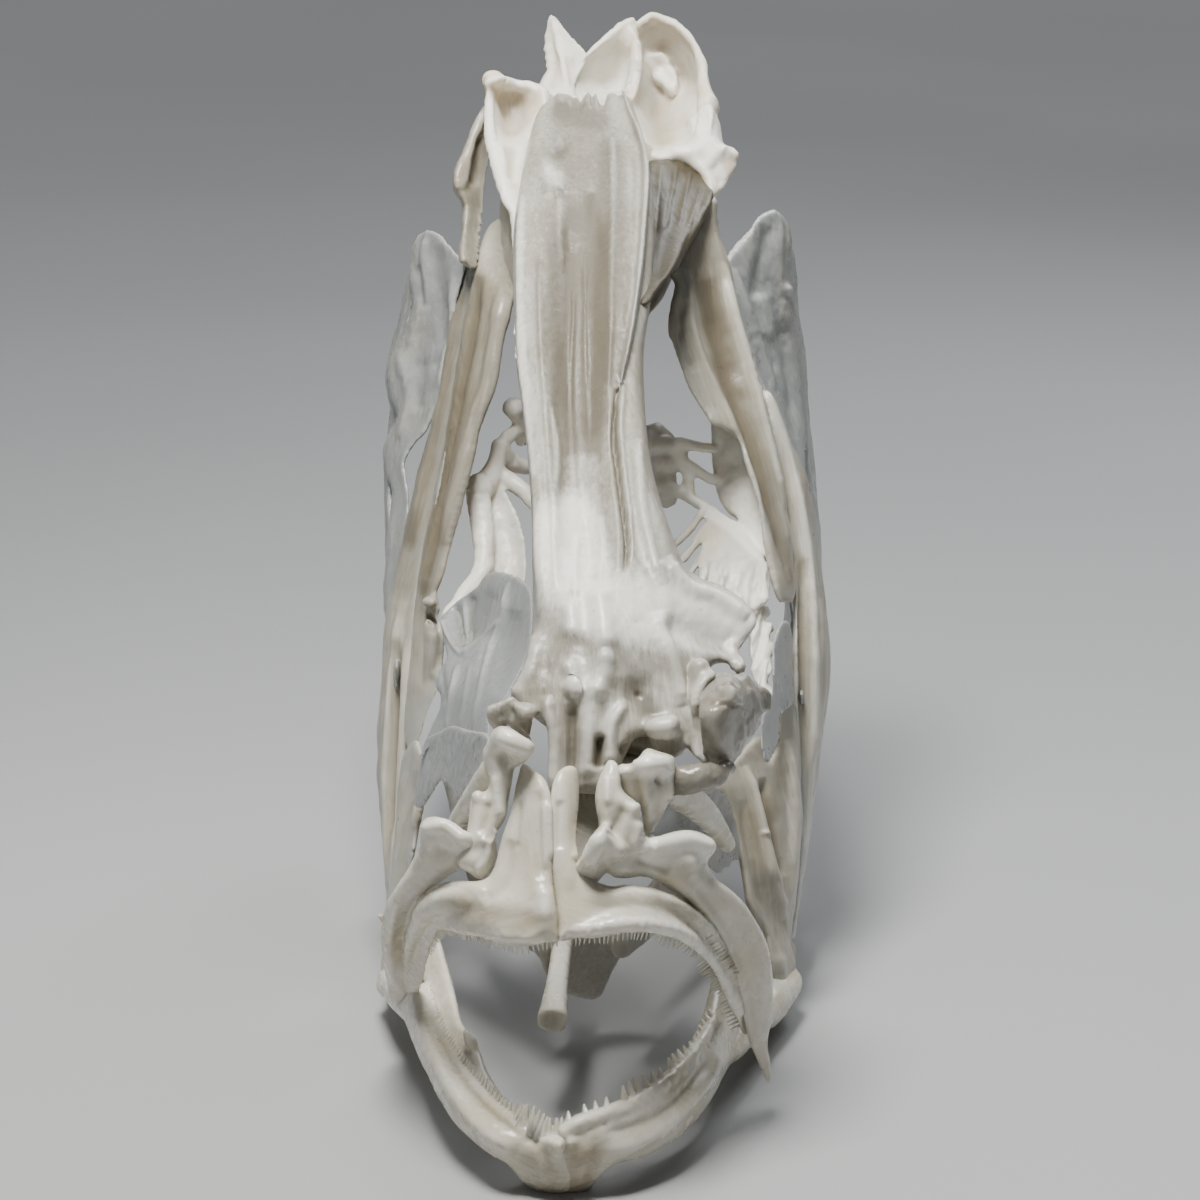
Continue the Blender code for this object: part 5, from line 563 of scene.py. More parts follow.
def wing_blind():
    s = bone("sphenotic_wing_blind", "wing", 110)
    edge = [(650, 160), (653, 163), (656, 160), (662, 162), (667, 160), (673, 162), (683, 160), (686, 166), (692, 167), (696, 172), (702, 173), (706, 179), (710, 181), (711, 188), (709, 195), (703, 199),
            (706, 206), (698, 219), (690, 235), (682, 252), (675, 268), (664, 282), (655, 293), (648, 303), (638, 304), (634, 270), (638, 245), (641, 204), (643, 180)]
    s.plate_of(edge, [(652, 163, 36.0), (684, 163, 37.4), (709, 186, 36.0), (668, 190, 32.0), (648, 204, 26.0), (638, 204, 26.6), (700, 212, 30.0), (672, 225, 25.0), (648, 250, 18.2), (635, 270, 16.2), (684, 246, 22.0), (648, 298, 9.6), (664, 280, 13.0)],
               [(652, 165, 1.8), (700, 185, 1.6), (670, 220, 2.6), (655, 250, 3.0), (648, 290, 2.2)], 5)
    s.tube([(709, 193, 35.0), (705, 206, 31.5), (697, 221, 28), (684, 246, 22.6), (673, 270, 17)], [0.5, 0.6, 0.6, 0.5, 0.4])


# ================================================================ upper jaw
def tooth_row(s, path, count, tall, r, lean, start=0.02, stop=0.98, gaps=()):
    """Teeth along a path of front-view points; lean is the direction they point."""
    P = curve([pt(p) for p in path], 200)
    for i in [i for i in range(count) if i not in gaps]:
        t = start + (stop - start) * i / max(count - 1, 1)
        k = t * 199
        a = int(k)
        p = P[a] + (P[min(a + 1, 199)] - P[a]) * (k - a)
        wob = math.sin(12.9898 * i + 4.1) * 0.5 + math.sin(7.13 * i + 1.7) * 0.5
        h = (np.interp(t, np.linspace(0, 1, len(tall)), tall)) * (1.0 + 0.22 * wob)
        L = np.array([np.interp(t, np.linspace(0, 1, len(lean)), [q[c] for q in lean]) for c in range(3)])
        L = unit(L + 0.12 * np.array([math.sin(5.3 * i), math.cos(3.7 * i), 0.0]))
        s.teeth.append((p - L * 0.9, p + L * h, r * (0.8 + 0.25 * h)))


UP_O_A = [(560, 889, -40), (540, 882, -40.5), (510, 880, -40.5), (480, 880, -39), (455, 885, -36), (437, 897, -32), (424, 918, -27), (415, 948, -22), (409, 985, -17)]
UP_O_B = [(561, 939, -41.5), (540, 944, -41.8), (510, 942, -41), (485, 938, -39.5), (462, 931, -36.5), (447, 929, -33), (437, 934, -29), (428, 954, -24.5), (419, 988, -19)]
UP_B_A = [(569, 889, -40), (590, 884, -40.5), (625, 882, -40), (655, 885, -38.5), (682, 898, -35.5), (706, 922, -32.4), (722, 955, -29.8), (735, 990, -27.4), (748, 1030, -25.4)]
UP_B_B = [(568, 937, -41.5), (590, 935, -41.8), (620, 930, -41), (645, 929, -39.5), (672, 935, -37), (697, 948, -34.4), (715, 969, -31.8), (728, 992, -29), (740, 1029, -26.4)]


def premaxilla_ocular(teeth):
    s = bone("premaxilla_ocular", "jaw", 330)
    plate(s, [(523, 764), (533, 770), (542, 777), (547, 786), (550, 796), (551.4, 812), (552.2, 850), (552.6, 880), (556.6, 905), (559.6, 925), (558.8, 940), (549, 941), (536, 944), (524, 945), (512, 944), (497, 941),
              (478, 936), (460, 932), (447, 929), (438, 931), (432, 942), (427, 960), (421, 985), (413, 1004), (409, 1000), (405, 985), (403, 960), (404, 940), (408, 922), (415, 905),
              (425, 892), (437, 885), (457, 881), (478, 882), (490, 877), (497, 862), (501, 845), (506, 829), (511, 814), (514, 800), (516, 787), (519, 774)],
          [(530, 768, -34.6), (535, 800, -36.2), (538, 840, -37.8), (540, 880, -39.2), (545, 915, -40.6), (545, 940, -40.8), (500, 885, -38.6), (500, 938, -40.4), (460, 886, -36.2), (455, 928, -35.6),
           (430, 897, -31.6), (425, 940, -27), (414, 925, -26), (409, 990, -17.6), (508, 835, -36.8)],
          [(525, 768, 1.6), (532, 800, 1.9), (530, 850, 2.2), (530, 905, 3.8), (480, 905, 3.6), (440, 910, 2.8), (415, 940, 2.0), (410, 995, 1.0), (505, 840, 1.6)], rim=15)
    s.tube([(409, 955, -22), (416, 930, -26.5), (430, 908, -32), (455, 900, -36.4), (490, 905, -38.8), (530, 912, -39.6)], [0.5, 0.8, 1.0, 1.2, 1.3, 1.2], [0.8, 1.1, 1.3, 1.5, 1.7, 1.6])
    if teeth:
        tooth_row(s, [(p[0], p[1], p[2] + 0.4) for p in UP_O_B[:8]], 48, [0.7, 1.0, 0.9, 0.8, 0.66, 0.5], 0.21,
                  [(0.1, 0.1, -1), (0.25, 0.1, -1), (0.8, 0.1, -0.6)])


def premaxilla_blind(teeth):
    s = bone("premaxilla_blind", "jaw", 340)
    plate(s, [(551.2, 800), (554, 782), (558, 773), (563, 768), (570, 766), (576, 769), (578, 785), (578, 805), (576, 822), (574, 840), (576, 856), (582, 870), (592, 880), (610, 887), (626, 886),
              (640, 887), (653, 889), (666, 893), (681, 901), (693, 910), (704, 919), (715, 932), (723, 947), (731, 962), (736, 977), (741, 995), (746, 1015), (748, 1033), (743, 1034),
              (738, 1020), (733, 1005), (726, 988), (718, 971), (711, 960), (702, 951), (692, 944), (679, 938), (666, 935), (653, 931), (643, 930), (626, 931), (610, 934), (593, 937),
              (577, 937), (559, 940), (558.6, 925), (555.4, 900), (551.8, 860)],
          [(566, 770, -34.8), (565, 805, -36.4), (564, 850, -38.0), (566, 890, -39.4), (575, 925, -40.8), (610, 890, -38.8), (610, 930, -40.6), (650, 890, -37.6), (650, 930, -39.4), (690, 912, -34.4),
           (690, 942, -35.4), (720, 950, -30.6), (722, 975, -30.2), (738, 995, -27.2), (745, 1030, -25.6)],
          [(566, 768, 1.8), (565, 810, 2.0), (570, 880, 3.2), (600, 912, 4.0), (650, 910, 3.8), (690, 926, 3.2), (720, 962, 2.4), (738, 1000, 1.8), (746, 1032, 0.8)], rim=15)
    s.tube([(575, 900, -39.2), (610, 903, -38.8), (650, 903, -37.6), (685, 917, -34.8), (712, 943, -31.6), (728, 975, -29), (740, 1010, -26.8)], [1.0, 1.2, 1.3, 1.2, 1.0, 0.8, 0.5], [1.4, 1.6, 1.7, 1.6, 1.3, 1.0, 0.7])
    if teeth:
        for k, (lift, back, many, tall) in enumerate([(0, 0.4, 58, 1.0), (4.5, 0.0, 54, 0.8), (9, -0.4, 50, 0.62)]):
            tooth_row(s, [(p[0] + (0.6 * lift if j > 4 else 0), p[1] + 1 - lift, p[2] + back + 0.4) for j, p in enumerate(UP_B_B[:9])], many, [tall * q for q in (0.8, 0.9, 1.0, 1.0, 1.15, 1.25, 0.9)], 0.2,
                      [(0, -0.2, -1), (-0.25, -0.2, -1), (-0.9, -0.3, -0.55), (-1.0, -0.3, -0.3)], start=0.03 + 0.01 * k)


def maxilla_ocular():
    s = bone("maxilla_ocular", "jaw", 200)
    plate(s, [(422, 824), (427, 819), (438, 818), (450, 825), (461, 831), (470, 834), (476, 845), (474, 858), (466, 867), (456, 871), (446, 877), (436, 885), (426, 894), (416, 908), (410, 925),
              (407, 945), (406, 965), (408, 985), (411, 1003), (411, 1016), (408, 1023), (404, 1012), (398, 1004), (390, 996), (387, 978), (382, 945), (382, 922), (386, 906), (396, 888),
              (405, 875), (415, 863), (421, 852), (423, 842), (420, 832)],
          [(435, 828, -33.8), (465, 848, -35.0), (440, 865, -33.0), (425, 880, -30.8), (405, 905, -26.6), (396, 930, -22.4), (396, 960, -18.4), (398, 995, -14.6), (408, 1020, -12.6)],
          [(435, 830, 3.6), (465, 850, 3.0), (430, 870, 3.2), (405, 905, 2.8), (396, 950, 2.2), (400, 995, 1.6), (408, 1020, 0.8)], rim=13)
    s.tube([(386, 921, -22.6), (381, 917, -22.8), (377, 914.5, -23)], [0.45, 0.3, 0.12])
    s.tube([(434, 832, -34.0), (432, 850, -32.8), (420, 872, -30.0), (402, 902, -26.0), (392, 935, -21.4)], [1.2, 1.2, 1.0, 0.8, 0.6], [1.5, 1.5, 1.3, 1.1, 0.8])


def maxilla_blind():
    s = bone("maxilla_blind", "jaw", 340)
    plate(s, [(640, 838), (650, 838), (661, 838), (676, 834), (688, 831), (699, 833), (709, 839), (715, 846), (713, 853), (708, 858), (707, 865), (714, 878), (726, 888), (742, 902), (752, 917),
              (762, 934), (767, 947), (770, 964), (772, 980), (772, 1000), (770, 1022), (767, 1045), (769, 1062), (770, 1078), (768, 1083), (764, 1074), (757, 1058), (752, 1047), (747, 1030),
              (742, 1006), (737, 986), (731, 969), (724, 951), (715, 934), (704, 918), (692, 906), (681, 896), (666, 885), (653, 878), (641, 875), (628, 877), (614, 876), (606, 866), (612, 856), (625, 848)],
          [(630, 862, -37.0), (655, 856, -35.8), (690, 842, -34.0), (710, 847, -33.0), (680, 880, -34.6), (700, 890, -33.2), (735, 920, -30.2), (750, 960, -28.0), (758, 1000, -26.4), (763, 1045, -24.8), (768, 1080, -24.0)],
          [(625, 864, 3.0), (655, 858, 3.8), (690, 850, 4.0), (708, 848, 2.6), (705, 890, 4.2), (735, 925, 4.0), (755, 975, 3.2), (762, 1030, 2.0), (768, 1078, 0.9)], rim=16)
    # process that runs up beside the vomer, with its bulge
    plate(s, [(609, 760), (614, 761), (618, 766), (620, 778), (621, 789), (627, 796), (634, 801), (640, 810), (642, 822), (644, 836), (650, 848), (640, 858), (622, 858), (606, 852),
              (600, 838), (600, 823), (597, 809), (596, 796), (599, 780), (604, 768)],
          [(610, 765, -35.2), (608, 790, -36.2), (632, 812, -36.8), (615, 825, -37.0), (625, 850, -36.8)], [(610, 764, 1.6), (610, 790, 2.8), (628, 815, 3.6), (620, 845, 3.8)], rim=11)
    # knob that bears on the premaxilla
    plate(s, [(605, 825), (612, 829), (617, 838), (626, 845), (634, 846), (633, 853), (622, 859), (614, 863), (604, 873), (598, 880), (591, 882), (582, 879), (576, 871), (576, 864), (582, 857),
              (585, 848), (590, 841), (597, 831)], [(600, 845, -38.6), (588, 868, -38.4), (628, 850, -37.6)], [(600, 848, 4.2), (588, 870, 3.4), (630, 850, 3.0)], rim=12)


def palatine_ocular():
    s = bone("palatine_ocular", "jaw", 200)
    plate(s, [(500, 727), (510, 729), (520, 735), (528, 741), (534, 746), (531, 752), (526, 760), (519, 765), (513, 768), (512, 778), (510, 790), (508, 801), (506, 814), (503, 822), (497, 830),
              (494, 838), (496, 850), (496, 860), (492, 871), (485, 879), (478, 878), (470, 872), (461, 867), (457, 861), (462, 848), (467, 834), (470, 819), (471, 805), (473, 797), (477, 791),
              (483, 793), (489, 789), (490, 778), (486, 766), (483, 754), (488, 742), (492, 733)],
          [(512, 740, -34.6), (528, 747, -35.0), (492, 752, -32.8), (500, 785, -33.8), (480, 800, -33.6), (490, 825, -35.0), (476, 860, -35.4), (490, 866, -35.4)],
          [(510, 745, 4.2), (530, 747, 2.6), (490, 755, 3.0), (502, 785, 3.0), (480, 800, 3.0), (488, 825, 3.4), (478, 862, 4.0)], rim=12)
    s.lump((478, 797, -33.8), [0.5, 0.8, 0.5])
    s.tube([(494, 770, -31.4), (480, 790, -27), (462, 815, -21), (444, 845, -14)], [1.3, 1.1, 0.9, 0.6], [1.6, 1.4, 1.0, 0.7])


def palatine_blind():
    s = bone("palatine_blind", "jaw", 190)
    plate(s, [(620, 765), (628, 765), (637, 762), (642, 754), (648, 749), (658, 752), (668, 755), (674, 758), (674, 775), (673, 795), (667, 803), (662, 814), (656, 826), (650, 836), (643, 834), (640, 822),
              (634, 806), (626, 799), (618, 790), (616, 776)],
          [(648, 762, -34.4), (670, 765, -33.2), (622, 775, -34.6), (650, 795, -34.4), (650, 830, -33.0)], [(650, 765, 4.6), (670, 775, 3.0), (622, 778, 2.6), (650, 800, 4.0), (650, 832, 1.6)], rim=13)
    s.tube([(660, 785, -31.6), (682, 795, -27), (706, 815, -21), (728, 845, -14)], [1.6, 1.5, 1.2, 0.8], [1.6, 1.3, 1.0, 0.7])


# ================================================================ lower jaw
LO_O_A = [(563, 1128, -43.6), (545, 1131, -43.2), (521, 1117, -42), (504, 1106, -40.4), (488, 1079, -37.5), (475, 1054, -34), (461, 1027, -29.5), (450, 993, -24.5), (445, 960, -20), (438, 934, -16)]
LO_O_B = [(563, 1186, -40.2), (548, 1184, -39.6), (521, 1157, -40.4), (500, 1148, -39.2), (477, 1131, -36.6), (456, 1104, -33), (440, 1073, -28), (424, 1044, -21.5), (412, 1018, -15), (402, 1000, -10)]
LO_B_A = [(565, 1128, -43.6), (583, 1118, -43.2), (615, 1108, -41.5), (642, 1096, -39), (668, 1077, -35.5), (686, 1058, -32), (704, 1024, -26), (713, 990, -20.5), (716, 965, -17)]
LO_B_B = [(565, 1186, -40.2), (582, 1183, -40), (604, 1160, -40.6), (633, 1156, -39.2), (668, 1138, -36), (697, 1109, -31), (712, 1083, -25), (728, 1062, -19), (742, 1044, -14)]


TOOTH_O = [(562, 1132, -43.4), (549, 1132, -43.4), (530, 1124, -42.6), (517, 1116, -41.8), (497, 1100, -39.6), (480, 1082, -36.8), (466, 1066, -34.0), (452, 1046, -30.6), (442, 1026, -27.0), (434, 1004, -22.8), (428, 984, -19.0)]
RAGGED_O = [(520, 1114, -40.6), (505, 1104, -39), (492, 1084, -36.6), (483, 1066, -34.2), (479, 1052, -32.4), (472, 1036, -29.8), (462, 1024, -27.6), (455, 998, -23.6), (449, 976, -20.0), (444, 952, -16.6), (437, 932, -14.6)]


def dentary(side, teeth):
    s = bone("dentary_" + side, "jaw", 310)
    if side == "ocular":
        s.blade(TOOTH_O, [LO_O_B[0], LO_O_B[1], (530, 1172, -39.8), (521, 1158, -40.4), (507, 1154, -39.6), (488, 1142, -37.8), (472, 1131, -36.2), (456, 1108, -33.4), (440, 1076, -28.4), (424, 1046, -21.5), (408, 1016, -13.6)],
                [4.2, 4.0, 3.8, 3.6, 3.4, 3.2, 3.0, 2.8, 2.5, 2.2, 1.8], bow=-0.5, power=2.6)
        s.blade([(p[0] - 2, p[1] + 3, p[2] + 1.6) for p in TOOTH_O[3:]] + [(420, 962, -14.6)], RAGGED_O[:9] + [(437, 932, -14.6)], [1.8, 1.7, 1.6, 1.5, 1.4, 1.4, 1.4, 1.4, 1.4], bow=0.3)
        # chin boss with its small flat foot
        s.tube([(548, 1150, -41.4), (549, 1172, -40.6), (551, 1189, -40.2)], [1.4, 1.3, 1.2], [2.0, 2.1, 2.2])
        s.plate_of([(514, 1150), (522, 1158), (529, 1168), (535, 1177), (543, 1183), (551, 1187), (558, 1186), (563, 1182), (564.5, 1170), (564.5, 1140), (545, 1136), (525, 1140)],
                   [(520, 1152, -40.4), (550, 1150, -42.6), (550, 1182, -40.6)], [(520, 1152, 3.4), (550, 1150, 5.0), (550, 1182, 4.0)], 14)
        s.plate_of([(464, 1030), (469, 1033), (474, 1037), (477, 1044), (478, 1052), (482, 1060), (478, 1064), (471, 1054), (466, 1044)], [(468, 1036, -29.6), (478, 1060, -34)], 1.8, 5)
        lean = [(0.05, 0.3, 1), (0.3, 0.3, 1), (0.55, 0.2, 0.9), (0.7, 0.1, 0.7)]
        if teeth:
            tooth_row(s, TOOTH_O[:4], 12, [1.3, 1.6, 1.45, 1.2], 0.43, lean[:2], gaps=(2, 8))
            tooth_row(s, TOOTH_O[3:], 40, [1.1, 0.8, 0.64, 0.56, 0.48, 0.36], 0.21, lean[1:])
            tooth_row(s, [(p[0] + 3, p[1] - 2, p[2] + 0.8) for p in TOOTH_O[3:9]], 30, [0.5, 0.42, 0.36, 0.3], 0.11, lean[1:])
    else:
        s.blade(LO_B_A, LO_B_B, [4.2, 4.0, 3.6, 3.4, 3.0, 2.7, 2.4, 2.1, 1.8], bow=-0.4, power=2.6)
        s.tube([(580, 1150, -41.4), (579, 1170, -40.6), (577, 1189, -40.2)], [1.6, 1.5, 1.3], [2.0, 2.1, 2.2])
        s.plate_of([(564.5, 1138), (564.5, 1180), (569, 1187), (576, 1188), (584, 1184), (592, 1177), (599, 1168), (606, 1158), (614, 1150), (600, 1136), (580, 1132)],
                   [(570, 1150, -42.4), (576, 1184, -40.4), (606, 1150, -40.6)], [(570, 1150, 5.0), (576, 1182, 4.2), (606, 1150, 3.4)], 14)
        # keel along the outside, under the groove
        s.tube([(600, 1148, -41.6), (633, 1143, -40.6), (664, 1126, -37.4), (690, 1098, -32.4), (708, 1066, -26)],
               [0.7, 1.0, 1.1, 1.0, 0.6], [1.0, 1.3, 1.4, 1.3, 0.8])
        # knobbly ridge that carries the teeth
        row = [(565, 1131, -43.8), (583, 1122, -43.4), (615, 1111, -41.8), (642, 1099, -39.4), (668, 1080, -36), (688, 1060, -32.2), (704, 1036, -28), (714, 1016, -24.6)]
        s.tube(row, [0.7, 0.8, 0.8, 0.8, 0.75, 0.7, 0.6, 0.4], [0.9, 0.9, 0.9, 0.9, 0.8, 0.8, 0.7, 0.5])
        lean = [(-0.05, 0.3, 1), (-0.3, 0.3, 1), (-0.6, 0.2, 0.85)]
        if teeth:
            tooth_row(s, [(p[0], p[1] - 2, p[2]) for p in row], 24, [1.35, 1.6, 1.7, 1.6, 1.5, 1.25, 1.0, 0.7], 0.47, lean, gaps=(1, 5, 12))
            tooth_row(s, [(p[0] + 1, p[1] - 1, p[2] + 1.0) for p in row[:6]], 22, [0.5, 0.6, 0.6, 0.5, 0.4], 0.16, lean)


def articular_ocular():
    s = bone("articular_ocular", "jaw", 120)
    s.tube([(430, 1020, -20), (418, 1008, -13), (404, 992, -6), (393, 981, 0)], [1.2, 1.6, 1.9, 1.9], [2.0, 2.2, 2.0, 1.7])
    s.tube([(402, 990, -4), (395, 984, 1), (393, 982, 4)], [1.5, 1.4, 1.0], [1.4, 1.3, 1.0])
    s.tube([(408, 992, -8), (416, 965, -9), (424, 945, -11)], [1.6, 1.3, 0.9], [2.0, 1.6, 1.0])


def articular_blind():
    s = bone("articular_blind", "jaw", 140)
    s.tube([(716, 1060, -24), (732, 1043, -18), (752, 1020, -11), (772, 998, -4.6), (784, 982, 0)], [1.0, 1.5, 1.8, 2.0, 1.9], [1.6, 2.0, 2.1, 2.0, 1.8])
    s.tube([(774, 996, -4), (781, 988, 1), (782, 985, 4)], [1.5, 1.4, 1.0], [1.4, 1.3, 1.0])
    s.tube([(752, 1020, -10), (742, 985, -12), (733, 962, -14)], [1.6, 1.3, 0.8], [2.2, 1.6, 1.0])


# ================================================================ suspensoria
def deep(points, depth, offsets):
    """Front-view points at a table's depth, each with its own offset to the rear."""
    n = len(points)
    off = np.interp(np.linspace(0, 1, n), np.linspace(0, 1, len(offsets)), offsets)
    return [(u, v, along(depth, v) + o) for (u, v), o in zip(points, off)]


def quadrate(side):
    s = bone("quadrate_" + side, "bone", 170)
    if side == "ocular":
        edge = [(403, 762), (409, 748), (416, 742), (419, 750), (423, 757), (432, 755), (442, 757), (441, 768), (434, 781), (427, 793), (421, 806), (417, 824), (414, 845), (410, 862), (407, 882), (405, 905),
                (404, 940), (404, 960), (402, 976), (396, 984), (388, 985), (383, 976), (383, 963), (386, 945), (388, 925), (390, 900), (393, 870), (396, 842), (399, 815), (401, 785)]
        s.plate_of(edge, bars([(755, 410, -2.5), (765, 436, -9), (800, 402, -1.0), (806, 418, -6.5), (860, 396, -1, 409, -6), (920, 390, -0.5, 404, -3.5), (975, 386, 0, 401, -1)]),
                   [(412, 755, 2.0), (436, 765, 2.6), (410, 810, 3.2), (400, 870, 3.4), (396, 920, 3.4), (393, 970, 4.2)], 9, grow=2.4)
        s.lump((391, 968, 0.2), [1.0, 1.9, 1.4])
        s.lump((397, 975, 0.6), [1.2, 1.5, 1.1])
    else:
        edge = [(714, 786), (722, 778), (729, 767), (738, 757), (747, 747), (756, 738), (762, 740), (764, 755), (768, 763), (774, 754), (779, 741), (780, 726), (779, 714), (786, 706), (792, 706), (795, 720),
                (798, 748), (800, 780), (800, 811), (799, 854), (795, 895), (790, 930), (788, 942), (792, 950), (793, 966), (790, 977), (790, 993), (784, 1005), (776, 1011), (772, 1004), (773, 985),
                (770, 965), (768, 946), (765, 930), (757, 918), (749, 905), (746, 890), (744, 875), (740, 854), (736, 827), (728, 804), (721, 793)]
        s.plate_of(edge, bars([(770, 730, -9), (742, 756, -6.5), (710, 788, -1), (790, 720, -11), (810, 735, -9, 762, -6.5), (811, 797, -0.5), (870, 746, -7.5, 770, -6), (870, 796, 0), (915, 760, -5.6, 790, 0), (945, 776, -3), (975, 782, -1.6), (1005, 778, -1.8)]),
                   [(722, 785, 2.6), (756, 745, 2.2), (788, 715, 2.2), (745, 820, 3.2), (790, 820, 2.8), (768, 900, 3.2), (780, 950, 4.0), (780, 990, 3.6)], 8, grow=2.4)
        s.lump((791, 950, 1.2), [0.55, 1.0, 0.8])
        s.lump((783, 966, 0.2), [1.2, 1.9, 1.4])


def bars(rows):
    """Control depths for a plate: each row is (v, u, offset behind the cheek bars' own depth, u, offset)."""
    return [(r[k], r[0], yb(r[0], r[k + 1])) for r in rows for k in range(1, len(r), 2)]


def hyomandibula(side):
    s = bone("hyomandibula_" + side, "bone", 230)
    if side == "ocular":
        edge = [(477, 262), (484, 240), (492, 226), (502, 220), (514, 224), (520, 250), (516, 285), (511, 304), (504, 331), (498, 360), (495, 386), (489, 402), (481, 421), (473, 452), (466, 480), (458, 510), (450, 541),
                (442, 572), (435, 593), (437, 600), (439, 610), (436, 617), (440, 626), (442, 645), (441, 664), (438, 680), (433, 696), (426, 712), (421, 728), (416, 742), (410, 752), (406, 735), (408, 700), (412, 660),
                (415, 620), (419, 590), (426, 545), (434, 510), (442, 475), (449, 430), (456, 384), (463, 340), (470, 300), (474, 272)]
        s.plate_of(edge, bars([(225, 492, 3.6, 514, 3.4), (262, 480, 1.4, 512, 1.0), (300, 474, 1, 510, -2.8), (386, 458, 1, 490, -2.6), (480, 442, 1, 464, -2.4), (590, 421, 1, 434, -1.6), (660, 414, 0, 440, -3.6), (740, 408, -1, 418, -3)]),
                   [(500, 230, 2.2), (490, 262, 3.4), (495, 300, 3.6), (478, 386, 3.4), (455, 480, 3.2), (430, 580, 2.8), (427, 660, 2.0), (414, 745, 1.2)], 14, grow=2.4)
        s.lump((430, 602, 14.2), [0.85, 0.8, 0.6])
        s.plate_of([(426, 620), (433, 623), (438, 634), (440, 652), (438, 672), (432, 690), (427, 694), (424, 680), (425, 655), (424, 636)], bars([(625, 430, -3.0), (690, 429, -4.2)]), 1.6, 7)
    else:
        edge = [(702, 208), (709, 202), (714, 199), (715, 212), (716, 226), (721, 245), (727, 264), (733, 290), (741, 325), (750, 362), (762, 402), (772, 440), (781, 485), (788, 525), (792, 560), (793, 590), (791, 601),
                (785, 601), (780, 601), (776, 590), (771, 566), (766, 542), (759, 500), (748, 466), (741, 440), (730, 430), (713, 422), (708, 414), (697, 398), (690, 386), (683, 368), (675, 346), (671, 330),
                (672, 305), (676, 284), (672, 276), (678, 262), (686, 246), (694, 228)]
        s.plate_of(edge, bars([(206, 708, 0), (264, 680, -3.0, 724, 0.6), (330, 673, -4.2, 740, 0.6), (400, 700, -3.6, 760, 0.8), (440, 728, -3.4, 770, 0.8), (500, 760, -2.6, 782, 0.6), (595, 780, -1.6, 790, 0)]),
                   [(709, 206, 2.4), (690, 270, 3.0), (720, 270, 3.2), (680, 340, 1.8), (730, 340, 3.2), (720, 410, 1.8), (756, 420, 3.0), (766, 500, 1.8), (782, 560, 2.2)], 9, grow=2.4)
        s.tube([(704, 222, 35.5), (694, 220, 34.0), (684, 216, 32.4)], [1.1, 1.4, 1.3], [1.8, 2.2, 2.0])


def preopercle(side):
    s = bone("preopercle_" + side, "bone", 250)
    if side == "ocular":
        edge = [(463, 264), (470, 262), (474, 268), (471, 300), (464, 340), (457, 384), (450, 430), (443, 475), (435, 510), (427, 545), (420, 590), (416, 620), (413, 660), (410, 700), (408, 740), (406, 780),
                (402, 830), (399, 870), (397, 910), (394, 945), (390, 948), (388, 910), (387, 885), (385, 850), (383, 825), (380, 790), (380, 750), (380, 712), (383, 680), (385, 647), (388, 615), (393, 585),
                (400, 556), (406, 529), (413, 503), (422, 464), (432, 429), (441, 397), (449, 345), (455, 300)]
        s.plate_of(edge, bars([(266, 468, 3.2), (340, 452, 4.4, 462, 2.0), (430, 434, 5.4, 448, 2.0), (530, 409, 5.8, 428, 2.2), (590, 394, 5.6, 418, 2.0), (700, 384, 5.0, 408, 1.4), (800, 383, 5.4, 403, 2.2), (900, 389, 4.0, 397, 2.2), (945, 392, 2.6)]),
                   [(468, 268, 1.6), (445, 400, 2.2), (415, 540, 2.2), (400, 640, 2.4), (395, 760, 2.4), (393, 860, 2.0), (392, 940, 1.2)], 8, grow=2.4)
    else:
        edge = [(761, 393), (768, 424), (776, 462), (785, 504), (790, 545), (793, 580), (795, 603), (795, 645), (795, 697), (797, 722), (799, 750), (801, 780),
                (801, 811), (800, 854), (796, 895), (791, 930), (789, 940), (794, 925), (800, 894), (806, 858), (811, 822), (815, 785), (819, 747), (824, 710), (827, 688), (828, 652), (824, 606), (817, 557),
                (811, 515), (804, 477), (797, 458), (787, 438), (776, 412), (767, 396)]
        edge = edge[:17] + [(793, 936)] + edge[17:]
        s.plate_of(edge, bars([(266, 729, 1.2), (340, 747, 1.8), (420, 774, 3.2), (480, 782, 4.2, 803, 5.6), (560, 793, 3.8, 816, 6.6), (650, 797, 1.6, 826, 6.6), (750, 801, 2.0, 817, 5.8), (830, 802, 2.4, 808, 4.6), (930, 792, 2.4)]),
                   [(729, 268, 2.6), (750, 345, 3.4), (780, 430, 3.8), (800, 500, 3.8), (810, 600, 3.8), (812, 700, 3.6), (806, 800, 3.0), (796, 900, 2.2)], 7, grow=2.4)


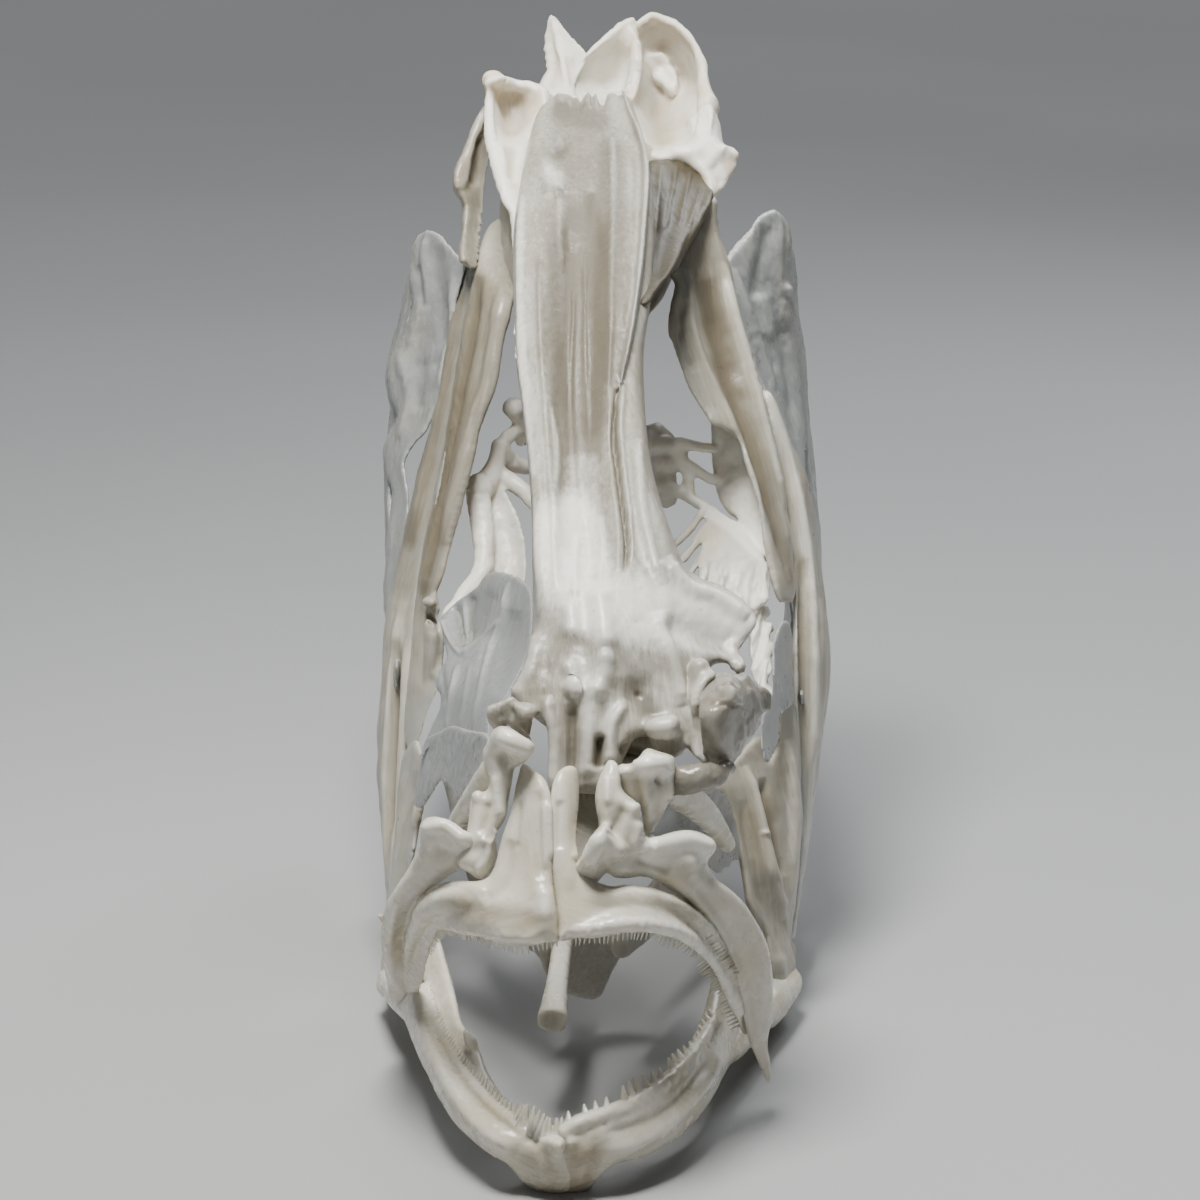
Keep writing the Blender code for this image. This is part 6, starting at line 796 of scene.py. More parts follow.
def opercle(side):
    s = bone("opercle_" + side, "thin", 210)
    if side == "ocular":
        edge = [(464, 263), (456, 255), (449, 246), (440, 236), (432, 231), (424, 232), (418, 239), (414, 250), (412, 266), (412, 284), (415, 300), (414, 312), (408, 326), (400, 343), (391, 359), (389, 372),
                (391, 394), (396, 408), (399, 419), (393, 431), (387, 443), (385, 457), (388, 472), (394, 489), (393, 505), (391, 525), (389, 551), (387, 578), (386, 605), (388, 622), (394, 612), (399, 585),
                (404, 555), (407, 528), (408, 505), (407, 491), (403, 463), (411, 447), (424, 431), (433, 413), (441, 397), (449, 345), (456, 300)]
        s.plate_of(edge, bars([(258, 460, 3.4), (240, 430, 10), (290, 416, 12.5, 450, 4.8), (345, 448, 5.2), (365, 395, 14), (395, 396, 13, 438, 6), (430, 420, 8, 396, 12), (460, 388, 12.5, 403, 9), (500, 396, 9.6, 406, 8), (600, 389, 8.6)]),
                   [(455, 270, 1.4), (430, 245, 1.5), (420, 300, 1.6), (400, 380, 1.7), (440, 380, 1.5), (395, 460, 1.7), (398, 540, 1.6), (390, 610, 1.3)], 4, grow=2.4)
        s.sheet([[(424, 240, 42), (424, 238, 49), (428, 238, 57), (438, 247, 67)],
                 [(416, 288, 43), (412, 286, 50), (414, 280, 59), (422, 276, 69)],
                 [(404, 340, 42.5), (402, 334, 49), (404, 322, 58), (412, 304, 70)],
                 [(393, 376, 40.5), (391, 370, 47), (396, 352, 57), (404, 332, 69)],
                 [(399, 420, 38), (396, 414, 44), (397, 392, 54), (402, 368, 65)],
                 [(390, 466, 35), (389, 462, 41), (394, 440, 50), (400, 418, 60)],
                 [(392, 540, 31), (390, 530, 38), (395, 508, 47), (401, 488, 57)],
                 [(392, 615, 27), (396, 602, 36), (404, 572, 46), (410, 545, 52)]], 1.05)
    else:
        edge = [(727, 263), (731, 255), (738, 247), (744, 240), (751, 232), (757, 221), (764, 215), (772, 212), (780, 216), (785, 223), (788, 232), (790, 248), (789, 268), (794, 280), (795, 288), (791, 300),
                (792, 312), (794, 330), (798, 359), (801, 392), (804, 424), (805, 450), (803, 474), (797, 458), (786, 434), (774, 408), (761, 378), (748, 346), (737, 312), (731, 284)]
        s.plate_of(edge, bars([(262, 729, 1.8), (225, 772, 10), (270, 786, 12.5, 748, 4.8), (310, 750, 4.0), (330, 790, 13.5), (390, 798, 12.5, 772, 4.6), (440, 803, 9.0, 790, 4.4), (470, 802, 5.0)]),
                   [(732, 262, 1.4), (770, 225, 1.5), (780, 290, 1.6), (790, 370, 1.8), (802, 460, 1.5)], 4, grow=2.4)
        s.sheet([[(778, 222, 43.5), (780, 222, 50), (777, 222, 57), (768, 236, 67)],
                 [(787, 266, 43.5), (790, 264, 50), (789, 266, 59), (782, 270, 69)],
                 [(788, 318, 42.5), (792, 314, 49), (791, 304, 59), (786, 296, 70)],
                 [(796, 370, 39.5), (800, 364, 46), (798, 348, 57), (792, 334, 68)],
                 [(800, 424, 35.5), (804, 418, 42), (802, 402, 52), (797, 384, 63)],
                 [(802, 470, 31), (808, 468, 38), (808, 460, 47), (803, 440, 57)],
                 [(812, 560, 26), (816, 552, 33), (812, 530, 44), (807, 500, 56)],
                 [(812, 660, 21), (812, 640, 31), (805, 595, 42), (797, 552, 52)]], 1.05)


def subopercle(side):
    s = bone("subopercle_" + side, "thin", 120)
    if side == "ocular":
        s.sheet([[("w", -19.8, 12.5, 31.4), ("w", -19.8, 23.5, 30.6), ("w", -19.7, 34, 31.2), ("w", -19.3, 43, 33.0), ("w", -19.4, 50.5, 36.0)],
                 [(401, 760, 23), (405, 715, 35), (409, 668, 47), (414, 612, 58), (416, 566, 65)],
                 [(401, 815, 22), (405, 775, 34), (410, 725, 45), (415, 668, 56), (418, 618, 63)],
                 [(402, 855, 21), (406, 825, 32), (410, 780, 41), (416, 725, 51), (420, 680, 57)]], 1.0)
    else:
        s.sheet([[("w", 19.5, 12, 28.8), ("w", 19.7, 22.5, 28.2), ("w", 19.6, 33, 30.2), ("w", 19.3, 43, 32.6), ("w", 19.4, 50.5, 35.4)],
                 [(804, 765, 23), (801, 718, 35), (796, 670, 47), (790, 616, 58), (789, 572, 65)],
                 [(800, 818, 22), (797, 778, 34), (792, 727, 45), (786, 670, 56), (785, 622, 63)],
                 [(795, 856, 21), (792, 826, 32), (788, 782, 41), (782, 728, 51), (780, 682, 57)]], 1.0)


def interopercle(side):
    s = bone("interopercle_" + side, "bone", 100)
    f = 1 if side == "ocular" else -1
    c = -21.2 if side == "ocular" else 19.6
    s.blade([("w", c + f * 1.6, 4.5, 6.5), ("w", c + f * 0.6, 14, 9.5), ("w", c + f * 0.6, 25, 10.5), ("w", c + f * 1.0, 33, 9.5)],
            [("w", c + f * 2.2, 5.0, 2.4), ("w", c + f * 1.8, 14, 1.6), ("w", c + f * 1.6, 25, -0.6), ("w", c + f * 1.8, 31, -0.4)],
            [1.0, 1.3, 1.6, 1.6], power=2.4)


def pterygoid(side):
    s = bone("entopterygoid_" + side, "thin", 220)
    if side == "ocular":
        edge = [(442, 618), (448, 611), (455, 604), (462, 599), (470, 593), (479, 586), (484, 577), (494, 572), (508, 574), (522, 580), (531, 592), (532, 615), (531, 640), (524, 663), (513, 685), (502, 701),
                (490, 712), (489, 730), (485, 744), (470, 741), (452, 736), (440, 742), (428, 748), (420, 760), (425, 745), (433, 725), (441, 708), (441, 695), (437, 688), (439, 673), (447, 658), (444, 640)]
        s.plate_of(edge, [(443, 620, 9.5), (462, 602, 10), (480, 586, 8), (461, 656, 3.0), (500, 600, 2.6), (528, 600, -3), (528, 640, -9), (500, 640, -1), (500, 700, -17), (478, 690, -8), (470, 725, -12), (486, 740, -20),
                          (440, 680, 1.5), (440, 715, -1), (424, 756, -3)], [(450, 620, 0.9), (500, 600, 1.2), (525, 640, 1.4), (480, 700, 1.5), (440, 700, 1.2), (430, 750, 1.1)], 4)
    else:
        edge = [(783, 621), (788, 624), (791, 640), (792, 670), (793, 700), (790, 707), (780, 713), (779, 730), (777, 741), (773, 752), (768, 763), (764, 755), (762, 742), (762, 727), (765, 712), (771, 697),
                (773, 670), (773, 646), (777, 632)]
        s.plate_of(edge, [(783, 624, 13), (775, 660, 8), (791, 690, 10), (765, 720, 1.0), (777, 735, 4.0), (768, 760, -1)], 1.1, 4)


def ectopterygoid(side):
    s = bone("ectopterygoid_" + side, "thin", 120)
    if side == "ocular":
        edge = [(426, 740), (440, 732), (452, 726), (464, 729), (476, 732), (488, 735), (488, 760), (482, 776), (476, 786), (472, 784), (469, 791), (465, 789), (462, 795), (457, 800), (453, 796), (454, 790), (450, 788),
                (448, 783), (445, 786), (442, 780), (438, 783), (433, 792), (427, 801), (421, 809), (415, 806), (413, 800), (417, 784), (421, 765)]
        s.plate_of(edge, [(430, 750, -3), (455, 742, -13), (484, 750, -23), (482, 775, -23), (456, 795, -16), (436, 782, -9), (417, 802, -2.4)], [(450, 760, 1.2), (484, 760, 1.4), (456, 798, 0.9), (417, 800, 1.0)], 4)
        s.plate_of([(424, 796), (438, 780), (456, 778), (474, 782), (477, 800), (474, 836), (456, 842), (434, 836), (420, 826), (418, 808)], [(424, 800, 1.0), (474, 790, -6), (474, 834, -8), (440, 836, -1), (450, 806, 3.5)], 1.2, 5)
    else:
        edge = [(652, 806), (662, 800), (676, 797), (692, 792), (711, 786), (724, 795), (731, 810), (736, 828), (739, 846), (738, 858), (731, 861), (728, 867), (723, 868), (720, 874), (714, 871), (708, 866),
                (703, 854), (690, 842), (672, 838), (656, 838), (650, 826)]
        s.plate_of(edge, [(654, 812, -26), (690, 795, -22), (715, 790, -15), (735, 830, -8), (736, 856, -6), (715, 868, -12), (690, 838, -19), (660, 834, -24), (705, 820, -13)], 1.2, 5)


# ================================================================ cheek, throat and gill basket
def lacrimal():
    s = bone("lacrimal_blind", "glassy", 220)
    edge = [(700, 684), (703, 676), (712, 673), (728, 673), (742, 675), (750, 679), (757, 685), (766, 694), (770, 703), (767, 709), (762, 714), (760, 726), (754, 734), (748, 741), (743, 749), (739, 756), (731, 764),
            (722, 766), (712, 763), (705, 760), (703, 745), (702, 728), (699, 706)]
    s.plate_of(edge, [(702, 680, -26.5), (742, 676, -25), (768, 702, -21.5), (756, 730, -24.4), (732, 762, -28.0), (706, 756, -29.6), (718, 712, -31.4), (732, 700, -30.6), (744, 712, -27.6), (722, 740, -30.6)],
               [(704, 690, 1.0), (735, 700, 1.6), (765, 702, 1.2), (720, 740, 1.4), (735, 760, 1.0)], 5)
    s.tube([(666, 783, -32.2), (682, 780, -32.8), (698, 778, -32.8), (714, 775, -31.8), (729, 768, -29.6)], [1.2, 1.35, 1.25, 1.0, 0.6], [1.1, 1.2, 1.1, 0.9, 0.6])
    s.tube([(760, 690, -22.8), (766, 697, -22.0), (767, 706, -22.2)], [0.5, 0.65, 0.4])


def throat():
    s = bone("basihyal", "jaw", 90)
    a, b = at(563, 940, -12), at(552, 1021, -26)
    along_rod = unit(b - a)
    side = unit(np.cross(along_rod, SIGHT))
    up = unit(np.cross(side, along_rod))
    steps = [(-0.5, 0.9, 0.85), (0.0, 0.95, 0.9), (0.35, 0.95, 0.92), (0.6, 1.02, 1.0), (0.85, 1.22, 1.15), (0.97, 1.36, 1.26), (1.0, 1.3, 1.2)]
    C = np.array([a + (b - a) * t for t, w, h in steps])
    A = np.array([side * w for t, w, h in steps])
    B = np.array([up * h for t, w, h in steps])
    n, k = len(C), 18
    ang = np.linspace(0, 2 * math.pi, k, endpoint=False)
    cs, sn = np.cos(ang), np.sin(ang)
    x, y = np.sign(cs) * np.abs(cs) ** 0.72, np.sign(sn) * np.abs(sn) ** 0.72
    verts = np.concatenate([C[i] + x[:, None] * A[i] + y[:, None] * B[i] for i in range(n)])
    faces = [(i * k + j, i * k + (j + 1) % k, (i + 1) * k + (j + 1) % k, (i + 1) * k + j) for i in range(n - 1) for j in range(k)]
    faces += [tuple(range(k))[::-1], tuple((n - 1) * k + j for j in range(k))]
    s.add(verts, faces)
    s = bone("urohyal", "bone", 100)
    s.plate_of([(536, 930), (552, 928), (580, 926), (610, 924), (636, 922), (655, 924), (648, 932), (635, 937), (627, 944), (621, 953), (613, 968), (607, 982), (602, 993), (594, 998), (584, 998), (572, 995), (560, 990),
                (549, 979), (544, 966), (540, 952), (537, 942)], [(540, 935, -14), (650, 925, -8), (600, 990, -6), (550, 975, -11), (590, 950, -8)], [(545, 940, 1.6), (600, 960, 1.6), (640, 930, 1.4)], 8)


def ceratohyal(side):
    s = bone("ceratohyal_" + side, "bone", 90)
    f = -1 if side == "ocular" else 1
    c = -2.6 if side == "ocular" else -0.6
    s.blade([("w", c + f * 2.2, -14, 13.6), ("w", c + f * 5.5, -4, 15), ("w", c + f * 9.5, 6, 18), ("w", c + f * 12.2, 14, 23.5)],
            [("w", c + f * 2.4, -13, 10.6), ("w", c + f * 5.8, -3, 9.6), ("w", c + f * 9.8, 8, 11), ("w", c + f * 12.6, 16.5, 19.5)],
            [1.8, 1.6, 1.6, 1.4], power=2.4)


def gills(side):
    s = bone("gill_arches_" + side, "bright", 330)
    if side == "ocular":
        s.lump((514, 408, 28), [1.2, 1.2, 1.0])
        s.tube([(514, 410, 28), (520, 424, 28.4), (522, 440, 29)], [0.9, 0.7, 0.7])
        s.tube([(524, 425, 29), (508, 438, 27), (500, 448, 26)], [0.7, 0.7, 0.7])
        s.tube([(500, 447, 26), (512, 462, 27), (527, 468, 28)], [0.9, 0.9, 0.7])
        s.tube([(500, 447, 26), (494, 470, 25), (480, 488, 23.5)], [0.8, 1.0, 1.3])
        s.lump((479, 488, 23), [1.3, 1.3, 1.6])
        s.blade([(476, 490, 23), (483, 530, 21), (486, 570, 18), (480, 612, 14)], [(500, 480, 24.5), (520, 520, 22), (528, 560, 19), (520, 610, 15)],
                [1.6, 1.4, 1.2, 0.8], bow=1.4)
        s.tube([(478, 500, 22.5), (484, 537, 20), (481, 573, 17), (464, 596, 14), (448, 616, 11.5)], [1.2, 1.1, 1.0, 0.9, 0.7])
        s.tube([(506, 478, 25), (524, 492, 24), (536, 506, 23)], [0.9, 0.8, 0.7])
    else:
        s.lump((658, 444, 28), [2.0, 1.6, 1.5])
        s.tube([(655, 434, 28), (662, 456, 27.5), (664, 482, 26.5), (668, 497, 26)], [1.2, 1.5, 1.3, 1.1])
        s.tube([(660, 446, 27), (672, 446, 26.4), (684, 444, 26), (708, 448, 26), (736, 453, 26)], [1.2, 0.9, 0.5, 0.42, 0.45])
        s.tube([(664, 462, 26.5), (680, 464, 26), (694, 470, 25.5), (714, 480, 25), (744, 486, 25)], [1.2, 0.8, 0.5, 0.5, 0.5])
        s.tube([(658, 484, 26), (676, 490, 25), (694, 500, 24), (720, 518, 22), (746, 538, 20), (765, 556, 18)], [1.0, 0.6, 0.55, 0.6, 0.65, 0.55])
        s.tube([(684, 444, 26), (680, 456, 26), (686, 470, 25.5), (690, 498, 24)], [0.5, 0.6, 0.6, 0.5])
        s.lump((678, 452, 26.4), [1.0, 0.9, 1.0])
        s.lump((682, 492, 24.6), [0.9, 0.8, 0.7])
        for (u0, v0), (u1, v1), y0 in (((706, 508), (668, 552), 23), ((714, 514), (678, 566), 22), ((722, 520), (690, 574), 21.4), ((732, 528), (704, 580), 20.6)):
            s.tube([(u0, v0, y0), ((u0 + u1) / 2 + 2, (v0 + v1) / 2, y0 - 3.6), (u1, v1, y0 - 8)], [0.45, 0.42, 0.32], [0.5, 0.45, 0.35])
        s.plate_of([(714, 516), (736, 530), (752, 545), (764, 560), (770, 580), (762, 604), (748, 606), (742, 590), (724, 578), (704, 578), (700, 560)], [(716, 520, 21), (766, 566, 16), (744, 600, 12), (704, 570, 13.6)], 0.9, 5)
        s.plate_of([(700, 580), (702, 572), (705, 565), (708, 574), (711, 580), (713, 572), (715, 568), (718, 576), (720, 582), (722, 572), (725, 566), (728, 574), (730, 580), (733, 570), (737, 570), (738, 580), (741, 584),
                    (743, 576), (747, 580), (751, 588), (752, 602), (749, 614), (742, 624), (728, 622), (712, 606)], [(705, 570, 13), (725, 570, 15), (748, 586, 14), (740, 620, 9), (712, 600, 10)], 1.3, 4)
        s.plate_of([(751, 604), (756, 594), (762, 592), (762, 600), (761, 606), (766, 608), (769, 613), (765, 618), (764, 623), (770, 625), (774, 630), (769, 634), (767, 640), (772, 645), (774, 652), (768, 656), (768, 662),
                    (773, 668), (770, 674), (766, 680), (770, 690), (768, 698), (758, 694), (753, 670), (749, 640)], [(756, 596, 14), (770, 630, 12), (755, 640, 10), (768, 690, 6), (757, 690, 6)], 1.3, 4)
        s.tube([(738, 600, 11.6), (750, 610, 12.0), (758, 622, 12.0), (762, 650, 9.8)], [0.7, 0.75, 0.75, 0.6])
        s.plate_of([(713, 416), (724, 424), (741, 437), (749, 466), (759, 500), (767, 542), (758, 548), (742, 524), (724, 506), (716, 484), (713, 450)], [(716, 420, 27), (745, 440, 25), (720, 490, 25), (762, 540, 19)], 1.3, 5)


def posttemporal():
    s = bone("posttemporal_ocular", "bone", 130)
    edge = [(485, 104), (489, 108), (494, 112), (491, 138), (488, 166), (484, 194), (483, 215), (481, 239), (480, 252), (477, 266), (472, 268), (466, 264), (461, 262), (461, 240), (463, 224), (464, 208), (460, 198), (454, 190),
            (453, 182), (454, 174), (457, 166), (464, 147), (473, 126), (480, 112)]
    s.plate_of(edge, [(488, 108, 42.2), (473, 130, 41.4), (490, 140, 41.0), (457, 170, 39.0), (486, 180, 39.6), (456, 190, 37.8), (470, 200, 37.0), (482, 220, 36.0), (464, 240, 33.2), (470, 264, 30.6)],
               [(488, 108, 1.4), (478, 140, 2.8), (470, 180, 3.4), (470, 210, 2.4), (470, 262, 1.6)], 8)


def all_bones(many):
    """Lay out every bone; many only switches the teeth on, and each jaw sets its own count of them."""
    frontoethmoid()
    supraoccipital()
    otic_ocular()
    otic_blind()
    wing_blind()
    braincase()
    parasphenoid()
    premaxilla_ocular(many)
    premaxilla_blind(many)
    maxilla_ocular()
    maxilla_blind()
    palatine_ocular()
    palatine_blind()
    for side in ("ocular", "blind"):
        dentary(side, many)
    articular_ocular()
    articular_blind()
    for side in ("ocular", "blind"):
        hyomandibula(side)
        preopercle(side)
        quadrate(side)
        pterygoid(side)
        ectopterygoid(side)
        opercle(side)
        subopercle(side)
        interopercle(side)
        ceratohyal(side)
        gills(side)
    lacrimal()
    throat()
    posttemporal()

# ---------------------------------------------------------------- carving tools
def seen(P):
    """Columns, rows and depths in the front view of world points (mm)."""
    q = P - MID
    w = q[:, 1] * _C - q[:, 2] * _S
    up = q[:, 1] * _S + q[:, 2] * _C
    k = _F / (VIEW_DIST + w)
    return VIEW_MID[0] + q[:, 0] * k, VIEW_MID[1] - up * k, w


def lattice(i, seed):
    """Repeatable values from -1 to 1 at whole-number points."""
    i = i.astype(np.int64)
    h = (i[..., 0] * 374761393 + i[..., 1] * 668265263 + i[..., 2] * 2147483647 + seed * 1274126177) & 0xFFFFFFFF
    h = ((h ^ (h >> 13)) * 1103515245 + 12345) & 0xFFFFFFFF
    h = (h ^ (h >> 16)) & 0xFFFFFFFF
    h = (h * 2654435761) & 0xFFFFFFFF
    return (h >> 8) / float(1 << 23) - 1.0


def noise(Q, seed=0):
    """Smooth value noise at points, about -1 to 1."""
    i = np.floor(Q)
    f = Q - i
    f = f * f * (3 - 2 * f)
    out = 0
    for dx in (0, 1):
        for dy in (0, 1):
            for dz in (0, 1):
                w = (f[:, 0] if dx else 1 - f[:, 0]) * (f[:, 1] if dy else 1 - f[:, 1]) * (f[:, 2] if dz else 1 - f[:, 2])
                out = out + w * lattice(i + (dx, dy, dz), seed)
    return out


def fractal(Q, octaves=3, seed=0):
    out, amp = 0, 1.0
    for k in range(octaves):
        out = out + amp * noise(Q * 2.0**k + 17.3 * k, seed + k)
        amp *= 0.5
    return out / 1.75


class Skin:
    """A dense mesh's points and normals in millimetres, with what is needed to push them about."""

    def __init__(self, mesh):
        self.mesh = mesh
        n = len(mesh.vertices)
        self.n = n
        co = np.empty(n * 3, np.float32)
        mesh.vertices.foreach_get("co", co)
        self.P = co.reshape(-1, 3).astype(float) / MM
        e = np.empty(len(mesh.edges) * 2, np.int32)
        mesh.edges.foreach_get("vertices", e)
        self.E = e.reshape(-1, 2)
        # painted shade of sunk strokes and painted highlight of raised ones, kept for the colour
        self.carved_shade_and_highlight = np.zeros(n)
        self.shade = np.zeros(n)
        self.deg = np.maximum(np.bincount(self.E.ravel(), minlength=n), 1)[:, None]
        self.refresh()

    def refresh(self):
        no = np.empty(self.n * 3, np.float32)
        self.mesh.vertices.foreach_set("co", (self.P * MM).astype(np.float32).ravel())
        self.mesh.update()
        self.mesh.vertex_normals.foreach_get("vector", no)
        self.N = no.reshape(-1, 3).astype(float)
        self.u, self.v, self.w = seen(self.P)
        self.facing = -(self.N @ SIGHT)

    def mean(self, X):
        a, b = self.E[:, 0], self.E[:, 1]
        out = np.empty_like(X)
        for k in range(X.shape[1]):
            out[:, k] = np.bincount(a, X[b, k], self.n) + np.bincount(b, X[a, k], self.n)
        return out / self.deg

    def blurred(self, X, times):
        X = X.reshape(self.n, -1).copy()
        for _ in range(times):
            X = X * 0.4 + self.mean(X) * 0.6
        return X

    def front(self, low=0.05, high=0.45):
        t = np.clip((self.facing - low) / (high - low), 0, 1)
        return t * t * (3 - 2 * t)

    def push(self, amount):
        self.P = self.P + self.N * np.asarray(amount)[:, None]

    def off(self, path):
        """Distance in front-view units from each point to a line, how far along it, and the side."""
        L = np.asarray([p[:2] for p in path], float)
        best = np.full(self.n, 1e9)
        along_ = np.zeros(self.n)
        side = np.zeros(self.n)
        q = np.stack([self.u, self.v], axis=1)
        s0 = 0.0
        total = max(np.linalg.norm(np.diff(L, axis=0), axis=1).sum(), 1e-9) if len(L) > 1 else 1.0
        if len(L) == 1:
            return np.linalg.norm(q - L[0], axis=1), along_, side
        for a, b in zip(L[:-1], L[1:]):
            d = b - a
            m = max(np.linalg.norm(d), 1e-9)
            t = np.clip(((q - a) @ d) / m**2, 0, 1)
            near = a + t[:, None] * d
            r = np.linalg.norm(q - near, axis=1)
            take = r < best
            best[take] = r[take]
            along_[take] = (s0 + t[take] * m) / total
            cross = d[0] * (q[:, 1] - a[1]) - d[1] * (q[:, 0] - a[0])
            side[take] = np.sign(cross[take])
            s0 += m
        return best, along_, side

    def stroke(self, path, wide, high, taper=True, back=False, depth=None):
        """Raise (high > 0) or sink (high < 0) a soft-edged line on the surface that faces the front."""
        if len(path) > 2:
            path = curve([p[:2] for p in path], 6 * len(path), dims=2)
        d, t, _ = self.off(path)
        h = np.interp(t, np.linspace(0, 1, len(high)), high) if np.ndim(high) else high
        wd = np.interp(t, np.linspace(0, 1, len(wide)), wide) if np.ndim(wide) else wide
        g = np.exp(-(d / wd) ** 2)
        if taper and len(path) > 1 and np.linalg.norm(np.diff(np.asarray([q[:2] for q in path], float), axis=0), axis=1).sum() > 9 * np.mean(wide):
            g = g * np.clip(np.minimum(t, 1 - t) / 0.12, 0, 1) ** 0.7
        if depth is not None:
            g = g * (np.abs(self.w - depth[0]) < depth[1])
        face = self.front()
        if back:
            face = 1.0
        self.push(g * h * face)
        # the carving is painted into the colour too: sunk lines as painted shade, raised lines as painted highlight
        self.carved_shade_and_highlight -= g * h * face

    def tint(self, path, wide, amount):
        """Darken (amount > 0) or lighten (amount < 0) along a soft line without moving the surface: dried tissue and
        bleaching in places, painted shade and painted light in others.
        """
        if len(path) > 2:
            path = curve([p[:2] for p in path], 6 * len(path), dims=2)
        d, t, _ = self.off(path)
        wd = np.interp(t, np.linspace(0, 1, len(wide)), wide) if np.ndim(wide) else wide
        self.shade += np.exp(-(d / wd) ** 4) * amount * self.front(-0.1, 0.25)

    def ripple(self, grain, fine, coarse, high, seed=1, mask=1.0, octaves=2):
        """Fine ridges that follow the grain: quick across it, slow along it."""
        Q = np.stack([grain[:, 0] * fine, grain[:, 1] * coarse, grain[:, 2] * fine], axis=1)
        self.push(high * fractal(Q, octaves, seed) * mask)

    def rough(self, scale, high, seed=1, mask=1.0, octaves=3):
        self.push(high * fractal(self.P * scale, octaves, seed) * mask)


def grain_axis(skin, a, b=None):
    """Fibres that run along one world direction."""
    a = unit(np.asarray(a, float))
    b = unit(np.cross(a, [0.0, 1.0, 0.2] if b is None else b))
    c = np.cross(a, b)
    return np.stack([skin.P @ b, skin.P @ a, skin.P @ c], axis=1)


def grain_path(skin, path):
    """Fibres that run along a line of the front view."""
    d, t, side = skin.off(curve([p[:2] for p in path], 6 * len(path), dims=2) if len(path) > 2 else path)
    L = np.asarray([p[:2] for p in path], float)
    total = np.linalg.norm(np.diff(L, axis=0), axis=1).sum() * UNIT
    return np.stack([d * side * UNIT, t * total, skin.w * 0.7], axis=1)


def grain_fan(skin, hub, stretch=1.0):
    """Fibres that fan out from a world point (mm)."""
    q = skin.P - np.asarray(hub, float)
    r = np.linalg.norm(q, axis=1)
    d = q / np.maximum(r, 1e-6)[:, None]
    return np.stack([d[:, 1] * 14 * stretch, r, d[:, 2] * 14 * stretch], axis=1)

# ---------------------------------------------------------------- relief of each bone
RELIEF = {}                      # bone -> function that carves it and returns its grain


def relief(*names):
    def mark(f):
        for n in names:
            RELIEF[n] = f
        return f
    return mark


def carve(k, strokes):
    """Each stroke is (path, width in front-view units, height in mm)."""
    for path, wide, high in strokes:
        k.stroke(path, wide, high)
    k.refresh()


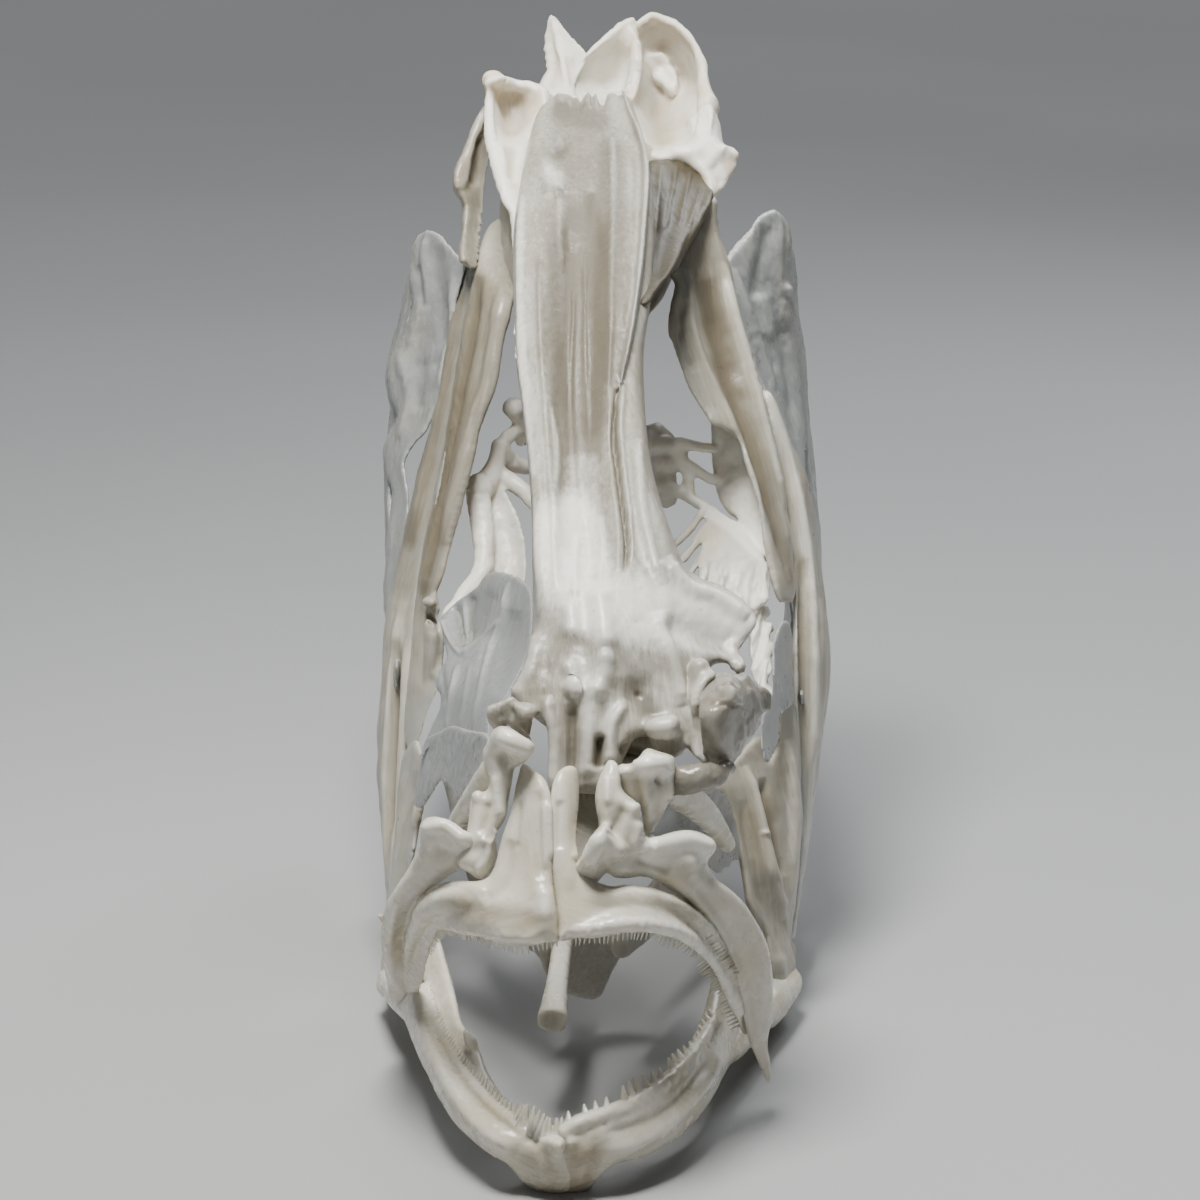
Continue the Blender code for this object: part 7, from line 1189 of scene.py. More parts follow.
@relief("frontoethmoid")
def _(k):
    grain = grain_path(k, [(584, 100), (582, 300), (584, 500), (596, 660), (600, 800)])
    roof = np.clip((640 - k.v) / 60, 0, 1) * k.front(0.0, 0.3)
    low = np.clip((k.v - 560) / 60, 0, 1) * k.front(0.0, 0.3)
    carve(k, [
        # trough down the roof between its two rails
        ([(577, 190), (577, 330), (580, 470), (586, 590)], 26, -1.9),
        ([(596, 160), (598, 260), (600, 380)], 9, -0.35),
        ([(566, 220), (562, 330), (566, 420)], 8, -0.3),
        ([(524, 150), (519, 230), (519, 320), (524, 420), (531, 500), (537, 570), (541, 620)], 6, 0.3),
        ([(540, 250), (541, 340), (547, 420), (552, 500), (556, 590)], 3.2, 0.42),
        ([(549, 392), (555, 420), (558, 458), (555, 500), (560, 540)], 2.4, 0.45),
        ([(556, 170), (559, 205), (560, 260)], 3.0, 0.3),
        ([(545, 165), (550, 190)], 9, 0.45),
        ([(556, 150), (566, 142)], 5, -0.35),
        ([(611, 130), (612, 220), (611, 320), (606, 420)], 3.0, 0.34),
        ([(586, 240), (585, 330), (588, 430)], 2.4, 0.22),
        ([(572, 260), (570, 360), (575, 480)], 2.2, 0.2),
        ([(626, 150), (630, 230), (624, 330)], 7, 0.25),
        # crack beside the crest and its ragged lips
        ([(619, 372), (616, 400), (614, 436), (618, 464), (622, 500), (627, 540), (625, 574)], 1.9, -1.1),
        ([(624, 380), (621, 420), (623, 460), (629, 510), (633, 560)], 2.2, 0.5),
        ([(612, 385), (609, 430), (612, 480), (618, 530), (618, 570)], 2.2, 0.35),
        ([(636, 440), (641, 500), (650, 550), (664, 585)], 6, 0.5),
        # rough patch low on the roof
        ([(588, 515), (590, 540), (586, 570)], 7, -0.45),
        ([(598, 505), (602, 540), (600, 580)], 2.6, 0.42),
        ([(577, 520), (574, 560), (576, 600)], 3.2, 0.4),
        # bosses and recesses of the ethmoid
        ([(571, 610), (572, 630)], 9, 0.6), ([(600, 600), (606, 640)], 10, 0.7), ([(584, 645), (584, 655)], 7, -0.2),
        ([(607, 660), (600, 690)], 9, 0.7), ([(571, 668), (578, 690)], 8, 0.8), ([(556, 640), (548, 668)], 9, -0.2),
        ([(536, 640), (530, 670), (516, 690)], 7, 0.5),
        ([(545, 695), (553, 730), (554, 790)], 6.0, 0.5),
        ([(571, 704), (571, 730), (570, 760), (569, 786)], 7, -0.75),
        ([(593, 690), (590, 725), (588, 768)], 9, 0.7),
        ([(600, 740), (599, 750), (597, 764)], 4.2, -1.1),
        ([(628, 700), (613, 722), (609, 765)], 6.0, 0.6),
        ([(618, 655), (632, 672), (630, 700)], 12, -0.35),
        ([(643, 690), (652, 712)], 14, -0.55), ([(641, 694)], 3.5, -0.3),
        ([(628, 750), (640, 754), (646, 760)], 6, -0.9),
        ([(655, 727), (668, 727)], 9, 1.1),
        # flare of the blind side: rolled upper and lower edges with a hollow between
        ([(664, 560), (690, 588), (718, 598), (748, 618)], 7, 0.7),
        ([(697, 715), (699, 692), (706, 677), (720, 670), (742, 669)], 4.5, 0.8),
        ([(676, 626), (704, 634), (728, 640)], 13, -0.9),
        ([(660, 610), (672, 660), (684, 706)], 9, 0.6),
        ([(735, 642), (738, 655), (742, 668)], 4, 0.4),
    ])
    fine = noise(np.stack([grain[:, 0] * 1.1, grain[:, 1] * 0.11, grain[:, 2] * 0.3], axis=1), 5)
    k.push(roof * 0.10 * fine)
    k.ripple(grain, 3.0, 0.22, 0.045, 11, roof, 2)
    k.rough(0.35, 0.22, 3, low)
    k.rough(1.3, 0.05, 7, low)
    patch = np.exp(-(((k.u - 590) / 12) ** 2 + ((k.v - 545) / 32) ** 2))
    k.rough(2.6, 0.16, 9, patch * k.front())
    rim = np.exp(-((k.v - 101) / 7) ** 2) * np.clip((k.u - 548) / 6, 0, 1) * np.clip((628 - k.u) / 6, 0, 1)
    k.P[:, 2] += rim * 0.7 * noise(np.stack([k.P[:, 0] * 2.6, 0 * k.u, 0 * k.u], axis=1), 21)
    crumb = np.exp(-(((k.u - 500) / 14) ** 2 + ((k.v - 715) / 14) ** 2)) + np.exp(-(((k.u - 668) / 15) ** 2 + ((k.v - 746) / 9) ** 2))
    k.rough(2.2, 0.2, 13, crumb)
    return grain


@relief("supraoccipital")
def _(k):
    carve(k, [([(556, 40), (562, 66), (566, 96)], 2.6, 0.2), ([(555, 60), (552, 84)], 5, -0.3), ([(571, 60), (573, 84)], 5, -0.3)])
    k.rough(0.8, 0.08, 3)
    return grain_path(k, [(553, 20), (566, 100)])


@relief("otic_ocular")
def _(k):
    carve(k, [([(510, 104), (512, 122)], 13, -0.8), ([(489, 92), (489, 118), (492, 148), (501, 182), (511, 214)], 4.5, 0.6),
              ([(488, 84), (500, 79), (516, 85), (536, 87)], 4, 0.5), ([(514, 150), (512, 176)], 5, -0.4), ([(500, 150), (507, 186)], 5, 0.35)])
    k.rough(0.5, 0.12, 5)
    edge = np.clip((k.v - 215) / 40, 0, 1)
    k.rough(2.4, 0.12, 6, edge)
    return grain_path(k, [(500, 90), (508, 180), (517, 350)])


@relief("otic_blind")
def _(k):
    carve(k, [([(636, 40), (636, 66), (630, 92)], 4, 0.6), ([(606, 60), (610, 86)], 14, -0.5), ([(604, 92), (620, 98)], 6, 0.35),
              ([(660, 112), (664, 134)], 14, -0.7), ([(646, 62), (658, 78), (673, 92)], 5, 0.3), ([(659, 66)], 5, -0.2),
              ([(696, 124), (704, 140), (716, 152)], 8, 0.6), ([(722, 152), (733, 156)], 4, 0.5), ([(716, 168), (722, 180)], 6, -0.4),
              ([(676, 152), (696, 152)], 6, 0.5)])
    k.rough(0.35, 0.2, 5)
    k.rough(1.4, 0.06, 8)
    lip = np.exp(-((k.v - 24) / 8) ** 2)
    k.rough(1.8, 0.16, 9, lip)
    return grain_fan(k, at(655, 160, 45), 0.6)


@relief("sphenotic_wing_blind")
def _(k):
    grain = grain_fan(k, at(652, 318, 14), 1.0)
    carve(k, [([(672, 190), (664, 240), (656, 280)], 10, -0.35), ([(660, 165), (657, 230)], 2.5, 0.14), ([(676, 165), (668, 226)], 2.2, 0.16), ([(690, 172), (679, 226)], 2.2, 0.16),
              ([(702, 184), (688, 228)], 2.2, 0.14), ([(668, 232), (660, 262)], 9, -0.15)])
    up = np.clip((250 - k.v) / 40, 0, 1)
    k.ripple(grain, 2.6, 0.35, 0.11, 4, up * k.front(0, 0.3), 2)
    return grain


@relief("braincase")
def _(k):
    k.rough(0.22, 0.4, 3)
    k.rough(0.9, 0.08, 4)
    return grain_axis(k, (0, 1, 0.2))


@relief("premaxilla_ocular")
def _(k):
    carve(k, [([(530, 775), (530, 840), (536, 900)], 8, 0.15), ([(538, 790), (540, 840), (541, 880)], 5, -0.3), ([(549, 800), (550.5, 860)], 2.4, 0.25), ([(513, 840), (502, 885), (480, 900)], 8, -0.35), ([(452, 906), (490, 915), (528, 920)], 12, -0.25),
              ([(446, 927), (490, 936), (545, 938)], 3.6, 0.2), ([(428, 903), (456, 888), (486, 889)], 6, 0.2), ([(545, 895), (545, 912)], 8, 0.35), ([(520, 800), (516, 850)], 3, -0.25),
              ([(543, 800), (545, 870)], 3, 0.3)])
    k.rough(0.3, 0.08, 6)
    band = np.exp(-((k.v - 938) / 7) ** 2)
    k.rough(2.2, 0.14, 7, band)
    return grain_path(k, [(532, 770), (534, 900), (480, 915), (430, 940)])


@relief("premaxilla_blind")
def _(k):
    path = [(570, 932), (620, 924), (655, 925), (680, 932), (700, 947), (716, 966), (728, 990), (739, 1018)]
    carve(k, [([(566, 775), (565, 850), (572, 890)], 6, 0.15), ([(560, 800), (560, 850)], 4, -0.3), ([(577, 830), (574, 856)], 3, 0.35), (path, 6.5, 0.6),
              ([(590, 909), (640, 904), (680, 914), (706, 938), (724, 968), (738, 1000)], 7, -0.25), ([(600, 891), (650, 892), (690, 909), (716, 936), (732, 966)], 5, 0.15)])
    k.rough(0.3, 0.08, 6)
    d, t, _side = k.off(path)
    k.rough(2.4, 0.2, 7, np.exp(-(d / 8) ** 2) * k.front())
    return grain_path(k, [(566, 770), (568, 880), (640, 905), (700, 930), (740, 1010)])


@relief("maxilla_ocular")
def _(k):
    carve(k, [([(428, 828), (446, 826), (462, 838)], 6, 0.5), ([(440, 852), (456, 860)], 7, -0.4), ([(414, 872), (396, 905), (390, 945), (396, 990)], 5, 0.35), ([(418, 896), (404, 930), (402, 970)], 5, -0.3)])
    k.rough(0.3, 0.08, 6)
    return grain_path(k, [(440, 835), (405, 895), (395, 950), (405, 1015)])


@relief("maxilla_blind")
def _(k):
    carve(k, [([(655, 846), (686, 840), (706, 846)], 8, 0.7), ([(640, 862), (664, 870)], 7, -0.4), ([(712, 880), (744, 912), (762, 950), (767, 1000)], 6, 0.4),
              ([(690, 878), (722, 920), (744, 970), (757, 1036)], 6, -0.35), ([(598, 842), (590, 860)], 8, 0.6), ([(586, 870)], 6, -0.45), ([(618, 850)], 7, 0.5),
              ([(634, 808)], 6, 0.5), ([(608, 780), (608, 800)], 4, 0.4), ([(622, 812), (614, 830)], 7, -0.5), ([(638, 826), (636, 842)], 4, 0.4), ([(690, 862)], 8, 0.4)])
    k.rough(0.3, 0.08, 6)
    return grain_path(k, [(600, 860), (680, 850), (740, 930), (768, 1070)])


@relief("palatine_ocular")
def _(k):
    carve(k, [([(505, 738), (524, 748)], 8, 0.6), ([(500, 757), (506, 766)], 6, -0.5), ([(497, 780), (500, 812)], 5, 0.4), ([(486, 806), (482, 828)], 5, -0.5),
              ([(496, 828), (488, 842), (480, 838)], 2.4, 0.35), ([(488, 842), (486, 858), (476, 872)], 2.4, 0.35), ([(474, 850)], 7, -0.3), ([(478, 797)], 5, 0.5)])
    k.rough(0.35, 0.08, 6)
    return grain_path(k, [(508, 735), (500, 800), (478, 870)])


@relief("palatine_blind")
def _(k):
    carve(k, [([(640, 765), (664, 764)], 8, 0.6), ([(659, 781)], 3.4, -0.7), ([(666, 770), (668, 796)], 3, 0.45), ([(636, 782), (640, 800)], 6, -0.5), ([(648, 800), (649, 828)], 4, 0.4), ([(625, 772)], 5, 0.4)])
    k.rough(0.35, 0.08, 6)
    return grain_path(k, [(645, 755), (650, 830)])


@relief("dentary_ocular")
def _(k):
    carve(k, [([(414, 1012), (432, 1050), (455, 1094), (482, 1128), (516, 1152)], 7, 0.5), ([(424, 996), (438, 1036), (462, 1080), (490, 1112), (522, 1136)], 5, -0.3),
              ([(540, 1150), (546, 1178)], 7, 0.25), ([(530, 1140), (545, 1150)], 6, -0.3)])
    k.rough(0.3, 0.08, 6)
    k.rough(1.8, 0.06, 8)
    return grain_path(k, [(562, 1150), (500, 1120), (450, 1060), (425, 980)])


@relief("dentary_blind")
def _(k):
    row = [(565, 1131), (583, 1122), (615, 1111), (642, 1099), (668, 1080), (688, 1060), (704, 1036), (714, 1016)]
    carve(k, [([(714, 1054), (690, 1086), (668, 1108), (640, 1124), (606, 1134)], 6.5, -0.4), ([(734, 1048), (702, 1088), (668, 1124), (634, 1144), (600, 1152)], 6, 0.5),
              ([(586, 1150), (580, 1176)], 7, 0.25)])
    d, t, _side = k.off(row)
    k.rough(1.5, 0.2, 7, np.exp(-(d / 8) ** 2) * k.front(-0.4, 0.3))
    k.rough(0.3, 0.08, 6)
    return grain_path(k, [(565, 1150), (640, 1120), (700, 1060), (716, 980)])


@relief("hyomandibula_ocular")
def _(k):
    carve(k, [([(479, 276), (470, 330), (456, 400), (438, 490), (424, 580)], 6.5, -0.8), ([(504, 280), (490, 370), (466, 450), (444, 545)], 7, 0.5),
              ([(432, 603)], 4, 0.5), ([(427, 616), (432, 622)], 3, -0.5), ([(432, 630), (434, 680)], 4, 0.35)])
    k.rough(0.3, 0.2, 6)
    return grain_path(k, [(495, 260), (480, 400), (430, 590), (420, 740)])


@relief("hyomandibula_blind")
def _(k):
    carve(k, [([(703, 280), (720, 330), (735, 385), (752, 440), (765, 483), (776, 520), (783, 548), (790, 580)], [13, 15, 15, 12, 9, 8, 6, 5], [-0.9, -1.1, -1.1, -1.0, -0.9, -0.8, -0.7, -0.5]), ([(724, 262), (736, 318), (756, 378), (776, 440), (788, 510)], 3.5, 0.6),
              ([(688, 270), (692, 320), (706, 364), (728, 408), (750, 462), (768, 520)], 4, 0.4), ([(684, 300), (684, 340), (696, 372)], 6, -0.3)])
    k.rough(0.3, 0.2, 6)
    edge = np.clip((700 - k.u) / 20, 0, 1)
    k.rough(1.2, 0.16, 9, edge)
    return grain_path(k, [(706, 210), (712, 310), (750, 430), (788, 590)])


@relief("preopercle_ocular")
def _(k):
    carve(k, [([(402, 600), (391, 690), (387, 790), (390, 890)], 4, 0.5), ([(408, 640), (403, 740), (398, 830), (395, 920)], 4, 0.5), ([(398, 640), (396, 740), (393, 830)], 3.5, -0.6),
              ([(456, 300), (444, 380), (428, 460), (412, 540)], 4, 0.4), ([(468, 290), (456, 370), (438, 460), (420, 550)], 3, -0.35)])
    k.rough(0.3, 0.2, 6)
    return grain_path(k, [(465, 270), (440, 400), (400, 600), (392, 940)])


@relief("preopercle_blind")
def _(k):
    carve(k, [([(733, 290), (752, 350), (774, 412), (792, 470), (805, 540), (812, 620), (813, 700), (806, 800)], 5, 0.6), ([(802, 560), (803, 650), (805, 740), (803, 840)], 4, -0.5),
              ([(820, 600), (822, 680), (814, 760)], 4, 0.3)])
    k.rough(0.3, 0.2, 6)
    return grain_path(k, [(729, 270), (780, 430), (812, 600), (806, 800), (792, 930)])


@relief("quadrate_ocular")
def _(k):
    carve(k, [([(404, 772), (399, 840), (394, 910)], 4, 0.5), ([(414, 770), (406, 840), (400, 900)], 4, -0.4), ([(434, 764), (422, 790), (414, 830)], 4, 0.35)])
    k.rough(0.4, 0.16, 6)
    return grain_path(k, [(420, 750), (404, 840), (395, 970)])


@relief("quadrate_blind")
def _(k):
    carve(k, [([(744, 766), (757, 806), (765, 843), (775, 881), (783, 920)], 4.5, 0.65), ([(762, 778), (772, 824), (782, 876)], 4.5, -0.7), ([(786, 740), (794, 800), (792, 860), (786, 910)], 5, 0.55),
              ([(761, 834)], 2.6, 0.4), ([(742, 800), (750, 860), (764, 910)], 5, -0.35), ([(780, 960), (782, 985)], 6, 0.4), ([(778, 972)], 5, -0.3)])
    k.rough(0.35, 0.2, 6)
    return grain_path(k, [(750, 760), (770, 850), (782, 980)])


@relief("entopterygoid_ocular")
def _(k):
    grain = grain_path(k, [(500, 575), (484, 650), (462, 740)])
    carve(k, [([(508, 582), (502, 622), (489, 652), (478, 699), (472, 730)], 2.6, 0.45), ([(442, 619), (450, 640), (461, 656)], 2.2, 0.4), ([(461, 656), (480, 640), (502, 620)], 2.6, 0.35),
              ([(454, 610), (460, 640)], 7, -0.55), ([(470, 600), (467, 636)], 6, -0.45), ([(463, 602), (463, 645)], 1.6, 0.3), ([(490, 600), (478, 630)], 8, -0.3),
              ([(458, 664), (451, 700), (446, 730)], 2.2, 0.4), ([(440, 668), (444, 700)], 4, -0.25), ([(470, 664), (464, 700), (458, 728)], 2, 0.22), ([(515, 610), (508, 650), (494, 695)], 8, -0.35)])
    k.ripple(grain, 2.4, 0.25, 0.06, 8, 1.0, 2)
    return grain


@relief("ectopterygoid_ocular")
def _(k):
    grain = grain_path(k, [(478, 742), (466, 765), (446, 792)])
    k.ripple(grain, 2.6, 0.3, 0.16, 8, k.front(0, 0.3), 2)
    return grain


@relief("entopterygoid_blind", "ectopterygoid_blind")
def _(k):
    carve(k, [([(716, 792), (706, 815), (694, 838)], 4, 0.3), ([(728, 820), (722, 860)], 9, -0.3)])
    k.rough(0.4, 0.14, 6)
    return grain_path(k, [(716, 790), (722, 860)])


@relief("opercle_ocular", "subopercle_ocular")
def _(k):
    grain = grain_fan(k, (-11.0, 26.0, 60.0), 0.8)
    carve(k, [([(436, 246), (440, 290), (446, 350)], 7, -0.35), ([(424, 240), (426, 290), (414, 340), (402, 380)], 6, 0.3), ([(454, 275), (448, 340), (438, 388)], 4, 0.35), ([(418, 266), (424, 310)], 4, -0.3),
              ([(400, 350), (408, 400), (400, 440)], 6, 0.3), ([(422, 366), (418, 404)], 6, -0.3)])
    k.ripple(grain, 1.2, 0.25, 0.10, 5, 1.0, 2)
    k.rough(0.25, 0.25, 6)
    return grain


@relief("opercle_blind", "subopercle_blind")
def _(k):
    grain = grain_fan(k, (11.0, 26.0, 60.0), 0.8)
    carve(k, [([(770, 226), (760, 262), (756, 300)], 7, -0.35), ([(776, 224), (780, 270), (786, 330)], 6, 0.3), ([(734, 268), (752, 320), (776, 390)], 4, 0.35), ([(786, 290)], 5, 0.6), ([(764, 300), (768, 330)], 8, 0.35),
              ([(778, 320), (790, 390), (796, 440)], 5, -0.3)])
    k.ripple(grain, 1.2, 0.25, 0.10, 5, 1.0, 2)
    k.rough(0.25, 0.25, 6)
    return grain


@relief("gill_arches_blind", "gill_arches_ocular")
def _(k):
    k.rough(0.8, 0.2, 6)
    comb = np.clip((k.v - 560) / 15, 0, 1) * np.clip((k.u - 696) / 8, 0, 1)
    Q = np.stack([k.P[:, 0] * 1.5 - k.P[:, 2] * 0.5, k.P[:, 2] * 0.35, k.P[:, 1] * 0.3], axis=1)
    k.push(comb * 0.4 * noise(Q, 5))
    k.push(comb * 0.3 * noise(Q * 2.1, 8) * k.front(-0.2, 0.3))
    return grain_axis(k, (0.2, 0.4, 1.0))


@relief("lacrimal_blind")
def _(k):
    carve(k, [([(716, 688), (736, 700), (744, 712)], 3.5, 0.5), ([(728, 686), (730, 704)], 3, 0.4), ([(716, 704), (744, 706)], 2.5, -0.4), ([(752, 690), (760, 712)], 3, 0.35), ([(742, 712), (742, 742)], 2.5, 0.3),
              ([(712, 715), (722, 750)], 8, 0.35)])
    k.rough(0.8, 0.22, 6)
    k.rough(2.2, 0.05, 7)
    return grain_axis(k, (0.3, 0.2, 1.0))


@relief("posttemporal_ocular")
def _(k):
    carve(k, [([(484, 112), (470, 150), (462, 190)], 4, 0.4), ([(480, 140), (474, 180)], 5, -0.4)])
    k.rough(0.5, 0.2, 6)
    return grain_path(k, [(486, 108), (466, 180), (470, 262)])


@relief("articular_ocular", "articular_blind", "ceratohyal_ocular", "ceratohyal_blind", "parasphenoid", "interopercle_ocular", "interopercle_blind", "urohyal")
def _(k):
    k.rough(0.35, 0.22, 6)
    k.rough(1.4, 0.05, 7)
    return grain_axis(k, (0.0, 1.0, 0.3))


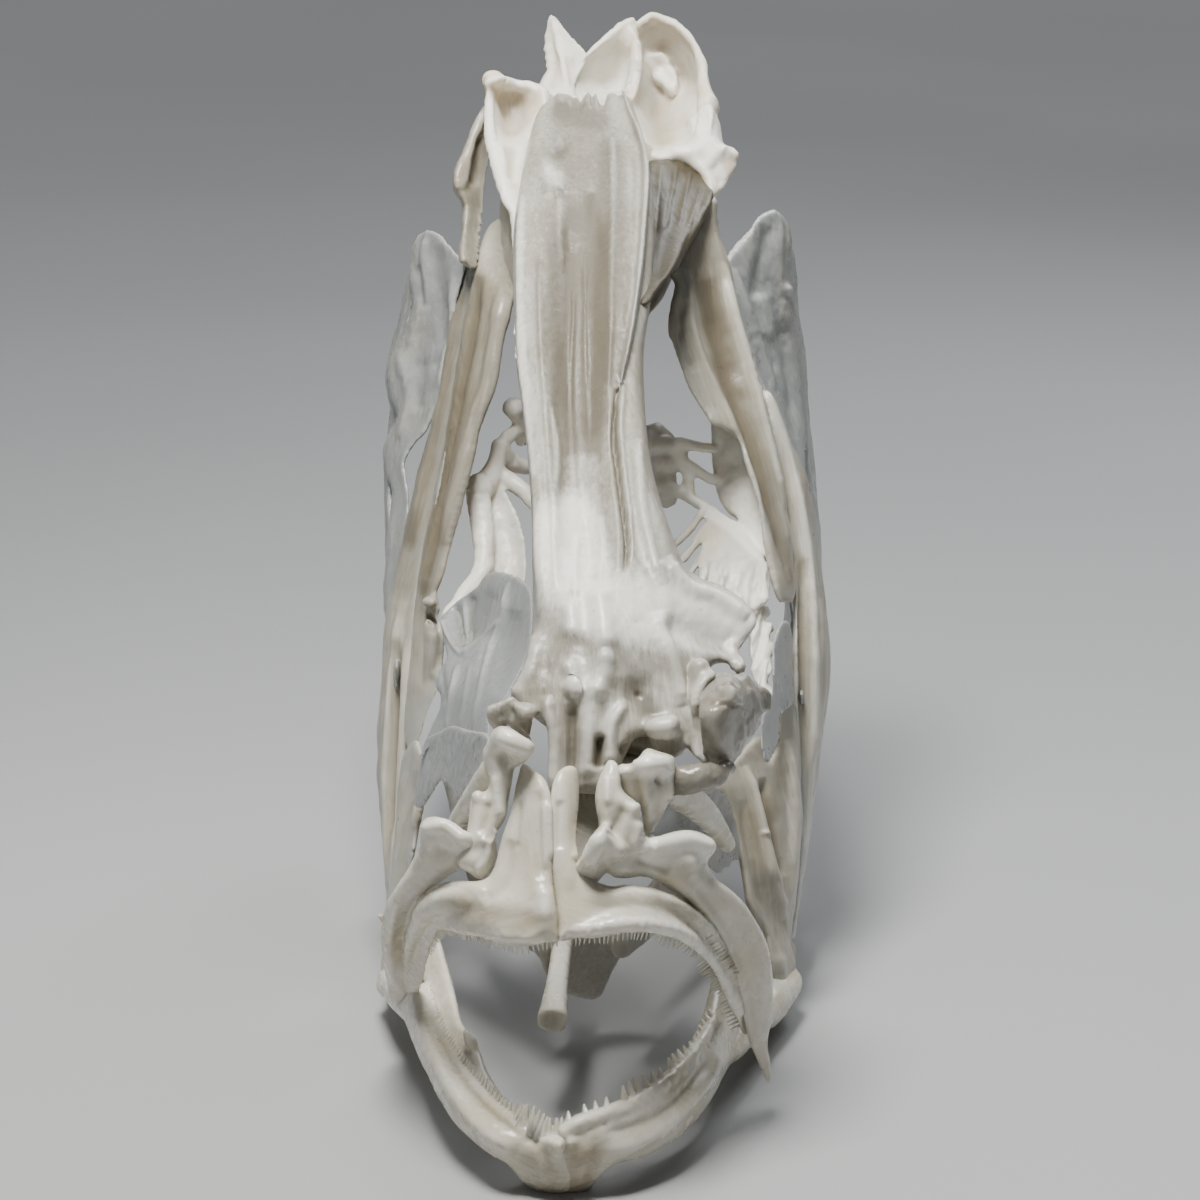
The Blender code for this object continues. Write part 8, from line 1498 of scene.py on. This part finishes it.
# ---------------------------------------------------------------- where the bone is darkened or lightened: its own dried tissue and bleaching, painted shade in grooves, recesses and shadowed parts, and painted light on lit tops and on parts in shadow
SHADES = {
    "frontoethmoid": [
        # painted shade down the roof's trough (first entry)
        ([(578, 120), (578, 230), (580, 330), (582, 420)], [36, 44, 42, 26], 0.44), ([(584, 470), (588, 560)], 22, -0.32),
        ([(590, 200), (592, 300), (594, 430)], 6, 0.28), ([(570, 210), (569, 300), (572, 410)], 5, 0.22), ([(554, 250), (550, 340), (556, 430)], 5, 0.25), ([(602, 220), (603, 330), (606, 420)], 5, 0.2),
        # painted shade in the small recess at (560, 154)
        ([(538, 260), (536, 340), (540, 420)], 5, 0.2), ([(562, 112), (600, 120)], 12, 0.2), ([(560, 154)], 8, 0.25), ([(563, 110)], 8, 0.3),
        # painted highlights: the lit ridge lines at columns 560 and 612 and the lit top of the swelling at (556, 176)
        ([(560, 200), (562, 260), (561, 340)], 3, -0.4), ([(612, 140), (612, 230), (611, 330)], 3, -0.3), ([(580, 240), (581, 330), (584, 410)], 3, -0.25), ([(556, 176), (550, 170)], 8, -0.7),
        # painted shade widening the trough along column 614 (first entry); painted glints at (548, 196) and (563, 204)
        ([(614, 150), (616, 250), (613, 370)], 15, 0.38), ([(631, 200), (630, 280), (624, 350)], 5, 0.1), ([(519, 200), (518, 290), (522, 380), (530, 470)], 7, -0.45), ([(548, 196)], 3, -0.6), ([(563, 204), (561, 212)], 2.5, -0.6),
        ([(560, 530), (590, 600), (650, 610), (720, 620)], 38, -0.6), ([(580, 680), (610, 720)], 30, -0.4), ([(700, 735), (700, 760)], 6, -0.4), ([(660, 690), (690, 700)], 20, -0.35),
        # painted shade in the ethmoid's recesses at (648, 702) and (632, 752), in the slot at column 572, in the window
        # at (600, 742) and in the crack beside the crest; painted highlight on the lateral ethmoid's upper edge at
        # (700, 610)
        ([(648, 702), (650, 716)], 8, 0.2), ([(632, 752), (648, 756)], 7, 0.4), ([(572, 706), (572, 756)], 6.5, 0.3), ([(610, 682)], 8, 0.3), ([(700, 610), (740, 622)], 16, -0.4), ([(600, 742), (598, 764)], 4.5, 0.7), ([(588, 540), (592, 575)], 8, 0.25), ([(616, 410), (615, 450), (620, 500), (627, 560)], 2.5, 0.6),
        ([(500, 712), (505, 722)], 9, 0.25), ([(668, 748)], 12, 0.3), ([(700, 640), (716, 648)], 9, 0.12)],
    "supraoccipital": [([(552, 40), (556, 70)], 5, 0.2), ([(572, 80), (575, 95)], 5, 0.15)],
    "otic_ocular": [([(512, 104), (514, 124)], 16, -0.25), ([(489, 110), (494, 155), (506, 200), (514, 240)], 10, -0.7), ([(498, 82), (530, 87)], 7, -0.6), ([(506, 216), (514, 260), (516, 320)], 5, 0.4), ([(520, 230), (521, 300)], 4, -0.2)],
    "otic_blind": [([(600, 60), (612, 84)], 24, -0.45), ([(650, 110), (670, 130)], 24, -0.2), ([(640, 106), (652, 136)], 18, 0.16), ([(648, 34), (672, 36), (692, 60), (694, 100)], 12, 0.2), ([(648, 62), (660, 76), (672, 90)], 9, -0.6), ([(636, 30), (633, 62), (626, 92)], 4, 0.3),
                   ([(706, 112), (714, 138), (700, 156), (672, 158)], [16, 20, 18, 12], -0.85), ([(590, 84), (618, 74)], 18, -0.25), ([(600, 44), (614, 32)], 7, -0.5), ([(714, 172), (722, 180)], 9, -0.8), ([(640, 98), (652, 150)], 4, 0.15)],
    "sphenotic_wing_blind": [([(662, 190), (664, 250), (655, 290)], 14, 0.35), ([(690, 200), (672, 240)], 8, 0.15), ([(698, 178), (706, 186)], 6, -0.3), ([(654, 166), (652, 200)], 4, -0.3), ([(676, 168), (672, 190)], 3, -0.2)],
    "braincase": [([(650, 250), (600, 250)], 120, 0.3)],
    # painted shade down the bar's groove (first entry) and painted highlight on the ridge beside it (third entry)
    "hyomandibula_blind": [([(703, 285), (720, 330), (735, 385), (752, 440), (765, 483), (776, 520), (783, 548), (790, 580)], [15, 17, 17, 13, 11, 9, 7, 5], 0.46), ([(688, 300), (690, 350), (712, 410)], 10, -0.15),
                           ([(726, 280), (742, 345), (762, 410), (780, 480)], 4, -0.4), ([(708, 220), (704, 250)], 10, 0.1)],
    # painted shade: the whole bar darkened as if in shadow, more down its groove
    "hyomandibula_ocular": [([(500, 280), (480, 380), (450, 500), (430, 600)], 26, 0.3), ([(478, 280), (466, 350), (452, 430), (436, 510), (424, 590)], [9, 10, 10, 8, 6], 0.36), ([(500, 290), (486, 380), (464, 460), (444, 540)], 9, 0.15), ([(430, 610), (434, 670)], 5, 0.3)],
    # painted shade: the bar darkened as if in shadow (first two entries) and in the groove at column 396 (last entry)
    "preopercle_ocular": [([(460, 300), (444, 380), (420, 480), (400, 580)], 18, 0.3), ([(460, 300), (444, 380), (428, 460), (410, 540)], 9, 0.22), ([(398, 620), (390, 700), (386, 800)], 10, -0.2), ([(396, 640), (396, 740), (392, 830)], 3, 0.35)],
    "preopercle_blind": [([(740, 310), (766, 392), (790, 460), (806, 540), (816, 640), (812, 740), (803, 840)], 8, -0.35), ([(802, 560), (803, 650), (805, 740), (803, 840)], 4, 0.25)],
    "quadrate_ocular": [([(412, 780), (402, 860)], 6, 0.2), ([(428, 780), (418, 830)], 7, 0.3)],
    "quadrate_blind": [([(750, 800), (760, 880)], 10, 0.3), ([(768, 800), (778, 880)], 5, 0.35), ([(792, 760), (792, 860)], 6, -0.3)],
    # painted shade: the blind pterygoid plates darkened as if in shadow
    "entopterygoid_blind": [([(716, 800), (700, 850)], 30, 0.5)],
    "ectopterygoid_blind": [([(716, 800), (700, 850)], 30, 0.5)],
    "premaxilla_ocular": [([(462, 908), (495, 916), (528, 918)], 14, 0.42), ([(536, 790), (536, 860)], 12, 0.15), ([(545, 903)], 13, -0.4), ([(440, 938), (545, 941)], 3, -0.4), ([(410, 900), (404, 960)], 10, 0.15)],
    "premaxilla_blind": [([(578, 780), (578, 866)], 9, 0.18), ([(590, 903), (640, 901), (690, 914)], 9, 0.3), ([(570, 932), (640, 924), (700, 946), (738, 1016)], 7, -0.5), ([(560, 780), (560, 850)], 4, -0.3)],
    # painted highlight on the top of the maxilla's head (first entry)
    "maxilla_ocular": [([(432, 836), (462, 850)], 18, -0.3), ([(400, 900), (392, 950)], 9, 0.22)],
    # painted highlight on the top of the maxilla's head (first entry)
    "maxilla_blind": [([(655, 850), (690, 846), (706, 848)], 18, -0.6), ([(612, 830), (590, 866)], 14, -0.35), ([(744, 930), (762, 1000)], 9, 0.1), ([(640, 872)], 8, 0.25), ([(623, 812)], 6, 0.2)],
    "palatine_ocular": [([(506, 742), (520, 750)], 14, -0.4), ([(480, 860), (470, 870)], 9, -0.3), ([(484, 818)], 7, 0.3)],
    "palatine_blind": [([(645, 766), (664, 772)], 14, -0.5), ([(636, 792)], 7, 0.3)],
    # painted shade along the lower jaw and in its groove, strongest on the downward-facing chin
    "dentary_ocular": [([(420, 1020), (450, 1080), (500, 1130)], 16, 0.2), ([(540, 1160), (548, 1184)], 22, 0.42), ([(440, 1040), (480, 1100), (520, 1134)], 4, 0.15)],
    # painted shade in the groove and along the jaw's lower face, strongest on the downward-facing chin
    "dentary_blind": [([(690, 1086), (660, 1110), (620, 1128)], 6, 0.15), ([(582, 1160), (574, 1186)], 22, 0.5), ([(700, 1090), (650, 1130), (600, 1148)], 10, 0.12)],
    # painted light: the arches sit in the shadow of the roof and are lightened to read as lit
    "gill_arches_blind": [([(650, 430), (666, 500)], 22, -0.7), ([(680, 444), (708, 447), (740, 453)], 8, -0.8), ([(664, 462), (714, 480), (744, 486)], 8, -0.8), ([(658, 484), (720, 518), (766, 556)], 8, -0.7),
                          ([(716, 420), (740, 480), (762, 540)], 18, -0.5), ([(710, 590), (750, 610), (762, 690)], 30, -0.4)],
    # painted light: the arches sit in the shadow of the roof and are lightened to read as lit
    "gill_arches_ocular": [([(514, 408), (500, 450), (480, 490), (482, 560), (480, 610)], 30, -0.5)],
    # painted light: the plate is lightened against the shadow it lies in
    "urohyal": [([(630, 900), (600, 980)], 60, -0.35)],
    "basihyal": [([(560, 950), (556, 1000)], 10, -0.5), ([(551, 1020)], 11, 0.3)],
    "lacrimal_blind": [([(712, 720), (720, 760)], 12, 0.15), ([(720, 690), (750, 700)], 9, -0.2)],
    "posttemporal_ocular": [([(476, 130), (466, 200), (470, 260)], 16, 0.35)],
    "entopterygoid_ocular": [([(455, 610), (462, 640)], 8, 0.15), ([(500, 600), (480, 670)], 9, -0.2)],
    "articular_ocular": [([(400, 1000), (420, 1060)], 30, 0.15)],
}

# ---------------------------------------------------------------- materials
def nodes_of(name):
    mat = bpy.data.materials.new(name)
    mat.use_nodes = True
    tree = mat.node_tree
    tree.nodes.clear()
    return mat, tree


class Web:
    """Short hand for wiring a shader."""

    def __init__(self, tree):
        self.tree = tree

    def node(self, kind, **sets):
        n = self.tree.nodes.new(kind)
        for k, v in sets.items():
            setattr(n, k, v)
        return n

    def link(self, a, b):
        self.tree.links.new(a, b)

    def feed(self, socket, value):
        if isinstance(value, bpy.types.NodeSocket):
            self.link(value, socket)
        elif isinstance(value, tuple) and len(value) == 3 and socket.type == "RGBA":
            socket.default_value = (*value, 1.0)
        else:
            socket.default_value = value

    def math(self, op, a, b=0.0, clamp=False):
        n = self.node("ShaderNodeMath", operation=op, use_clamp=clamp)
        self.feed(n.inputs[0], a)
        self.feed(n.inputs[1], b)
        return n.outputs[0]

    def mix(self, f, a, b, blend="MIX"):
        n = self.node("ShaderNodeMix", data_type="RGBA", blend_type=blend)
        self.feed(n.inputs[0], f)
        self.feed(n.inputs[6], a)
        self.feed(n.inputs[7], b)
        return n.outputs[2]

    def ramp(self, value, low, high, a=0.0, b=1.0):
        n = self.node("ShaderNodeMapRange", interpolation_type="SMOOTHSTEP")
        self.feed(n.inputs[0], value)
        for i, x in enumerate((low, high, a, b)):
            n.inputs[i + 1].default_value = x
        return n.outputs[0]

    def scaled(self, vector, s):
        n = self.node("ShaderNodeMapping")
        self.link(vector, n.inputs[0])
        n.inputs["Scale"].default_value = s
        return n.outputs[0]

    def noise(self, vector, scale, detail=3.0, rough=0.55, warp=0.0):
        n = self.node("ShaderNodeTexNoise")
        self.link(vector, n.inputs["Vector"])
        n.inputs["Scale"].default_value = scale
        n.inputs["Detail"].default_value = detail
        n.inputs["Roughness"].default_value = rough
        n.inputs["Distortion"].default_value = warp
        return n.outputs["Fac"]


LOOKS = {
    # base, warm patches, hollows (painted shade there, also dark streaks, stains and specks), raised lines (painted
    # highlight there, also light streaks), thin edges (painted see-through shade), roughness, subsurface, streaks, fine
    # bump, transmission
    "roof": dict(base=(0.38, 0.365, 0.315), warm=(0.32, 0.30, 0.245), deep=(0.135, 0.117, 0.085), light=(0.66, 0.645, 0.59), thin=(0.36, 0.365, 0.345), rough=0.34, sss=0.15, streak=0.45, bump=0.35, clear=0.0),
    "bright": dict(base=(0.80, 0.76, 0.67), warm=(0.68, 0.61, 0.47), deep=(0.38, 0.305, 0.20), light=(0.90, 0.88, 0.83), thin=(0.62, 0.61, 0.57), rough=0.38, sss=0.3, streak=0.15, bump=0.3, clear=0.0),
    "jaw": dict(base=(0.64, 0.615, 0.53), warm=(0.57, 0.525, 0.41), deep=(0.30, 0.24, 0.15), light=(0.80, 0.78, 0.70), thin=(0.50, 0.48, 0.41), rough=0.27, sss=0.25, streak=0.12, bump=0.2, clear=0.0),
    "bone": dict(base=(0.40, 0.38, 0.315), warm=(0.34, 0.31, 0.24), deep=(0.155, 0.128, 0.085), light=(0.66, 0.64, 0.57), thin=(0.37, 0.38, 0.355), rough=0.32, sss=0.2, streak=0.3, bump=0.3, clear=0.0),
    "wing": dict(base=(0.062, 0.050, 0.026), warm=(0.050, 0.038, 0.018), deep=(0.020, 0.016, 0.008), light=(0.16, 0.145, 0.10), thin=(0.06, 0.052, 0.032), rough=0.45, sss=0.05, streak=0.9, bump=0.6, clear=0.0),
    "thin": dict(base=(0.35, 0.36, 0.345), warm=(0.33, 0.325, 0.29), deep=(0.17, 0.165, 0.14), light=(0.55, 0.56, 0.545), thin=(0.28, 0.30, 0.305), rough=0.3, sss=0.15, streak=0.55, bump=0.4, clear=0.05),
    "glassy": dict(base=(0.36, 0.335, 0.275), warm=(0.29, 0.26, 0.195), deep=(0.16, 0.135, 0.09), light=(0.60, 0.58, 0.53), thin=(0.42, 0.405, 0.36), rough=0.07, sss=0.1, streak=0.3, bump=0.45, clear=0.42),
}


def bone_material(look):
    known = bpy.data.materials.get("dry_" + look)
    if known:
        return known
    L = LOOKS[look]
    mat, tree = nodes_of("dry_" + look)
    w = Web(tree)
    coord = w.node("ShaderNodeTexCoord").outputs["Object"]
    mm = w.scaled(coord, (1000.0, 1000.0, 1000.0))
    grain = w.node("ShaderNodeAttribute", attribute_name="grain").outputs["Vector"]
    hollow = w.node("ShaderNodeAttribute", attribute_name="hollow").outputs["Fac"]
    wall = w.node("ShaderNodeAttribute", attribute_name="wall").outputs["Fac"]
    # colour: slow warm patches, streaks along the grain, painted shade in hollows and painted highlight on ridges,
    # painted see-through shade on thin walls
    patches = w.ramp(w.noise(mm, 0.16, 3.0, 0.5, 0.4), 0.40, 0.66)
    colour = w.mix(patches, L["base"], L["warm"])
    lay = w.scaled(grain, (2.6, 0.10, 2.6))
    streak = w.noise(lay, 1.0, 4.0, 0.62, 0.15)
    colour = w.mix(w.ramp(streak, 0.50, 0.76, 0.0, L["streak"]), colour, L["deep"])
    colour = w.mix(w.ramp(streak, 0.46, 0.26, 0.0, L["streak"] * 0.8), colour, L["light"])
    # painted see-through shade: thin walls tinted cool grey as if the dark behind showed through the bone
    see_through_shade = w.ramp(wall, 1.3, 0.35, 0.0, 0.75)
    colour = w.mix(see_through_shade, colour, L["thin"])
    # painted shade: hollows and sunk lines darkened toward the deep colour
    colour = w.mix(w.ramp(hollow, 0.02, 0.55, 0.0, 0.5 if look == "jaw" else 0.75), colour, L["deep"])
    # painted highlight: ridges and raised lines lightened toward the light colour
    colour = w.mix(w.ramp(hollow, -0.08, -0.50, 0.0, 0.45), colour, L["light"])
    shade = w.node("ShaderNodeAttribute", attribute_name="shade").outputs["Fac"]
    # shade attribute with streaks: dried tissue and painted shade darken toward the deep colour, bleaching and painted
    # light lighten toward pale ivory
    stain_and_shade = w.math("ADD", shade, w.math("MULTIPLY", w.math("SUBTRACT", streak, 0.5), 0.35))
    colour = w.mix(w.ramp(stain_and_shade, 0.0, 0.75, 0.0, 0.92), colour, L["deep"])
    # pale ivory: bleached bone, and painted light on lit tops and on parts in shadow
    colour = w.mix(w.ramp(stain_and_shade, -0.04, -0.75, 0.0, 0.9), colour, (0.88, 0.855, 0.79) if look != "wing" else L["light"])
    specks = w.ramp(w.noise(mm, 1.7, 2.0, 0.5), 0.66, 0.74, 0.0, 0.22)
    colour = w.mix(specks, colour, L["deep"])
    # gloss
    gloss = w.math("ADD", w.math("MULTIPLY", w.noise(mm, 0.5, 3.0), 0.22), L["rough"] - 0.11)
    # relief finer than the mesh
    pores = w.noise(mm, 3.2, 3.0, 0.6)
    fibre = w.noise(w.scaled(grain, (7.0, 0.35, 7.0)), 1.0, 3.0, 0.6, 0.1)
    height = w.math("ADD", w.math("MULTIPLY", pores, 0.35), w.math("MULTIPLY", fibre, 0.4 + 0.6 * L["streak"]))
    bump = w.node("ShaderNodeBump")
    bump.inputs["Strength"].default_value = L["bump"]
    bump.inputs["Distance"].default_value = 0.00012
    w.link(height, bump.inputs["Height"])
    shader = w.node("ShaderNodeBsdfPrincipled")
    w.link(colour, shader.inputs["Base Color"])
    w.link(gloss, shader.inputs["Roughness"])
    w.link(bump.outputs[0], shader.inputs["Normal"])
    shader.inputs["IOR"].default_value = 1.5
    shader.inputs["Subsurface Weight"].default_value = L["sss"]
    shader.inputs["Subsurface Radius"].default_value = (1.0, 0.72, 0.5)
    shader.inputs["Subsurface Scale"].default_value = 0.0012
    shader.inputs["Transmission Weight"].default_value = L["clear"]
    out = w.node("ShaderNodeOutputMaterial")
    w.link(shader.outputs[0], out.inputs[0])
    return mat

# ---------------------------------------------------------------- fusing and finishing each bone
FINE = 0.20                      # voxel of the front bones, mm
COARSE = {"opercle_ocular": 0.30, "opercle_blind": 0.30, "subopercle_ocular": 0.32, "subopercle_blind": 0.32, "braincase": 0.34,
          "preopercle_ocular": 0.26, "preopercle_blind": 0.26, "hyomandibula_ocular": 0.25, "hyomandibula_blind": 0.25,
          "interopercle_ocular": 0.28, "interopercle_blind": 0.28, "ceratohyal_ocular": 0.28, "ceratohyal_blind": 0.28, "parasphenoid": 0.28}


def largest_only(mesh):
    bm = bmesh.new()
    bm.from_mesh(mesh)
    left = set(bm.verts)
    groups = []
    while left:
        stack = [left.pop()]
        group = set(stack)
        while stack:
            v = stack.pop()
            for e in v.link_edges:
                o = e.other_vert(v)
                if o in left:
                    left.discard(o)
                    group.add(o)
                    stack.append(o)
        groups.append(group)
    groups.sort(key=len, reverse=True)
    if len(groups) > 1:
        bmesh.ops.delete(bm, geom=[v for g in groups[1:] for v in g], context="VERTS")
        bm.to_mesh(mesh)
    bm.free()


def wall_of(skin, every=1):
    """Thickness of the bone under each point (mm), read straight through it."""
    co = skin.P.tolist()
    faces = [tuple(p.vertices) for p in skin.mesh.polygons]
    tree = BVHTree.FromPolygons(co, faces)
    out = np.full(skin.n, 4.0)
    P, N = skin.P - skin.N * 0.02, -skin.N
    for i in range(0, skin.n, every):
        hit = tree.ray_cast(Vector(P[i]), Vector(N[i]), 4.0)
        if hit[0] is not None:
            out[i] = hit[3]
    if every > 1:
        known = np.zeros(skin.n)
        known[::every] = 1.0
        vals = skin.blurred(np.stack([out * known, known], axis=1), 6)
        out = np.where(vals[:, 1] > 1e-6, vals[:, 0] / np.maximum(vals[:, 1], 1e-6), 4.0)
    return out


def put_attribute(mesh, name, values, kind="FLOAT"):
    a = mesh.attributes.new(name, kind, "POINT")
    if kind == "FLOAT":
        a.data.foreach_set("value", np.asarray(values, np.float32))
    else:
        a.data.foreach_set("vector", np.asarray(values, np.float32).ravel())


def union(obj, other):
    """Boolean union applied, left out if it loses the body."""
    was = len(obj.data.polygons)
    keep = obj.data.copy()
    m = obj.modifiers.new("join", "BOOLEAN")
    m.operation = "UNION"
    m.solver = "MANIFOLD"
    m.object = other
    settled(obj, obj.name)
    if len(obj.data.polygons) < 0.5 * was:
        obj.data = keep
        return False
    return True

# ---------------------------------------------------------------- making the bones
all_bones(26)
for name, (shape, look, tris) in BONES.items():
    obj = bpy.data.objects.new("bone_" + name, mesh_of(name, shape))
    bpy.context.scene.collection.objects.link(obj)
    voxel = COARSE.get(name, FINE) * 1.0
    fuse = obj.modifiers.new("fuse", "REMESH")
    fuse.mode = "VOXEL"
    fuse.voxel_size = voxel * MM
    ease = obj.modifiers.new("ease", "SMOOTH")
    ease.factor = 0.5
    ease.iterations = 5
    settled(obj, name)
    largest_only(obj.data)
    skin = Skin(obj.data)
    grain = RELIEF[name](skin) if name in RELIEF else None
    if grain is None:
        grain = grain_axis(skin, (0.0, _C, 0.9))
    # the chin and the two lowest gill bones end in small flats on the floor
    skin.P[:, 2] = np.maximum(skin.P[:, 2], 0.0)
    skin.refresh()
    # curvature of the surface, painted into the colour later: painted shade in hollows, painted highlight on ridges
    bend = ((skin.blurred(skin.P, 40) - skin.P) * skin.N).sum(1)
    bend = skin.blurred(bend, 6)[:, 0]
    # dried tissue and bleaching, and painted shade and painted light, from the SHADES table
    for path, wide, amount in SHADES.get(name, ()):
        skin.tint(path, wide, amount)
    wall = wall_of(skin, 2)
    put_attribute(obj.data, "grain", grain, "FLOAT_VECTOR")
    # hollow: curvature plus the carved strokes, painted as shade in hollows and as highlight on ridges
    put_attribute(obj.data, "hollow", bend + 0.5 * skin.blurred(skin.carved_shade_and_highlight, 2)[:, 0])
    put_attribute(obj.data, "shade", skin.blurred(np.clip(skin.shade, -0.9, 0.9), 3)[:, 0])
    put_attribute(obj.data, "wall", wall)
    if shape.teeth:
        row = Shape()
        for root, tip, r in shape.teeth:
            row.cone(root, tip, r, sides=8)
        teeth = bpy.data.objects.new("teeth", mesh_of("teeth", row))
        bpy.context.scene.collection.objects.link(teeth)
        union(obj, teeth)
        bpy.data.objects.remove(teeth)
    for p in obj.data.polygons:
        p.use_smooth = True
    obj.data.materials.clear()
    obj.data.materials.append(bone_material(look))
    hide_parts(name)
    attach(obj, "root")

# ---------------------------------------------------------------- camera, floor and light
scene = bpy.context.scene
cam_data = bpy.data.cameras.new("camera")
cam = bpy.data.objects.new("camera", cam_data)
scene.collection.objects.link(cam)
cam_data.sensor_fit = "HORIZONTAL"
cam_data.sensor_width = 36.0
cam_data.lens = 36.0 * _F / 1200.0
cam_data.clip_start = 0.01
cam.location = Vector((MID - SIGHT * VIEW_DIST) * MM)
cam.rotation_euler = Vector(SIGHT).to_track_quat("-Z", "Y").to_euler()
scene.camera = cam

bpy.ops.mesh.primitive_plane_add(size=6.0, location=(0, 1.0, 0))
floor = bpy.context.object
floor.name = "floor"
mat, tree = nodes_of("pale_floor")
w = Web(tree)
shader = w.node("ShaderNodeBsdfPrincipled")
coord = w.node("ShaderNodeTexCoord").outputs["Object"]
tone = w.mix(w.ramp(w.noise(coord, 6.0, 2.0), 0.35, 0.65), (0.36, 0.365, 0.37), (0.38, 0.384, 0.388))
w.link(tone, shader.inputs["Base Color"])
shader.inputs["Roughness"].default_value = 0.7
out = w.node("ShaderNodeOutputMaterial")
w.link(shader.outputs[0], out.inputs[0])
floor.data.materials.append(mat)

world = bpy.data.worlds.new("studio")
scene.world = world
world.use_nodes = True
world.node_tree.nodes["Background"].inputs[0].default_value = (0.62, 0.64, 0.68, 1)
world.node_tree.nodes["Background"].inputs[1].default_value = 0.10


def lamp(name, place, aim, size, power, tint=(1, 1, 1)):
    data = bpy.data.lights.new(name, "AREA")
    data.shape = "DISK"
    data.size = size
    data.energy = power
    data.color = tint
    obj = bpy.data.objects.new(name, data)
    scene.collection.objects.link(obj)
    obj.location = place
    obj.rotation_euler = (Vector(aim) - Vector(place)).to_track_quat("-Z", "Y").to_euler()
    return obj


lamp("key", (-0.03, -0.07, 0.27), (0.0, -0.01, 0.06), 0.09, 1.3, (1.0, 0.985, 0.95))
lamp("front", (-0.16, -0.52, 0.30), (0.0, 0.0, 0.04), 0.24, 0.17, (1.0, 0.99, 0.97))
lamp("rim", (0.16, 0.26, 0.26), (0.0, 0.0, 0.05), 0.16, 0.5, (0.94, 0.97, 1.0))
lamp("ceiling", (0.0, 1.1, 1.9), (0.0, 0.9, 0.0), 2.4, 24.0, (0.98, 0.99, 1.0))
